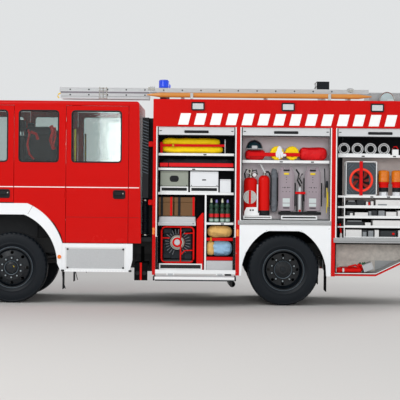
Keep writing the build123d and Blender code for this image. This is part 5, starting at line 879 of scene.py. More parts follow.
piece("generator_lead", "truck", rubber, [tube(lead, 0.007)], smooth=60)
piece("generator_base", "truck", cast_iron,
      [slab((-0.262, 0.155), (-1.064, -0.740), (0.590, 0.640), axis=2, corner=0.02)])

# Bottles and the blanket's straps. Real make: blow-moulded green polyethylene with a waist and ribs, screw
# caps, and a red paper label over a pale one; below them red webbing straps and a grey plate hold the blanket.
bottle_green = finish("blown_green_polyethylene", "#1c3b2c", 0.35, shade=0.2, patch=0.05)
cap_cream = finish("moulded_cream_cap", "#c9ccb4", 0.45)
cap_violet = finish("moulded_violet_cap", "#7d78b8", 0.45)
red_label = finish("printed_red_label", "#c4161c", 0.5, shade=0.1, patch=0.03)
pale_label = finish("pale_paper_label", "#9bb3a6", 0.5, shade=0.2, patch=0.03)
BOTTLE = [(0, 1.1845), (0.030, 1.1845), (0.034, 1.189), (0.034, 1.245), (0.0335, 1.320), (0.0345, 1.330),
          (0.0345, 1.360), (0.026, 1.378), (0.026, 1.392), (0.034, 1.408), (0.034, 1.430), (0.022, 1.455),
          (0.0125, 1.468), (0.0125, 1.482), (0, 1.482)]
bottles, creams, violets, labels, pales = [], [], [], [], []
for x in (0.470, 0.630):
    for shift, caps in ((-0.040, creams), (0.036, violets)):
        place = (x + shift, -1.035, 0)
        bottles.append(turned(BOTTLE, place, axis=2, count=20))
        top = 1.530 if caps is creams else 1.515
        caps.append(turned([(0, 1.4725), (0.017, 1.4725), (0.017, 1.500), (0.012, 1.510), (0.010, top), (0, top)],
                           place, axis=2, count=16))
        labels.append(sleeve(0.0342, 0.0346, 1.262, 1.312, place, axis=2, count=20))
        pales.append(sleeve(0.0342, 0.0345, 1.200, 1.240, place, axis=2, count=20))
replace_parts(piece("bottles", "truck", bottle_green, bottles, smooth=40), "kit_machines")
piece("bottle_caps_cream", "truck", cap_cream, creams)
piece("bottle_caps_violet", "truck", cap_violet, violets)
piece("bottle_labels_red", "truck", red_label, labels)
piece("bottle_labels_pale", "truck", pale_label, pales)
piece("low_plate", "truck", light_grey,
      [slab((0.364, 0.742), (-1.117, -1.112), (0.480, 0.634), corner=0.003, edge=0.001)])
piece("low_straps", "truck", red_webbing,
      [slab((0.362, 0.742), (-1.119, -1.1165), z, corner=0.002, edge=0.0006) for z in ((0.640, 0.690), (0.922, 0.966))])

# Middle locker, extinguishers. Real make: deep-drawn steel cylinders in red enamel on white pull-out trays,
# with plated valves, black levers and a grey horn, and a coil of pale hose strapped before the left one.
hose_white = finish("woven_white_hose_cloth", "#c9c8c4", 0.7, shade=0.15, patch=0.02, grain=0.002, depth=0.0004)
foam_x, foam_y = 0.995, -0.960
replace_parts(piece("foam_cylinder", "truck", kit_red, [
    turned([(0, 1.2915), (0.090, 1.2915), (0.0975, 1.300), (0.0975, 1.780), (0.092, 1.806), (0.075, 1.826),
            (0.040, 1.840), (0, 1.840)], (foam_x, foam_y, 0), axis=2, count=40)]), "kit_machines")
piece("foam_valve", "truck", plated, [
    turned([(0, 1.838), (0.034, 1.838), (0.034, 1.862), (0.022, 1.868), (0.022, 1.930), (0.030, 1.936),
            (0.030, 1.962), (0.010, 1.968), (0, 1.968)], (foam_x, foam_y, 0), axis=2, count=24),
    turned([(0, 0), (0.033, 0), (0.035, 0.008), (0.030, 0.013), (0, 0.013)], (foam_x + 0.055, -1.000, 1.878),
           way=-1, count=28),
    tube([(foam_x, foam_y, 1.900), (foam_x + 0.050, -0.985, 1.885)], 0.010),
    sleeve(0.026, 0.036, 0, 0.010, (foam_x - 0.020, -1.010, 1.930), way=-1, count=28)])
piece("foam_levers", "truck", black_abs, [
    slab((foam_x - 0.075, foam_x + 0.020), (-0.975, -0.945), (1.945, 1.960), axis=2, corner=0.01),
    tube([(foam_x - 0.06, -0.975, 1.952), (foam_x - 0.088, -1.010, 1.900), (foam_x - 0.080, -1.020, 1.830)], 0.012),
    tube([(foam_x + 0.010, -0.975, 1.930), (foam_x + 0.080, -1.005, 1.950), (foam_x + 0.095, -1.010, 1.880)], 0.009)])
piece("foam_gauge", "truck", white_case, [
    disc(0.025, 0, 0.0015, (foam_x + 0.055, -1.0135, 1.878), way=-1, count=24)])
coil = [turned([(r - 0.0095, 0.006), (r - 0.006, 0.017), (r + 0.006, 0.017), (r + 0.0095, 0.006), (r + 0.006, 0.0),
                (r - 0.006, 0.0)], (0.985, -1.0620, 1.557), way=-1, count=40, closed=True)
        for r in (0.028, 0.048, 0.068, 0.088)]
piece("coiled_hose", "truck", hose_white, coil)
piece("coil_strap", "truck", red_webbing, [slab((0.968, 1.000), (-1.0825, -1.0795), (1.462, 1.652),
                                                          corner=0.004, edge=0.001)])
dry_x, dry_y = 1.190, -1.000
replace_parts(piece("dry_extinguisher", "truck", kit_red, [
    turned([(0, 1.366), (0.0815, 1.366), (0.0815, 1.800), (0.076, 1.832), (0.058, 1.858), (0.030, 1.872),
            (0, 1.872)], (dry_x, dry_y, 0), axis=2, count=40)]), "kit_machines")
piece("dry_base", "truck", black_abs, [
    turned([(0, 1.2915), (0.080, 1.2915), (0.0835, 1.298), (0.0835, 1.364), (0, 1.364)], (dry_x, dry_y, 0),
           axis=2, count=40)])
piece("dry_valve", "truck", plated, [
    turned([(0, 1.871), (0.020, 1.871), (0.020, 1.900), (0.014, 1.905), (0.014, 1.928), (0, 1.928)],
           (dry_x, dry_y, 0), axis=2, count=20)])
piece("dry_lever", "truck", black_abs, [
    slab((dry_x - 0.015, dry_x + 0.068), (-1.015, -0.985), (1.924, 1.937), axis=2, corner=0.006),
    tube([(dry_x + 0.060, -1.0, 1.930), (dry_x + 0.092, -1.01, 1.890)], 0.007),
    tube([(dry_x + 0.010, -1.010, 1.905), (dry_x + 0.060, -1.040, 1.925), (dry_x + 0.098, -1.060, 1.840),
          (dry_x + 0.098, -1.060, 1.560), (dry_x + 0.092, -1.050, 1.440)], 0.011)])
horn_path = np.linspace((1.205, -1.055, 1.905), (1.130, -1.045, 2.035), 5)
piece("discharge_horn", "truck", light_grey, [tube(horn_path, 0.017, count=14)], smooth=50)
bracket = prism([(0.905, 1.292), (0.908, 1.352), (0.936, 1.408), (1.084, 1.413), (1.084, 1.292)], (-1.102, -1.097))
left_frame, left_slot = grip_front((0.890, 1.300), (1.2425, 1.2905), front=1.1295)
right_frame, right_slot = grip_front((1.436, 1.955), (1.2385, 1.2955), front=1.1295)
piece("extinguisher_tray", "truck", white_frame_paint, [
    bracket, left_frame, right_frame,
    slab((1.083, 1.101), (-1.110, -1.100), (1.292, 1.742), corner=0.003),
    slab((1.101, 1.118), (-1.102, -1.097), (1.292, 1.330), corner=0.003)])
piece("extinguisher_tray_slots", "truck", black_abs, [
    left_slot, right_slot, slab((0.982, 1.006), (-1.1045, -1.1018), (1.358, 1.380), corner=0.003),
    slab((1.018, 1.042), (-1.1045, -1.1018), (1.358, 1.380), corner=0.003)])

# Breathing sets. Real make: a moulded mauve-grey carrying plate with rolled rims, holes and a handle at the
# top, on a wound-fibre cylinder, with black webbing; both sets stand on a black bar, and lines and tools hang
# beside them.
plate_mauve = finish("moulded_mauve_grey_plate", "#968a90", 0.5, shade=0.08, patch=0.1, grain=0.0015, depth=0.0002)
pale_enamel = finish("pale_grey_enamel", "#c3cccb", 0.4, shade=0.05, patch=0.05)
carbon_wound = finish("wound_fibre_cylinder", "#1d1f22", 0.3, shade=0.2, patch=0.03, coat=0.4)
PLATE = np.array([(-0.113, 1.362), (-0.113, 1.925), (-0.084, 1.968), (-0.078, 2.001), (-0.052, 2.001),
                  (-0.046, 1.972), (0.046, 1.972), (0.052, 2.001), (0.078, 2.001), (0.084, 1.968),
                  (0.113, 1.925), (0.113, 1.362)])
PLATE_MIDDLE = np.array((0, 1.68))
# rolled rim of the plate, from its back: inset, y
PLATE_EDGE = ((0.003, -1.001), (0, -1.004), (0, -1.056), (0.004, -1.060), (0.011, -1.060), (0.014, -1.052))
plates, rims, tags, holes, labels, cylinders, harness = [], [], [], [], [], [], []
for x in (1.511, 1.892):
    plates.append(loft([at_y(PLATE - np.sign(PLATE - PLATE_MIDDLE) * inset, y, x) for inset, y in PLATE_EDGE]))
    rims += [slab((x + s * 0.086 - 0.004, x + s * 0.086 + 0.004), (-1.0575, -1.0515), (1.400, 1.930), corner=0.003)
             for s in (-1, 1)]
    rims.append(slab((x - 0.060, x + 0.060), (-1.0560, -1.0515), (1.556, 1.562), corner=0.002))
    tags.append(slab((x - 0.036, x + 0.036), (-1.0600, -1.0525), (1.884, 1.912), corner=0.006))
    for dx, z, radius in ((0, 1.850, 0.007), (0, 1.815, 0.006), (0, 1.775, 0.006), (-0.022, 1.700, 0.009),
                          (0.022, 1.700, 0.009), (-0.050, 1.700, 0.006), (0.050, 1.700, 0.006), (0, 1.640, 0.006),
                          (-0.050, 1.640, 0.006), (0.050, 1.640, 0.006)):
        holes.append(disc(radius, 0, 0.0012, (x + dx, -1.0520, z), way=-1, count=12))
    holes.append(slab((x - 0.045, x + 0.045), (-1.0545, -1.0518), (1.934, 1.962), corner=0.010, edge=0.0005))
    labels += [slab((x - 0.052, x + 0.052), (-1.0545, -1.0518), z, corner=0.004)
               for z in ((1.425, 1.470), (1.480, 1.545))]
    holes.append(slab((x - 0.045, x + 0.045), (-1.0570, -1.0545), (1.398, 1.412), corner=0.004))
    cylinders.append(turned([(0, 1.330), (0.045, 1.334), (0.072, 1.352), (0.080, 1.385), (0.080, 1.820),
                             (0.070, 1.865), (0.040, 1.890), (0, 1.900)], (x, -0.900, 0), axis=2, count=32))
    harness += [slab((x + s * 0.128 - 0.009, x + s * 0.128 + 0.009), (-1.045, -1.036), (z, z + 0.34), corner=0.006)
                for s, z in ((-1, 1.500), (1, 1.430))]
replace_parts(piece("breathing_plates", "truck", plate_mauve, plates, smooth=35), "kit_machines")
piece("breathing_rims", "truck", plate_mauve, rims)
piece("breathing_tags", "truck", finish("yellow_abs_tag", "#e3c51b", 0.45, shade=0.06, patch=0.03), tags)
piece("breathing_holes", "truck", black_abs, holes)
piece("breathing_plaques", "truck", pale_enamel, labels)
piece("breathing_cylinders", "truck", carbon_wound, cylinders)
piece("breathing_harness", "truck", black_webbing, harness + [
    tube([(1.650, -1.030, 1.960), (1.690, -1.060, 1.900), (1.672, -1.065, 1.800), (1.715, -1.060, 1.720)], 0.012),
    tube([(1.740, -1.040, 1.900), (1.700, -1.065, 1.830), (1.735, -1.060, 1.760)], 0.010),
    slab((1.655, 1.672), (-1.062, -1.055), (1.330, 1.640), corner=0.004),
    slab((1.742, 1.760), (-1.062, -1.055), (1.330, 1.620), corner=0.004),
    slab((1.396, 2.012), (-1.105, -1.062), (1.308, 1.350), corner=0.008)])
piece("mask_tube", "truck", light_grey, [
    turned([(0, 1.345), (0.022, 1.345), (0.024, 1.360), (0.024, 1.690), (0.016, 1.705), (0, 1.705)],
           (1.706, -1.045, 0), axis=2, count=20)])
piece("mask_bands", "truck", red_webbing, [
    slab((1.640, 1.785), (-1.078, -1.073), (1.606, 1.640), corner=0.004),
    slab((1.690, 1.722), (-1.078, -1.073), (1.352, 1.380), corner=0.004)])
piece("hanging_lines", "truck", yellow_mark, [
    tube([(2.095, -1.060, 1.700), (2.100, -1.065, 1.500), (2.092, -1.060, 1.340)], 0.006),
    tube([(2.110, -1.060, 1.640), (2.112, -1.068, 1.420)], 0.006)])
piece("hanging_tools", "truck", oily_steel, [
    tube([(2.060, -1.050, 1.980), (2.072, -1.055, 1.700), (2.070, -1.055, 1.560)], 0.008),
    slab((2.082, 2.112), (-1.062, -1.050), (1.700, 1.800), corner=0.006)])

# Helmet and glove on the top shelf. Real make: a glass-fibre shell in dark teal enamel with a ridge and a
# brim; the white leather glove hangs over the red belt before the rolled covers.
helmet_teal = finish("dark_teal_helmet_enamel", "#17323a", 0.25, shade=0.1, patch=0.05, coat=0.4)


def dome(centre, size, power=2.4, ridge=0.05, rows=14, count=36):
    """Half of a superellipsoid: the height falls with the radius to a power, and a narrow ridge along y
    raises it by a share of its height."""
    share = np.sin(np.linspace(0, np.pi / 2, rows))[:, None]
    turn = np.linspace(0, 2 * np.pi, count, endpoint=False)[None, :]
    x, y = share * np.cos(turn), share * np.sin(turn)
    z = np.maximum(1 - share ** power, 0) ** (1 / 1.8) * (1 + ridge * np.exp(-(x / 0.1) ** 2))
    grid = np.stack((x * size[0], y * size[1], z * size[2]), axis=2)[1:] + np.array(centre)
    points, faces = skin(grid, around=True)
    top = np.array([[centre[0], centre[1], centre[2] + size[2] * (1 + ridge)]])
    caps = [[len(points), i, (i + 1) % count] for i in range(count)]
    return np.vstack((points, top)), faces + caps + [list(range(len(points) - count, len(points)))]


piece("helmet_shell", "truck", helmet_teal, [
    dome((1.045, -0.960, 2.2565), (0.122, 0.140, 0.125)),
    slab((0.915, 1.175), (-1.108, -0.815), (2.2485, 2.2580), axis=2, corner=0.11, edge=0.003)], smooth=45)
piece("helmet_trim", "truck", light_grey, [
    slab((0.925, 1.165), (-1.1105, -1.1085), (2.2495, 2.2570), corner=0.003, edge=0.0006),
    slab((1.005, 1.085), (-1.0995, -1.0895), (2.2590, 2.300), corner=0.01)])
piece("shelf_belt", "truck", red_webbing, [
    slab((0.960, 1.700), (-1.1185, -1.1155), (2.147, 2.200), corner=0.004, edge=0.001),
    slab((0.830, 0.838), (-1.060, -1.040), (2.095, 2.420), corner=0.002)])
glove_lobes = [(1.405, 2.235, 0.036, 0.060), (1.372, 2.180, 0.022, 0.048), (1.442, 2.172, 0.020, 0.045),
               (1.405, 2.150, 0.017, 0.044), (1.478, 2.166, 0.024, 0.020)]
around = np.linspace(0, 2 * np.pi, 20, endpoint=False)
lobes = [loft([at_y(np.column_stack((wide * share * np.cos(around), high * share * np.sin(around))), y, x, z)
               for share, y in ((0.15, -1.1265), (0.7, -1.1250), (1.0, -1.1205), (0.8, -1.1180))])
         for x, z, wide, high in glove_lobes]
piece("leather_glove", "truck", finish("white_grain_leather", "#dcdfe3", 0.6, shade=0.08, patch=0.02, grain=0.003,
                                       depth=0.0005), lobes, smooth=50)

# Rear locker, branch pipes and lamps. Real make: turned aluminium branch pipes with rubber-edged rims lie
# with their mouths out; amber flash lamps of ribbed polycarbonate stand on red and white feet.
branch_silver = finish("turned_aluminium", "#d2d3d3", 0.3, metallic=0.55, shade=0.06, patch=0.05)
# Near-black finish: painted shade on the mud guards, pipe bores, arch sheets and tray board, and the real black of
# seals and of the sooty tail pipe.
shade_and_trim_black = finish("black_painted_shade_and_trim", "#08090a", 0.8, shade=0.1, patch=0.1, Specular_IOR_Level=0.1)
# The mud guards are near-black as painted shade inside the arches.
dress(shade_and_trim_black, "mud_guards")
BRANCH_X = (2.335, 2.530, 2.718, 2.910)
pipes, bores = [], []
for x in BRANCH_X:
    seat = (x, 0, 2.266)
    pipes.append(turned([(0.050, 1.060), (0.050, 1.104), (0.054, 1.108), (0.062, 1.108), (0.064, 1.102),
                         (0.070, 1.102), (0.072, 1.109), (0.082, 1.109), (0.0855, 1.104), (0.0855, 1.060),
                         (0.072, 1.040), (0.066, 0.960), (0.066, 0.765), (0.050, 0.762), (0.050, 0.800)],
                        seat, way=-1, count=48, closed=True))
    # Each pipe's mouth is closed by a black disc: painted shade inside the bore.
    bores.append(disc(0.0495, 1.058, 1.062, seat, way=-1, count=32))
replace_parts(piece("branch_pipes", "truck", branch_silver, pipes), "kit_machines")
piece("branch_bore_shades", "truck", shade_and_trim_black, bores)
piece("branch_seals", "truck", rubber, [
    sleeve(0.0640, 0.0700, 1.100, 1.1045, (x, 0, 2.266), way=-1, count=40) for x in BRANCH_X])
piece("branch_rest", "truck", white_frame_paint, [
    slab((2.215, 3.000), (-1.112, -1.100), (2.1815, 2.200), corner=0.003),
    slab((3.030, 3.120), (-1.112, -1.020), (2.1815, 2.262), corner=0.005)])
piece("rest_strap", "truck", red_webbing,
      [tube([(3.035, -1.100, 2.266), (3.050, -1.105, 2.300), (3.090, -1.105, 2.305), (3.112, -1.100, 2.268)], 0.008)])

amber_glass = finish("amber_polycarbonate", "#d9760f", 0.2, shade=0.15, patch=0.03, coat=0.5)
lenses, red_feet, dark_feet, white_feet = [], [], [], []
for x in (2.921, 3.113, 3.300):
    seat = (x, -1.000, 0)
    lens = [(0, 1.7925), (0.074, 1.7925)]
    for z in np.linspace(1.800, 1.940, 15):
        lens.append((0.081 + 0.0022 * np.cos((z - 1.8) * 2 * np.pi / 0.020), z))
    lens += [(0.070, 1.957), (0.045, 1.964), (0, 1.965)]
    lenses.append(turned(lens, seat, axis=2, count=36))
    red_feet.append(turned([(0, 1.712), (0.066, 1.712), (0.070, 1.718), (0.070, 1.764), (0.080, 1.768),
                            (0.080, 1.786), (0.076, 1.7915), (0, 1.7915)], seat, axis=2, count=36))
    dark_feet.append(disc(0.068, 1.650, 1.711, seat, axis=2, count=24))
    white_feet.append(turned([(0, 1.5925), (0.069, 1.5925), (0.069, 1.600), (0.060, 1.612), (0.064, 1.649),
                              (0, 1.649)], seat, axis=2, count=6))
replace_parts(piece("flash_lamps", "truck", amber_glass, lenses), "kit_machines")
piece("flash_lamp_collars", "truck", kit_red, red_feet)
piece("flash_lamp_bodies", "truck", black_abs, dark_feet)
piece("flash_lamp_feet", "truck", white_case, white_feet)

# Smoke fan. Real make: a rotation-moulded dark-grey housing with three vanes in each corner, in a white
# frame; its round mouth is edged in red, and a red strap ties it down.
fan_grey = finish("moulded_dark_grey_plastic", "#3b4247", 0.55, shade=0.08, patch=0.1, grain=0.003, depth=0.0003)
ring_red = finish("red_moulded_ring", "#f5371c", 0.4, shade=0.06, patch=0.05)
FAN_X = (2.361, 2.815)
FAN_Z = (1.5925, 2.089)
mouth = (2.588, 1.818)
mouth_seat = (mouth[0], 0, mouth[1])
corners = rounded(0.430, 0.460, 0.045)
HOUSING = (np.mean(FAN_X), 1.838)
face_rows = [at_y(corners * share, y, *HOUSING)
             for share, y in ((1.0, -0.802), (1.0, -1.070), (0.985, -1.084), (0.96, -1.088))]
around = np.arctan2(corners[:, 1] + (HOUSING[1] - mouth[1]), corners[:, 0])
for radius, y in ((0.158, -1.084), (0.150, -1.086), (0.148, -1.030)):
    face_rows.append(at_y(radius * np.column_stack((np.cos(around), np.sin(around))), y, *mouth))
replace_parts(piece("fan_housing", "truck", fan_grey, [loft(face_rows)], smooth=35), "kit_machines")
piece("fan_ring", "truck", ring_red, [
    turned([(0.139, 1.040), (0.139, 1.090), (0.146, 1.098), (0.164, 1.098), (0.172, 1.092), (0.172, 1.0895),
            (0.158, 1.0895), (0.150, 1.040)], mouth_seat, way=-1, count=56, closed=True)])
piece("fan_throat", "truck", finish("dark_red_throat", "#8c2416", 0.6, shade=0.2, patch=0.08),
      [disc(0.145, 1.034, 1.038, mouth_seat, way=-1, count=40)])
sweep = np.linspace(0, 1, 7)
blades = []
for start in np.arange(0, 2 * np.pi, 2 * np.pi / 7):
    radius = 0.035 + (0.132 - 0.035) * sweep
    lead = start + 0.35 * sweep
    rows = [np.column_stack((mouth[0] + radius * np.cos(lead + w), np.full(7, y), mouth[1] + radius * np.sin(lead + w)))
            for w, y in ((0.0, -1.044), (0.42, -1.064), (0.42, -1.068), (0.0, -1.048))]
    blades.append(skin(np.array(rows), along=True))
blades.append(turned([(0, 1.040), (0.040, 1.040), (0.040, 1.070), (0.030, 1.078), (0, 1.078)],
                     mouth_seat, way=-1, count=28))
piece("fan_blades", "truck", black_abs, blades)
vanes = []
for sx in (-1, 1):
    for sz in (-1, 1):
        for step in range(3):
            reach = 0.178 + 0.028 * step
            middle = np.array((HOUSING[0] + sx * reach * 0.85, HOUSING[1] + sz * reach * 0.92))
            along = np.array((-sz, sx)) / np.sqrt(2) * (0.052 - 0.011 * step)
            across_way = np.array((sx, sz)) / np.sqrt(2) * 0.004
            vanes.append(prism([middle - along - across_way, middle + along - across_way,
                                middle + along + across_way, middle - along + across_way], (-1.0865, -1.0935)))
piece("fan_vanes", "truck", finish("grey_blue_vanes", "#525c66", 0.5, shade=0.05, patch=0.05), vanes)
piece("fan_frame", "truck", white_frame_paint, [
    hoop(FAN_X, FAN_Z, y, 0.008, 0.012, 0.0078, steps=3, count=8) for y in (-1.092, -0.810)])
piece("fan_strap", "truck", red_webbing,
      [slab((2.562, 2.608), (-1.1035, -1.1005), (1.5935, 2.088), corner=0.003, edge=0.0008)])

# Small gear in the rear trays. Real thing: couplings, boxes and folded white and red stock in plastic trays,
# each with a low front edge; a bolt cutter with red grips hangs in the narrow bay at the left.
grey_stock = finish("grey_zinc_coating", "#8b8f92", 0.45, metallic=0.4, shade=0.15, patch=0.03)
white_stock = finish("white_hard_plastic", "#d6d5d3", 0.45, shade=0.08, patch=0.04)
dark_stock = finish("dark_moulded_case", "#26292c", 0.55, shade=0.2, patch=0.03)
# kind, x at both ends, z at both ends, depth from the tray front
STOCK = [("dark", (2.380, 2.520), (1.4395, 1.500), 0.012), ("grey", (2.400, 2.500), (1.503, 1.520), 0.015),
         ("dark", (2.530, 2.640), (1.4395, 1.530), 0.020), ("white", (2.660, 2.690), (1.4395, 1.505), 0.010),
         ("red", (2.695, 2.716), (1.4395, 1.500), 0.012), ("white", (2.730, 2.768), (1.4395, 1.512), 0.012),
         ("white", (2.800, 3.300), (1.4395, 1.535), 0.008), ("grey", (2.830, 2.960), (1.455, 1.475), 0.004),
         ("dark", (3.320, 3.460), (1.4395, 1.520), 0.020),
         ("dark", (2.385, 2.480), (1.2905, 1.365), 0.020), ("white", (2.430, 2.470), (1.300, 1.340), 0.012),
         ("white", (2.500, 2.690), (1.2905, 1.350), 0.010), ("grey", (2.700, 2.740), (1.2905, 1.370), 0.014),
         ("dark", (2.748, 2.820), (1.2905, 1.380), 0.012), ("grey", (2.840, 2.930), (1.2905, 1.378), 0.010),
         ("white", (2.950, 3.100), (1.2905, 1.362), 0.010), ("white", (3.120, 3.450), (1.2905, 1.380), 0.016),
         ("dark", (2.360, 2.620), (1.1495, 1.215), 0.012), ("grey", (2.390, 2.600), (1.217, 1.232), 0.014),
         ("white", (2.650, 2.730), (1.1495, 1.205), 0.008), ("white", (2.760, 3.300), (1.1495, 1.238), 0.012),
         ("red", (3.320, 3.350), (1.1495, 1.220), 0.016), ("grey", (3.370, 3.460), (1.1495, 1.230), 0.018),
         ("white", (2.370, 2.600), (0.9875, 1.100), 0.006), ("dark", (2.610, 2.680), (1.075, 1.096), 0.008),
         ("grey", (2.615, 2.672), (0.9875, 1.072), 0.012), ("grey", (2.695, 2.770), (0.9875, 1.088), 0.010),
         ("white", (2.790, 2.850), (0.9875, 1.098), 0.010), ("dark", (2.870, 3.100), (0.9875, 1.090), 0.016),
         ("red", (3.040, 3.075), (1.030, 1.060), 0.008), ("white", (3.130, 3.450), (0.9875, 1.095), 0.012)]
stock_paints = {"dark": dark_stock, "grey": grey_stock, "white": white_stock, "red": kit_red}
for kind, paint in stock_paints.items():
    shapes = [slab(x, (-1.112 + back, -0.780), z, corner=0.005, edge=0.003)
              for row, x, z, back in STOCK if row == kind]
    stocked = piece(f"tray_stock_{kind}", "truck", paint, shapes)
    if kind == "white":
        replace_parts(stocked, "kit_cases")
tray_lips = [slab((2.356, 3.474), (-1.1165, -1.1135), (z, z + 0.014), corner=0.002)
             for z in (1.4395, 1.2905, 1.1495, 0.9875)]
tray_lips += [slab((2.340, 2.356), (-1.1235, -1.1135), (0.9875, 1.5635), corner=0.002)]
piece("tray_lips", "truck", white_frame_paint, tray_lips)
piece("cutter_grips", "truck", kit_red, [
    tube([(2.252, -1.060, 1.185), (2.248, -1.060, 1.140), (2.236, -1.060, 1.050)], 0.012),
    tube([(2.290, -1.060, 1.185), (2.296, -1.060, 1.140), (2.306, -1.060, 1.050)], 0.012)], smooth=50)
piece("cutter_tips", "truck", white_stock, [
    turned([(0, 0.966), (0.014, 0.966), (0.018, 0.985), (0.017, 1.025), (0.011, 1.050), (0, 1.050)],
           (x, -1.060, 0), axis=2, count=16) for x in (2.236, 2.306)])
piece("cutter_jaws", "truck", oily_steel, [
    tube([(2.252, -1.060, 1.180), (2.262, -1.060, 1.215), (2.270, -1.060, 1.225)], 0.009),
    tube([(2.290, -1.060, 1.180), (2.280, -1.060, 1.215), (2.270, -1.060, 1.225)], 0.009),
    slab((2.222, 2.320), (-1.075, -1.050), (1.232, 1.246), corner=0.004),
    slab((2.262, 2.280), (-1.068, -1.052), (1.246, 1.500), corner=0.005)])

# Lower rear bay. Real thing: a red hydraulic spreader with its valves lies on the floor beside a tilted
# grey ribbed block of lifting-bag hose ends; the back wall is worn bare by wet gear.
worn_wall = finish("worn_mill_aluminium", "#d8d1c8", 0.6, metallic=0.1, shade=0.4, patch=0.07, grain=0.004,
                   depth=0.0006)
for side_name, side in SIDES.items():
    piece(f"bay_back_{side_name}", "truck", worn_wall,
          [slab((2.184, 3.300), out(side, *WALL_Y), (0.640, 0.948), corner=0.001, edge=0.0004),
           slab((2.184, 2.840), out(side, *WALL_Y), (0.478, 0.638), corner=0.001, edge=0.0004)])
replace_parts(piece("red_spreader", "truck", kit_red, [
    tube([(2.245, -1.060, 0.5125), (2.600, -1.060, 0.5125)], 0.032, count=18),
    slab((2.255, 2.300), (-1.098, -1.020), (0.476, 0.556), corner=0.012, edge=0.006),
    tube([(2.480, -1.000, 0.500), (2.600, -1.020, 0.545), (2.560, -1.040, 0.600)], 0.018),
    tube([(2.560, -1.040, 0.600), (2.640, -1.050, 0.565), (2.600, -0.980, 0.500)], 0.016),
    tube([(2.420, -1.010, 0.560), (2.520, -1.040, 0.590), (2.575, -1.050, 0.545)], 0.014),
    slab((2.300, 2.560), (-0.960, -0.720), (0.476, 0.552), corner=0.02, edge=0.01)], smooth=45), "kit_cases")
piece("spreader_ends", "truck", white_stock, [
    turned([(0, 2.222), (0.022, 2.222), (0.030, 2.230), (0.030, 2.252), (0, 2.252)], (0, -1.060, 0.5125), axis=0,
           count=20),
    disc(0.0335, 2.330, 2.356, (0, -1.060, 0.5125), axis=0, count=20)])
valve_green = finish("green_anodised_valve", "#4a7a5a", 0.35, metallic=0.6, shade=0.1, patch=0.02)
piece("spreader_valves", "truck", valve_green, [
    turned([(0, 0.560), (0.014, 0.560), (0.018, 0.580), (0.010, 0.600), (0.016, 0.612), (0.006, 0.630), (0, 0.630)],
           (x, y, 0), axis=2, count=14) for x, y in ((2.590, -1.000), (2.628, -1.030), (2.660, -0.960))])
tilt = np.radians(-20)
along = np.array((np.cos(tilt), -np.sin(tilt)))
up = np.array((np.sin(tilt), np.cos(tilt)))
block_foot = np.array((2.648, 0.4875))


def tilted(foot, length, height, y):
    """A block that stands on a foot point and leans with the ribbed block."""
    return prism([foot, foot + along * length, foot + along * length + up * height, foot + up * height], y)


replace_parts(piece("ribbed_block", "truck", light_grey, [
    tilted(block_foot + along * 0.0215 * step, 0.015, 0.105, (-1.095, -0.760)) for step in range(7)] + [
    tilted(block_foot, 0.144, 0.095, (-1.085, -0.770))]), "kit_cases")

# Black sheets in the rear arches, painted shade for the dark inside of the wheel boxes: one over the arch's
# back against the locker wall, one in front of the twin tyres.
for side_name, side in SIDES.items():
    arch_shade_sheet = slab((0.862, 2.088), out(side, 0.6202, 0.6226), (0.885, 1.081), corner=0.004)
    edge = [(0.877, 0.752), (0.877, 0.592), (0.926, 0.478), (0.990, 0.400), (1.080, 0.400), (1.080, 0.752)]
    piece(f"arch_shade_sheets_{side_name}", "truck", shade_and_trim_black, [arch_shade_sheet])
    piece(f"wheel_box_shade_{side_name}", "truck", shade_and_trim_black, [prism(edge, out(side, 0.640, 0.643))])

# Rolled lips round the rear arches, bright where the paint catches the sky. Real make: the mouldings' edge,
# folded back on itself in the mould and painted white with it.
for side_name, side in SIDES.items():
    turn = np.radians(np.linspace(11.7, 57.0, 16))
    rear_half = [(0.603, 0.590)] + list(zip(-0.107 + 0.722 * np.cos(turn), 0.4534 + 0.722 * np.sin(turn)))
    rear_half.append((0.212, 1.0805))
    loop = np.array([(-x, z) for x, z in rear_half] + rear_half[::-1])
    piece(f"arch_lip_{side_name}", "truck", white_paint,
          [tube(at_y(loop, side * 1.2475, REAR_WHEEL[0]), 0.0065, count=8)])

# Edges of the rear lower bays. Real make: the body's red bottom rail and a white edge trim on a rubber strip
# follow the floor up the rear slope; a rubber seal runs down the front post and under the locker floor.
BAY_X = (2.206, 2.80, 3.470)
BAY_FLOOR = 0.4515
BAY_RISE = (BAY_X[2] - BAY_X[1]) * np.tan(np.radians(26))


def sloped(side, y, low, high):
    """A strip along the bay floor's outer edge, from low to high over the body's lower edge."""
    line = [(BAY_X[0], BAY_FLOOR), (BAY_X[1], BAY_FLOOR), (BAY_X[2], BAY_FLOOR + BAY_RISE)]
    section = ((y[0], low), (y[1], low), (y[1], high), (y[0], high))
    return loft([[(x, side * v, z + w) for v, w in section] for x, z in line])


for side_name, side in SIDES.items():
    piece(f"bay_rail_{side_name}", "truck", red_paint, [sloped(side, (1.1905, 1.1960), -0.016, 0.008)])
    piece(f"bay_trim_{side_name}", "truck", white_frame_paint,
          [sloped(side, (1.1905, 1.1970), 0.015, 0.025)])
    piece(f"bay_seal_{side_name}", "truck", shade_and_trim_black, [
        sloped(side, (1.1905, 1.1945), 0.008, 0.015),
        slab((BAY_X[0], BAY_X[0] + 0.020), out(side, 1.1700, 1.1900), (0.480, 0.908), corner=0.002),
        slab((BAY_X[0], BAY_X[2]), out(side, 1.1700, 1.1900), (0.892, 0.910), corner=0.002)])

# Back board of the rear trays: a black sheet on the locker's back wall, painted shade for the shadow in the
# gaps between the stock.
piece("tray_painted_shade_board", "truck", shade_and_trim_black,
      [slab((2.358, 3.472), (-0.6245, -0.6228), (0.962, 1.500), corner=0.004)])

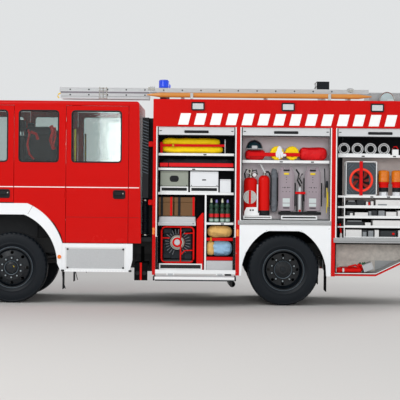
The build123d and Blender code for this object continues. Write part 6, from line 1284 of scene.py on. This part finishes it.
# Folded covers, blankets and bags. Real make: coated yellow and red canvas, tan and blue cotton and a black
# jacket, folded by hand and pushed into their trays, so they bulge between the folds and crease.
def bundle(x, y, z, folds=(), crease=0.007, seed=0.0, power=6.0, rows=40, count=72):
    """A folded bundle lying along x: a superellipsoid between its bounds. Long and short sine creases that
    drift with x lift its skin, and each fold (share of the height, depth) sinks a groove into its front."""
    (x0, x1), (y0, y1), (z0, z1) = x, y, z
    lead = np.linspace(-np.pi / 2, np.pi / 2, rows)[1:-1, None]
    turn = np.linspace(0, 2 * np.pi, count, endpoint=False)[None, :]
    soft = 2 / power
    along = np.sign(np.sin(lead)) * np.abs(np.sin(lead)) ** soft
    reach = np.abs(np.cos(lead)) ** (soft * 0.6)
    front = np.sign(np.cos(turn)) * np.abs(np.cos(turn)) ** soft
    high = np.sign(np.sin(turn)) * np.abs(np.sin(turn)) ** soft
    px = (x0 + x1) / 2 + (x1 - x0) / 2 * along + 0 * turn
    py = (y0 + y1) / 2 + (y1 - y0) / 2 * reach * front
    pz = (z0 + z1) / 2 + (z1 - z0) / 2 * reach * high
    wave = (np.sin(23 * px + 9 * np.sin(11 * pz + seed) + seed) + 0.6 * np.sin(61 * pz + 17 * px + 2 * seed)
            + 0.4 * np.sin(97 * px - 41 * pz + 3 * seed))
    inward = crease * (0.8 + 0.5 * wave)
    py = py - np.sign(py - (y0 + y1) / 2) * inward * (np.abs(front) > 0.6)
    pz = pz - np.sign(pz - (z0 + z1) / 2) * 0.8 * inward * (np.abs(high) > 0.6)
    for share, depth in folds:
        level = z0 + share * (z1 - z0) + 0.010 * np.sin(5 * px + seed)
        py = py + (front < -0.5) * depth * np.exp(-((pz - level) / 0.010) ** 2)
    return loft(np.stack((px, py, pz), axis=2))


SWELL_FRAMES = 20


def stuffed(made, voxel=0.012, pressure=4.0, cap=0.010):
    """Swells a closed form as cloth with stuffing does: it is remeshed evenly and blown up from inside for
    20 frames, no point goes further than the cap, and it is subdivided once."""
    scene = bpy.context.scene
    even = made.modifiers.new("even", "REMESH")
    even.mode = "VOXEL"
    even.voxel_size = voxel
    swell = made.modifiers.new("swell", "CLOTH")
    swell.settings.use_pressure = True
    swell.settings.uniform_pressure_force = pressure
    swell.settings.effector_weights.gravity = 0
    swell.point_cache.frame_start = 1
    swell.point_cache.frame_end = SWELL_FRAMES
    scene.frame_set(1)
    swell.show_viewport = False
    start = bpy.data.meshes.new_from_object(made.evaluated_get(bpy.context.evaluated_depsgraph_get()))
    swell.show_viewport = True
    for step in range(1, SWELL_FRAMES + 1):
        scene.frame_set(step)
        blown = made.evaluated_get(bpy.context.evaluated_depsgraph_get())
    rest, moved = np.zeros(len(start.vertices) * 3), np.zeros(len(start.vertices) * 3)
    start.vertices.foreach_get("co", rest)
    result = blown.to_mesh()
    result.vertices.foreach_get("co", moved)
    way = (moved - rest).reshape(-1, 3)
    reach = np.linalg.norm(way, axis=1, keepdims=True)
    way *= np.minimum(1, cap / np.maximum(reach, 1e-9))
    start.vertices.foreach_set("co", (rest.reshape(-1, 3) + way).ravel())
    start.polygons.foreach_set("use_smooth", np.ones(len(start.polygons), bool))
    blown.to_mesh_clear()
    made.modifiers.clear()
    made.data = start
    scene.frame_set(1)
    finer = made.modifiers.new("finer", "SUBSURF")
    finer.levels = finer.render_levels = 1
    return made


yellow_canvas = finish("coated_yellow_canvas", "#f8cc06", 0.55, shade=0.2, patch=0.05, grain=0.003, depth=0.0008,
                       Specular_IOR_Level=0.3)
red_canvas = finish("coated_red_canvas", "#d31218", 0.5, shade=0.2, patch=0.05, grain=0.003, depth=0.001,
                    Specular_IOR_Level=0.3)
black_cloth = finish("black_twill", "#17191e", 0.85, shade=0.35, patch=0.05, grain=0.003, depth=0.001)
tan_cotton = finish("tan_brushed_cotton", "#d9ae66", 0.8, shade=0.2, patch=0.06, grain=0.003, depth=0.0008)
blue_cotton = finish("light_blue_cotton", "#93b9d6", 0.8, shade=0.25, patch=0.05, grain=0.003, depth=0.0008)
grey_cloth = finish("grey_twill", "#6d7278", 0.8, shade=0.3, patch=0.05, grain=0.003, depth=0.0008)
# cover: cloth, x, y, z, folds, crease, seed, power, fill
COVERS = {
    "yellow_cover_top": (yellow_canvas, (-0.300, 0.560), (-1.085, -0.72), (2.298, 2.398), [(0.55, 0.008)],
                         0.006, 0.3, 4.0, 0.5),
    "yellow_cover_foot": (yellow_canvas, (-0.300, 0.600), (-1.092, -0.71), (2.187, 2.292), [(0.45, 0.010)],
                          0.007, 1.7, 5.0, 0.5),
    "black_jacket": (black_cloth, (-0.312, 0.734), (-1.080, -0.71), (1.974, 2.098), [(0.7, 0.012)],
                     0.012, 2.9, 5.0, 0.4),
    "tan_blanket": (tan_cotton, (0.372, 0.732), (-1.092, -0.71), (0.972, 1.134), [(0.30, 0.016)],
                    0.008, 0.9, 3.2, 0.6),
    "tan_blanket_edge": (tan_cotton, (0.372, 0.480), (-1.088, -0.90), (0.704, 0.914), [], 0.010, 3.1, 4.0, 0.4),
    "blue_shirt": (blue_cotton, (0.428, 0.728), (-1.094, -0.72), (0.700, 0.914), [(0.45, 0.014)],
                   0.014, 4.4, 3.6, 0.5),
    "red_belt_bundle": (red_canvas, (0.912, 1.205), (-1.088, -0.72), (2.096, 2.240), [(0.6, 0.014)],
                        0.014, 5.2, 5.0, 0.5),
    "red_folded_cover": (red_canvas, (1.702, 2.092), (-1.092, -0.72), (2.096, 2.282), [(0.32, 0.010), (0.66, 0.012)],
                         0.010, 6.1, 6.0, 0.6),
    "grey_jacket": (grey_cloth, (1.292, 1.382), (-1.000, -0.86), (1.330, 1.985), [], 0.010, 7.3, 4.0, 0.4)}
for cover_name, (cloth, x, y, z, folds, crease, seed, power, fill) in COVERS.items():
    cover = piece(cover_name, "truck", cloth, [bundle(x, y, z, folds, crease, seed, power)])
    stuffed(cover)
    if z[0] > 1.9:
        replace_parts(cover, "kit_bags")
    elif z[0] < 1.2:
        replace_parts(cover, "kit_cases")

# Tray front, straps and post before the folded covers. Real make: red webbing with brass buckles, sewn to a
# red tray front, and an anodised post that parts the covers.
piece("jacket_tray", "truck", red_canvas, [
    slab((-0.318, -0.200), (-1.112, -1.104), (1.9865, 2.040), corner=0.004),
    slab((-0.190, 0.740), (-1.112, -1.104), (1.9865, 2.040), corner=0.004)])
piece("cover_straps", "truck", red_webbing, [
    slab((-0.318, 0.612), (-1.1105, -1.1065), (2.276, 2.312), corner=0.004),
    slab((-0.316, -0.280), (-1.1100, -1.0800), (2.184, 2.340), corner=0.006)])
piece("cover_post", "truck", anodised,
      [slab((0.612, 0.626), (-1.110, -1.080), (2.1825, 2.385), corner=0.003)])
piece("strap_buckles", "truck", finish("brass_buckle", "#c9a227", 0.35, metallic=0.8, shade=0.1, patch=0.02),
      [slab((-0.145, -0.115), (-1.1150, -1.1100), (2.270, 2.318), corner=0.005),
                    slab((0.415, 0.440), (-1.1245, -1.1195), (0.918, 0.972), corner=0.005)])

# Rolled covers on the middle shelf. Real make: yellow coated canvas rolled up tight and tied, so that each
# end shows radial pleats round a dark core.
def pleated(radius, across, angle):
    """Lifts the skin of a roll in radial pleats, deeper towards its rim."""
    return radius * (1 + 0.05 * np.sin(13 * angle + 40 * across) * (radius > 0.05) + 0.02 * np.sin(31 * angle))


ROLL = [(0, -1.092), (0.018, -1.090), (0.034, -1.100), (0.048, -1.094), (0.062, -1.104), (0.076, -1.097),
        (0.090, -1.100), (0.099, -1.090), (0.100, -1.060), (0.096, -0.990), (0.099, -0.920), (0.092, -0.886),
        (0.060, -0.882), (0, -0.884)]
for roll_name, x in (("front", 1.372), ("back", 1.587)):
    roll = piece(f"rolled_cover_{roll_name}", "truck", yellow_canvas,
                 [turned(ROLL, (x, 0, 2.1955), count=72, radius_of=pleated)], smooth=60)
    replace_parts(roll, "kit_bags")
piece("roll_cores", "truck", black_cloth, [
    turned([(0, 0.0), (0.026, 0.0), (0.030, 0.004), (0.024, 0.010), (0, 0.012)], (x, -1.094, 2.172), way=-1, count=20)
    for x in (1.372, 1.587)])

# Ladder on the roof. Real make: two sections of extruded aluminium box beams that slide on each other, with
# riveted rungs and pressed clamps and guide plates; grey strips in the running gap between the beams are painted shade.
ladder_face = -1.0545
LADDER_END = (-1.776, 2.686)
RIVET = [(0, 0), (0.011, 0), (0.011, 0.002), (0.006, 0.004), (0, 0.004)]
gap_shade_grey = finish("painted_gap_shade", "#77747a", 0.7, shade=0.2, patch=0.1)
piece("ladder_gaps", "truck", gap_shade_grey, [
    slab((LADDER_END[0] + 0.012, -0.486), (ladder_face, ladder_face - 0.0012), z, corner=0.002, edge=0.0003)
    for z in ((3.036, 3.0615), (2.990, 2.995))])
edges, rivets = [], []
for z in (3.0645, 3.1175):
    edges.append(slab(LADDER_END, (ladder_face, ladder_face - 0.003), (z - 0.003, z + 0.003), corner=0.002, edge=0.001))
for z in (2.9600, 3.0330):
    edges.append(slab((LADDER_END[0] + 0.010, -0.484), (ladder_face, ladder_face - 0.003), (z - 0.003, z + 0.003),
                      corner=0.002, edge=0.001))
for x in np.arange(LADDER_END[0] + 0.150, LADDER_END[1] - 0.02, 0.270):
    for z in (3.090, 3.014) if x < -0.5 else (3.090,):
        rivets.append(turned(RIVET, (x, ladder_face, z), way=-1, count=12))
piece("ladder_edges", "truck", slat_white, edges)
piece("ladder_rivets", "truck", oily_steel, rivets)
fittings = [slab((x, x + 0.012), (ladder_face + 0.002, ladder_face - 0.010), (2.950, 3.128), corner=0.003)
            for x in (-1.205, -1.105)]
fittings += [slab((-1.215, -1.085), (ladder_face, ladder_face - 0.007), (z, z + 0.010), corner=0.003)
             for z in (2.962, 3.020, 3.066, 3.108)]
fittings += [slab((-0.500, -0.402), (ladder_face, ladder_face - 0.008), (3.085, 3.132), corner=0.006),
             slab((2.382, 2.468), (ladder_face, ladder_face - 0.008), (3.085, 3.132), corner=0.006)]
fittings += [tube([(-1.150, -1.058, 2.965), (-1.150, -1.062, 3.122)], 0.007)]
piece("ladder_fittings", "truck", plated, fittings)
piece("ladder_feet", "truck", light_grey,
      [slab((LADDER_END[0] - 0.004, LADDER_END[0] + 0.016), (y - 0.018, y + 0.018), (3.058, 3.125), axis=0,
            corner=0.006) for y in (-1.040, -0.680)])
piece("ladder_rope", "truck", finish("yellow_braided_rope", "#ffd000", 0.8, shade=0.2, patch=0.01),
      [tube([(-1.766, -1.000, 3.040), (-1.800, -1.005, 3.020), (-1.812, -1.005, 2.990), (-1.790, -1.000, 2.966)],
            0.009)], smooth=60)

# Beacons and the round lamp. Real make: blue ribbed polycarbonate hoods on sleeved black feet; a round
# silver-rimmed search lamp with a pressed glass, under a strip of white tape, on the roof's left edge.
blue_ribbed = finish("blue_ribbed_polycarbonate", "#0648ee", 0.15, shade=0.12, patch=0.03, coat=0.5)
hoods = []
for y in (-0.560, 0.560):
    profile = [(0.0755, 3.152)]
    for z in np.linspace(3.156, 3.244, 23):
        profile.append((0.0760 + 0.0013 * np.cos((z - 3.156) * 2 * np.pi / 0.0176), z))
    profile += [(0.0720, 3.256), (0.0600, 3.266), (0.0400, 3.2705), (0, 3.272), (0, 3.2695), (0.0745, 3.160)]
    hoods.append(turned(profile, (-0.284, y, 0), axis=2, count=40))
piece("beacon_hoods", "truck", blue_ribbed, hoods, smooth=40)
foot = [(0.0552, 2.832), (0.0575, 2.832), (0.0575, 3.124), (0.0552, 3.124)]
collar = [(0.056, 3.120), (0.078, 3.120), (0.080, 3.126), (0.080, 3.148), (0.056, 3.148)]
piece("beacon_feet", "truck", black_abs, [
    turned(profile, (-0.284, y, 0), axis=2, count=32, closed=True)
    for profile in (foot, collar) for y in (-0.560, 0.560)])
round_seat = (2.950, -1.0502, 2.985)
piece("round_lamp_rim", "truck", plated, [
    turned([(0.094, -0.004), (0.109, -0.004), (0.110, 0.008), (0.104, 0.014), (0.096, 0.010), (0.094, 0.004)],
           round_seat, way=-1, count=56, closed=True)])
piece("round_lamp_glass", "truck", finish("pressed_lamp_glass", "#a9bcbd", 0.15, shade=0.2, patch=0.05, coat=0.6),
      [turned([(0, 0.010), (0.030, 0.0095), (0.060, 0.0080), (0.095, 0.004), (0.095, 0.0005), (0, 0.0005)],
                           round_seat, way=-1, count=48)])
piece("round_lamp_tape", "truck", white_vinyl,
      [slab((2.955, 3.040), (-1.0635, -1.0605), (2.972, 2.980), corner=0.003)])

# Lighting mast. Real make: two die-cast floodlights with bright reflectors and ribbed backs on a tilting
# head, which a telescopic aluminium mast lifts off the roof.
faces_bright, frames, cooling = [], [], []
for side in SIDES.values():
    y = (side * 0.064, side * 0.292)
    for z in ((3.142, 3.200), (3.212, 3.272)):
        faces_bright.append(slab((1.9795, 1.9815), y, z, axis=0, corner=0.012, edge=0.0005))
        frames.append(slab((1.974, 1.9795), (side * 0.060, side * 0.296), (z[0] - 0.006, z[0]), axis=0, corner=0.002))
    frames.append(slab((1.974, 1.9795), (side * 0.060, side * 0.296), (3.272, 3.278), axis=0, corner=0.002))
    for x in np.arange(2.000, 2.150, 0.022):
        cooling.append(slab((x, x + 0.007), y, (3.279, 3.2815), axis=2, corner=0.002, edge=0.0008))
        cooling.append(slab((x, x + 0.007), out(side, 0.2995, 0.304), (3.140, 3.272), corner=0.002, edge=0.001))
piece("mast_lamp_faces", "mast_lights", clear_lens, faces_bright)
piece("mast_lamp_frames", "mast_lights", plated, frames)
piece("mast_lamp_fins", "mast_lights", oily_steel, cooling)

# Roof deck. Real make: stippled aluminium tread plate, riveted down inside the red edge beam.
piece("deck_plate", "truck", stippled,
      [slab((-0.395, 3.560), (-1.135, 1.135), (2.8302, 2.8318), axis=2, corner=0.004, edge=0.0005)])
piece("deck_rivets", "truck", plated,
      [turned([(0, 0), (0.008, 0), (0.007, 0.002), (0, 0.003)], (x, y, 2.8318), axis=2, count=8)
       for x in np.arange(-0.35, 3.54, 0.24) for y in (-1.12, 1.12)])

# Fascia marking. Real make: white retro-reflective film, cut to slanted bars that carry no words.
for side_name, side in SIDES.items():
    piece(f"fascia_bars_{side_name}", "truck", white_vinyl, [
        prism([(x, 2.588), (x + 0.145, 2.588), (x + 0.185, 2.752), (x + 0.040, 2.752)], out(side, 1.2502, 1.2510))
        for x in np.arange(-0.060, 2.92, 0.2275)])

# Sill plates below the openings. Real make: folded aluminium strips screwed over the panel joint.
for side_name, side in SIDES.items():
    piece(f"sill_plates_{side_name}", "truck", mill_aluminium, [
        slab((0.812, 2.152), out(side, 1.2503, 1.2620), (1.161, 1.222), corner=0.004, edge=0.003),
        slab((2.186, 3.478), out(side, 1.2503, 1.2620), (0.916, 0.984), corner=0.004, edge=0.003)])
    piece(f"sill_lines_{side_name}", "truck", brush_seal, [
        slab((0.818, 2.146), out(side, 1.2620, 1.2626), (1.180, 1.183), corner=0.001, edge=0.0002),
        slab((2.192, 3.472), out(side, 1.2620, 1.2626), (0.938, 0.941), corner=0.001, edge=0.0002)])

# Seats. Real make: foam pads under dark woven cloth, sewn with piping; two seats in front and a bench of
# four places behind, each with a head restraint, on black plinths.
def pad_block(x, y, z, power=7.0):
    """A crowned pad: a superellipsoid between its bounds, a little smaller, since it swells afterwards."""
    return bundle(x, y, z, crease=0.0, power=power, rows=16, count=28)


# piping seam: x and height from the seat's front and plinth, on the cushion and on the back
PIPING = ((0.160, 0.131), (0.260, 0.131), (0.360, 0.131), (0.484, 0.300), (0.484, 0.450), (0.484, 0.600))
# seat: front x of the cushion, y of its middle, width, top of its plinth
SEATS = [(-2.900, -0.640, 0.500, 1.750), (-2.900, 0.640, 0.500, 1.750)]
SEATS += [(-1.275, y, 0.452, 1.450) for y in (-0.711, -0.237, 0.237, 0.711)]
pads, rests, piping, belts, buckles = [], [], [], [], []
for x, y, width, low in SEATS:
    sides = (y - width / 2 + 0.012, y + width / 2 - 0.012)
    pads.append(pad_block((x + 0.012, x + 0.470), sides, (low + 0.010, low + 0.122)))
    pads.append(pad_block((x + 0.492, x + 0.590), sides, (low + 0.150, low + 0.690)))
    rests.append(pad_block((x + 0.500, x + 0.585), (y - 0.130, y + 0.130), (low + 0.735, low + 0.905)))
    rests += [tube([(x + 0.540, y + dy, low + 0.680), (x + 0.540, y + dy, low + 0.760)], 0.006) for dy in (-0.06, 0.06)]
    piping += [tube([(x + forward, sides[0] + 0.03, low + rise), (x + forward, sides[1] - 0.03, low + rise)],
                    0.003, count=6) for forward, rise in PIPING]
    shoulder = y + (0.17 if y < 0 else -0.17)
    belts.append(tube([(x + 0.478, shoulder, low + 0.690), (x + 0.470, shoulder * 0.9 + y * 0.1, low + 0.450),
                       (x + 0.440, y - (shoulder - y) * 0.8, low + 0.160)], 0.012, count=6))
    buckles.append(slab((x + 0.415, x + 0.445), (y - (shoulder - y) * 0.8 - 0.02, y - (shoulder - y) * 0.8 + 0.02),
                        (low + 0.132, low + 0.180), corner=0.006))
seat_pads = piece("seat_pads", "truck", seat_cloth, pads)
stuffed(seat_pads, voxel=0.020, cap=0.014)
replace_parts(seat_pads, "seats")
head_pads = piece("head_restraints", "truck", seat_cloth, rests, smooth=60)
piece("seat_piping", "truck", finish("grey_piping", "#5a5d63", 0.7, shade=0.1), piping)
piece("seat_belts", "truck", red_webbing, belts)
piece("belt_buckles", "truck", black_abs, buckles)

# Cab fittings. Real thing: yellow powder-coated grab bars at the crew doors, the breathing sets behind the
# front seats in black cloth with their red straps and hoses, linings of grey felt and black dash vents.
grab_yellow = finish("yellow_powder_coat", "#efd312", 0.4, shade=0.05)
for side_name, side in SIDES.items():
    piece(f"grab_bar_{side_name}", "truck", grab_yellow, [
        tube([(-1.548, side * 1.050, 2.035), (-1.548, side * 1.066, 2.075), (-1.548, side * 1.066, 2.470),
              (-1.548, side * 1.050, 2.510)], 0.015)])
    piece(f"hanging_gear_{side_name}", "truck", kit_red, [
        tube([(-2.235, side * 0.985, 2.500), (-2.215, side * 1.010, 2.430), (-2.245, side * 1.010, 2.290),
              (-2.215, side * 1.000, 2.150), (-2.150, side * 1.000, 2.075)], 0.016),
        tube([(-2.200, side * 0.990, 2.470), (-2.120, side * 1.000, 2.440), (-2.090, side * 1.000, 2.360)], 0.022),
        tube([(-1.905, side * 0.985, 2.560), (-1.870, side * 1.000, 2.480), (-1.905, side * 1.000, 2.360),
              (-1.860, side * 1.000, 2.220)], 0.030),
        tube([(-1.850, side * 0.990, 2.540), (-1.835, side * 1.000, 2.420), (-1.865, side * 1.000, 2.300)], 0.016)],
          smooth=60)
    piece(f"breathing_pack_{side_name}", "truck", black_cloth, [
        bundle((-2.300, -1.830), out(side, 0.700, 0.960), (1.980, 2.560), crease=0.02, seed=side + 3.0,
               rows=24, count=40)])
felt = finish("grey_needle_felt", "#1e2023", 0.95, shade=0.15, patch=0.1, grain=0.002, depth=0.0005)
piece("headlining", "truck", felt,
      [slab((-3.28, -0.66), (-1.02, 1.02), (2.852, 2.856), axis=2, corner=0.05, edge=0.001)])
piece("cab_back_lining", "truck", felt,
      [slab((-0.646, -0.642), (-1.02, 1.02), (1.22, 2.84), axis=0, corner=0.05, edge=0.001)])
piece("dash_vents", "truck", oily_steel,
      [slab((-3.545 + 0.03 * k, -3.527 + 0.03 * k), (y - 0.07, y + 0.07), (1.978 - 0.0043 * k, 1.983 - 0.0043 * k),
            axis=2, corner=0.004) for y in (-0.90, -0.35, 0.35, 0.90) for k in range(3)])

# Front of the cab. Real make: head lamps with metallised bowls in black bezels, wipers, silvered mirror
# glasses, felt sun visors, grip pads and a blank white number plate on the bumper.
bowl_chrome = finish("vacuum_metallised_bowl", "#d6d8da", 0.12, metallic=1.0, shade=0.03)
bowls, bezels = [], []
for side in SIDES.values():
    for y in (0.855, 0.985):
        bowls.append(turned([(0.056, 0.000), (0.060, 0.004), (0.056, 0.0055), (0.040, 0.0025), (0.014, 0.0010),
                             (0.012, 0.0045), (0, 0.0050), (0, 0.0)], (-3.7922, side * y, 0.695), axis=0, way=-1,
                            count=36))
    rows = []
    for inset, x in ((0, -3.7920), (0, -3.8040), (0.010, -3.8050), (0.014, -3.7980), (0.014, -3.7920)):
        line = rounded(0.296 - 2 * inset, 0.206 - 2 * inset, 0.032 - inset)
        rows.append(np.column_stack((np.full(len(line), x), side * 0.920 + line[:, 0], 0.695 + line[:, 1])))
    bezels.append(skin(np.array(rows), around=True, along=True))
piece("head_lamp_bowls", "truck", bowl_chrome, bowls)
piece("head_lamp_bezels", "truck", black_abs, bezels)
piece("front_plate", "truck", white_case,
      [slab((-3.8042, -3.8002), (-0.26, 0.26), (0.500, 0.610), axis=0, corner=0.012, edge=0.001)])
piece("bumper_steps", "truck", black_abs, [
    slab((-3.8035, -3.8002), (y - 0.17, y + 0.17), (0.838, 0.862), axis=0, corner=0.008) for y in (-0.52, 0.52)])
mirror_glass = finish("silvered_mirror_glass", "#cfd6da", 0.04, metallic=1.0, shade=0.02)
piece("mirror_glasses", "truck", mirror_glass, [
    slab((-3.6700, -3.6675), (side * 1.245, side * 1.435), z, axis=0, corner=0.03, edge=0.001)
    for side in SIDES.values() for z in ((2.075, 2.395), (1.965, 2.060))])
screen_foot, screen_head = np.array((-3.660, 1.705)), np.array((-3.5554, 2.700))
screen_way = (screen_head - screen_foot) / np.linalg.norm(screen_head - screen_foot)
screen_out = np.array((-screen_way[1], screen_way[0]))


def on_screen(y, share, lift):
    """A point on the windscreen: a share of the way up its slope, lifted square off it."""
    x, z = screen_foot + (screen_head - screen_foot) * share + screen_out * lift
    return (x, y, z)


wiper_parts, wiper_blades = [], []
for pivot, tip in ((-0.62, -0.06), (0.06, 0.62)):
    wiper_parts.append(tube([on_screen(pivot, -0.02, 0.012), on_screen(pivot, 0.0, 0.022),
                             on_screen((pivot + tip) / 2 - 0.05, 0.20, 0.020)], 0.009, count=8))
    wiper_blades.append(tube([on_screen(pivot - 0.10, 0.16, 0.010), on_screen(tip, 0.30, 0.010)], 0.007, count=6))
    wiper_parts.append(turned([(0, 0), (0.022, 0), (0.022, 0.020), (0.012, 0.026), (0, 0.026)],
                              on_screen(pivot, -0.02, 0.0), axis=0, way=-1, count=16))
piece("wiper_arms", "truck", oily_steel, wiper_parts)
piece("wiper_blades", "truck", rubber, wiper_blades)
piece("sun_visors", "truck", felt, [
    slab((-3.505, -3.490), (y - 0.28, y + 0.28), (2.640, 2.800), axis=0, corner=0.03, edge=0.004)
    for y in (-0.62, 0.62)])

# Back of the body. Real make: moulded red lamp lenses and round reflectors, a blank white plate and a
# stippled grip plate on the guard, and plated caps on the hose outlets.
BACK_X = 3.600
red_lens = finish("red_lamp_lens", "#b30d0d", 0.18, shade=0.05, patch=0.05, coat=0.5)
piece("tail_lenses", "truck", red_lens, [
    slab((BACK_X + 0.0255, BACK_X + 0.030), (side * 1.028, side * 1.172), (0.968, 1.092), axis=0, corner=0.014)
    for side in SIDES.values()])
piece("tail_reflectors", "truck", red_lens, [
    turned([(0, 0), (0.040, 0), (0.040, 0.006), (0.034, 0.009), (0, 0.009)], (3.800, side * 0.98, 0.620), axis=0,
           count=28) for side in SIDES.values()])
piece("rear_plate", "truck", white_case, [
    slab((3.8002, 3.8035), (-0.26, 0.26), (0.567, 0.673), axis=0, corner=0.012, edge=0.001)])
piece("step_grip", "truck", stippled, [
    slab((3.650, 3.795), (-1.18, 1.18), (0.6802, 0.6830), axis=2, corner=0.02, edge=0.001)])
piece("outlet_caps", "truck", plated, [
    turned([(0, 0.012), (0.030, 0.012), (0.0362, 0.010), (0.0362, -0.030), (0, -0.030)], (3.655, side * 0.533, 0.880),
           axis=0, count=32) for side in SIDES.values()])

# Screws of the white arch panels and the tail pipe's dark mouth. Real make: M6 pan heads in stainless steel;
# the pipe is black with soot inside.
PAN_HEAD = [(0, 0), (0.007, 0), (0.006, 0.0022), (0.003, 0.003), (0, 0.003)]
SCREW_PLACES = ((0.790, 0.470), (0.790, 0.750), (0.760, 1.110), (2.120, 1.110), (2.150, 0.750), (2.150, 0.470))
for side_name, side in SIDES.items():
    piece(f"panel_screws_{side_name}", "truck", plated,
          [turned(PAN_HEAD, (x, side * 1.2500, z), way=side, count=8) for x, z in SCREW_PLACES])
piece("exhaust_mouth", "truck", shade_and_trim_black, [
    disc(0.044, 0, 0.002, (0.740, -1.081, 0.300), way=-1, count=20)])
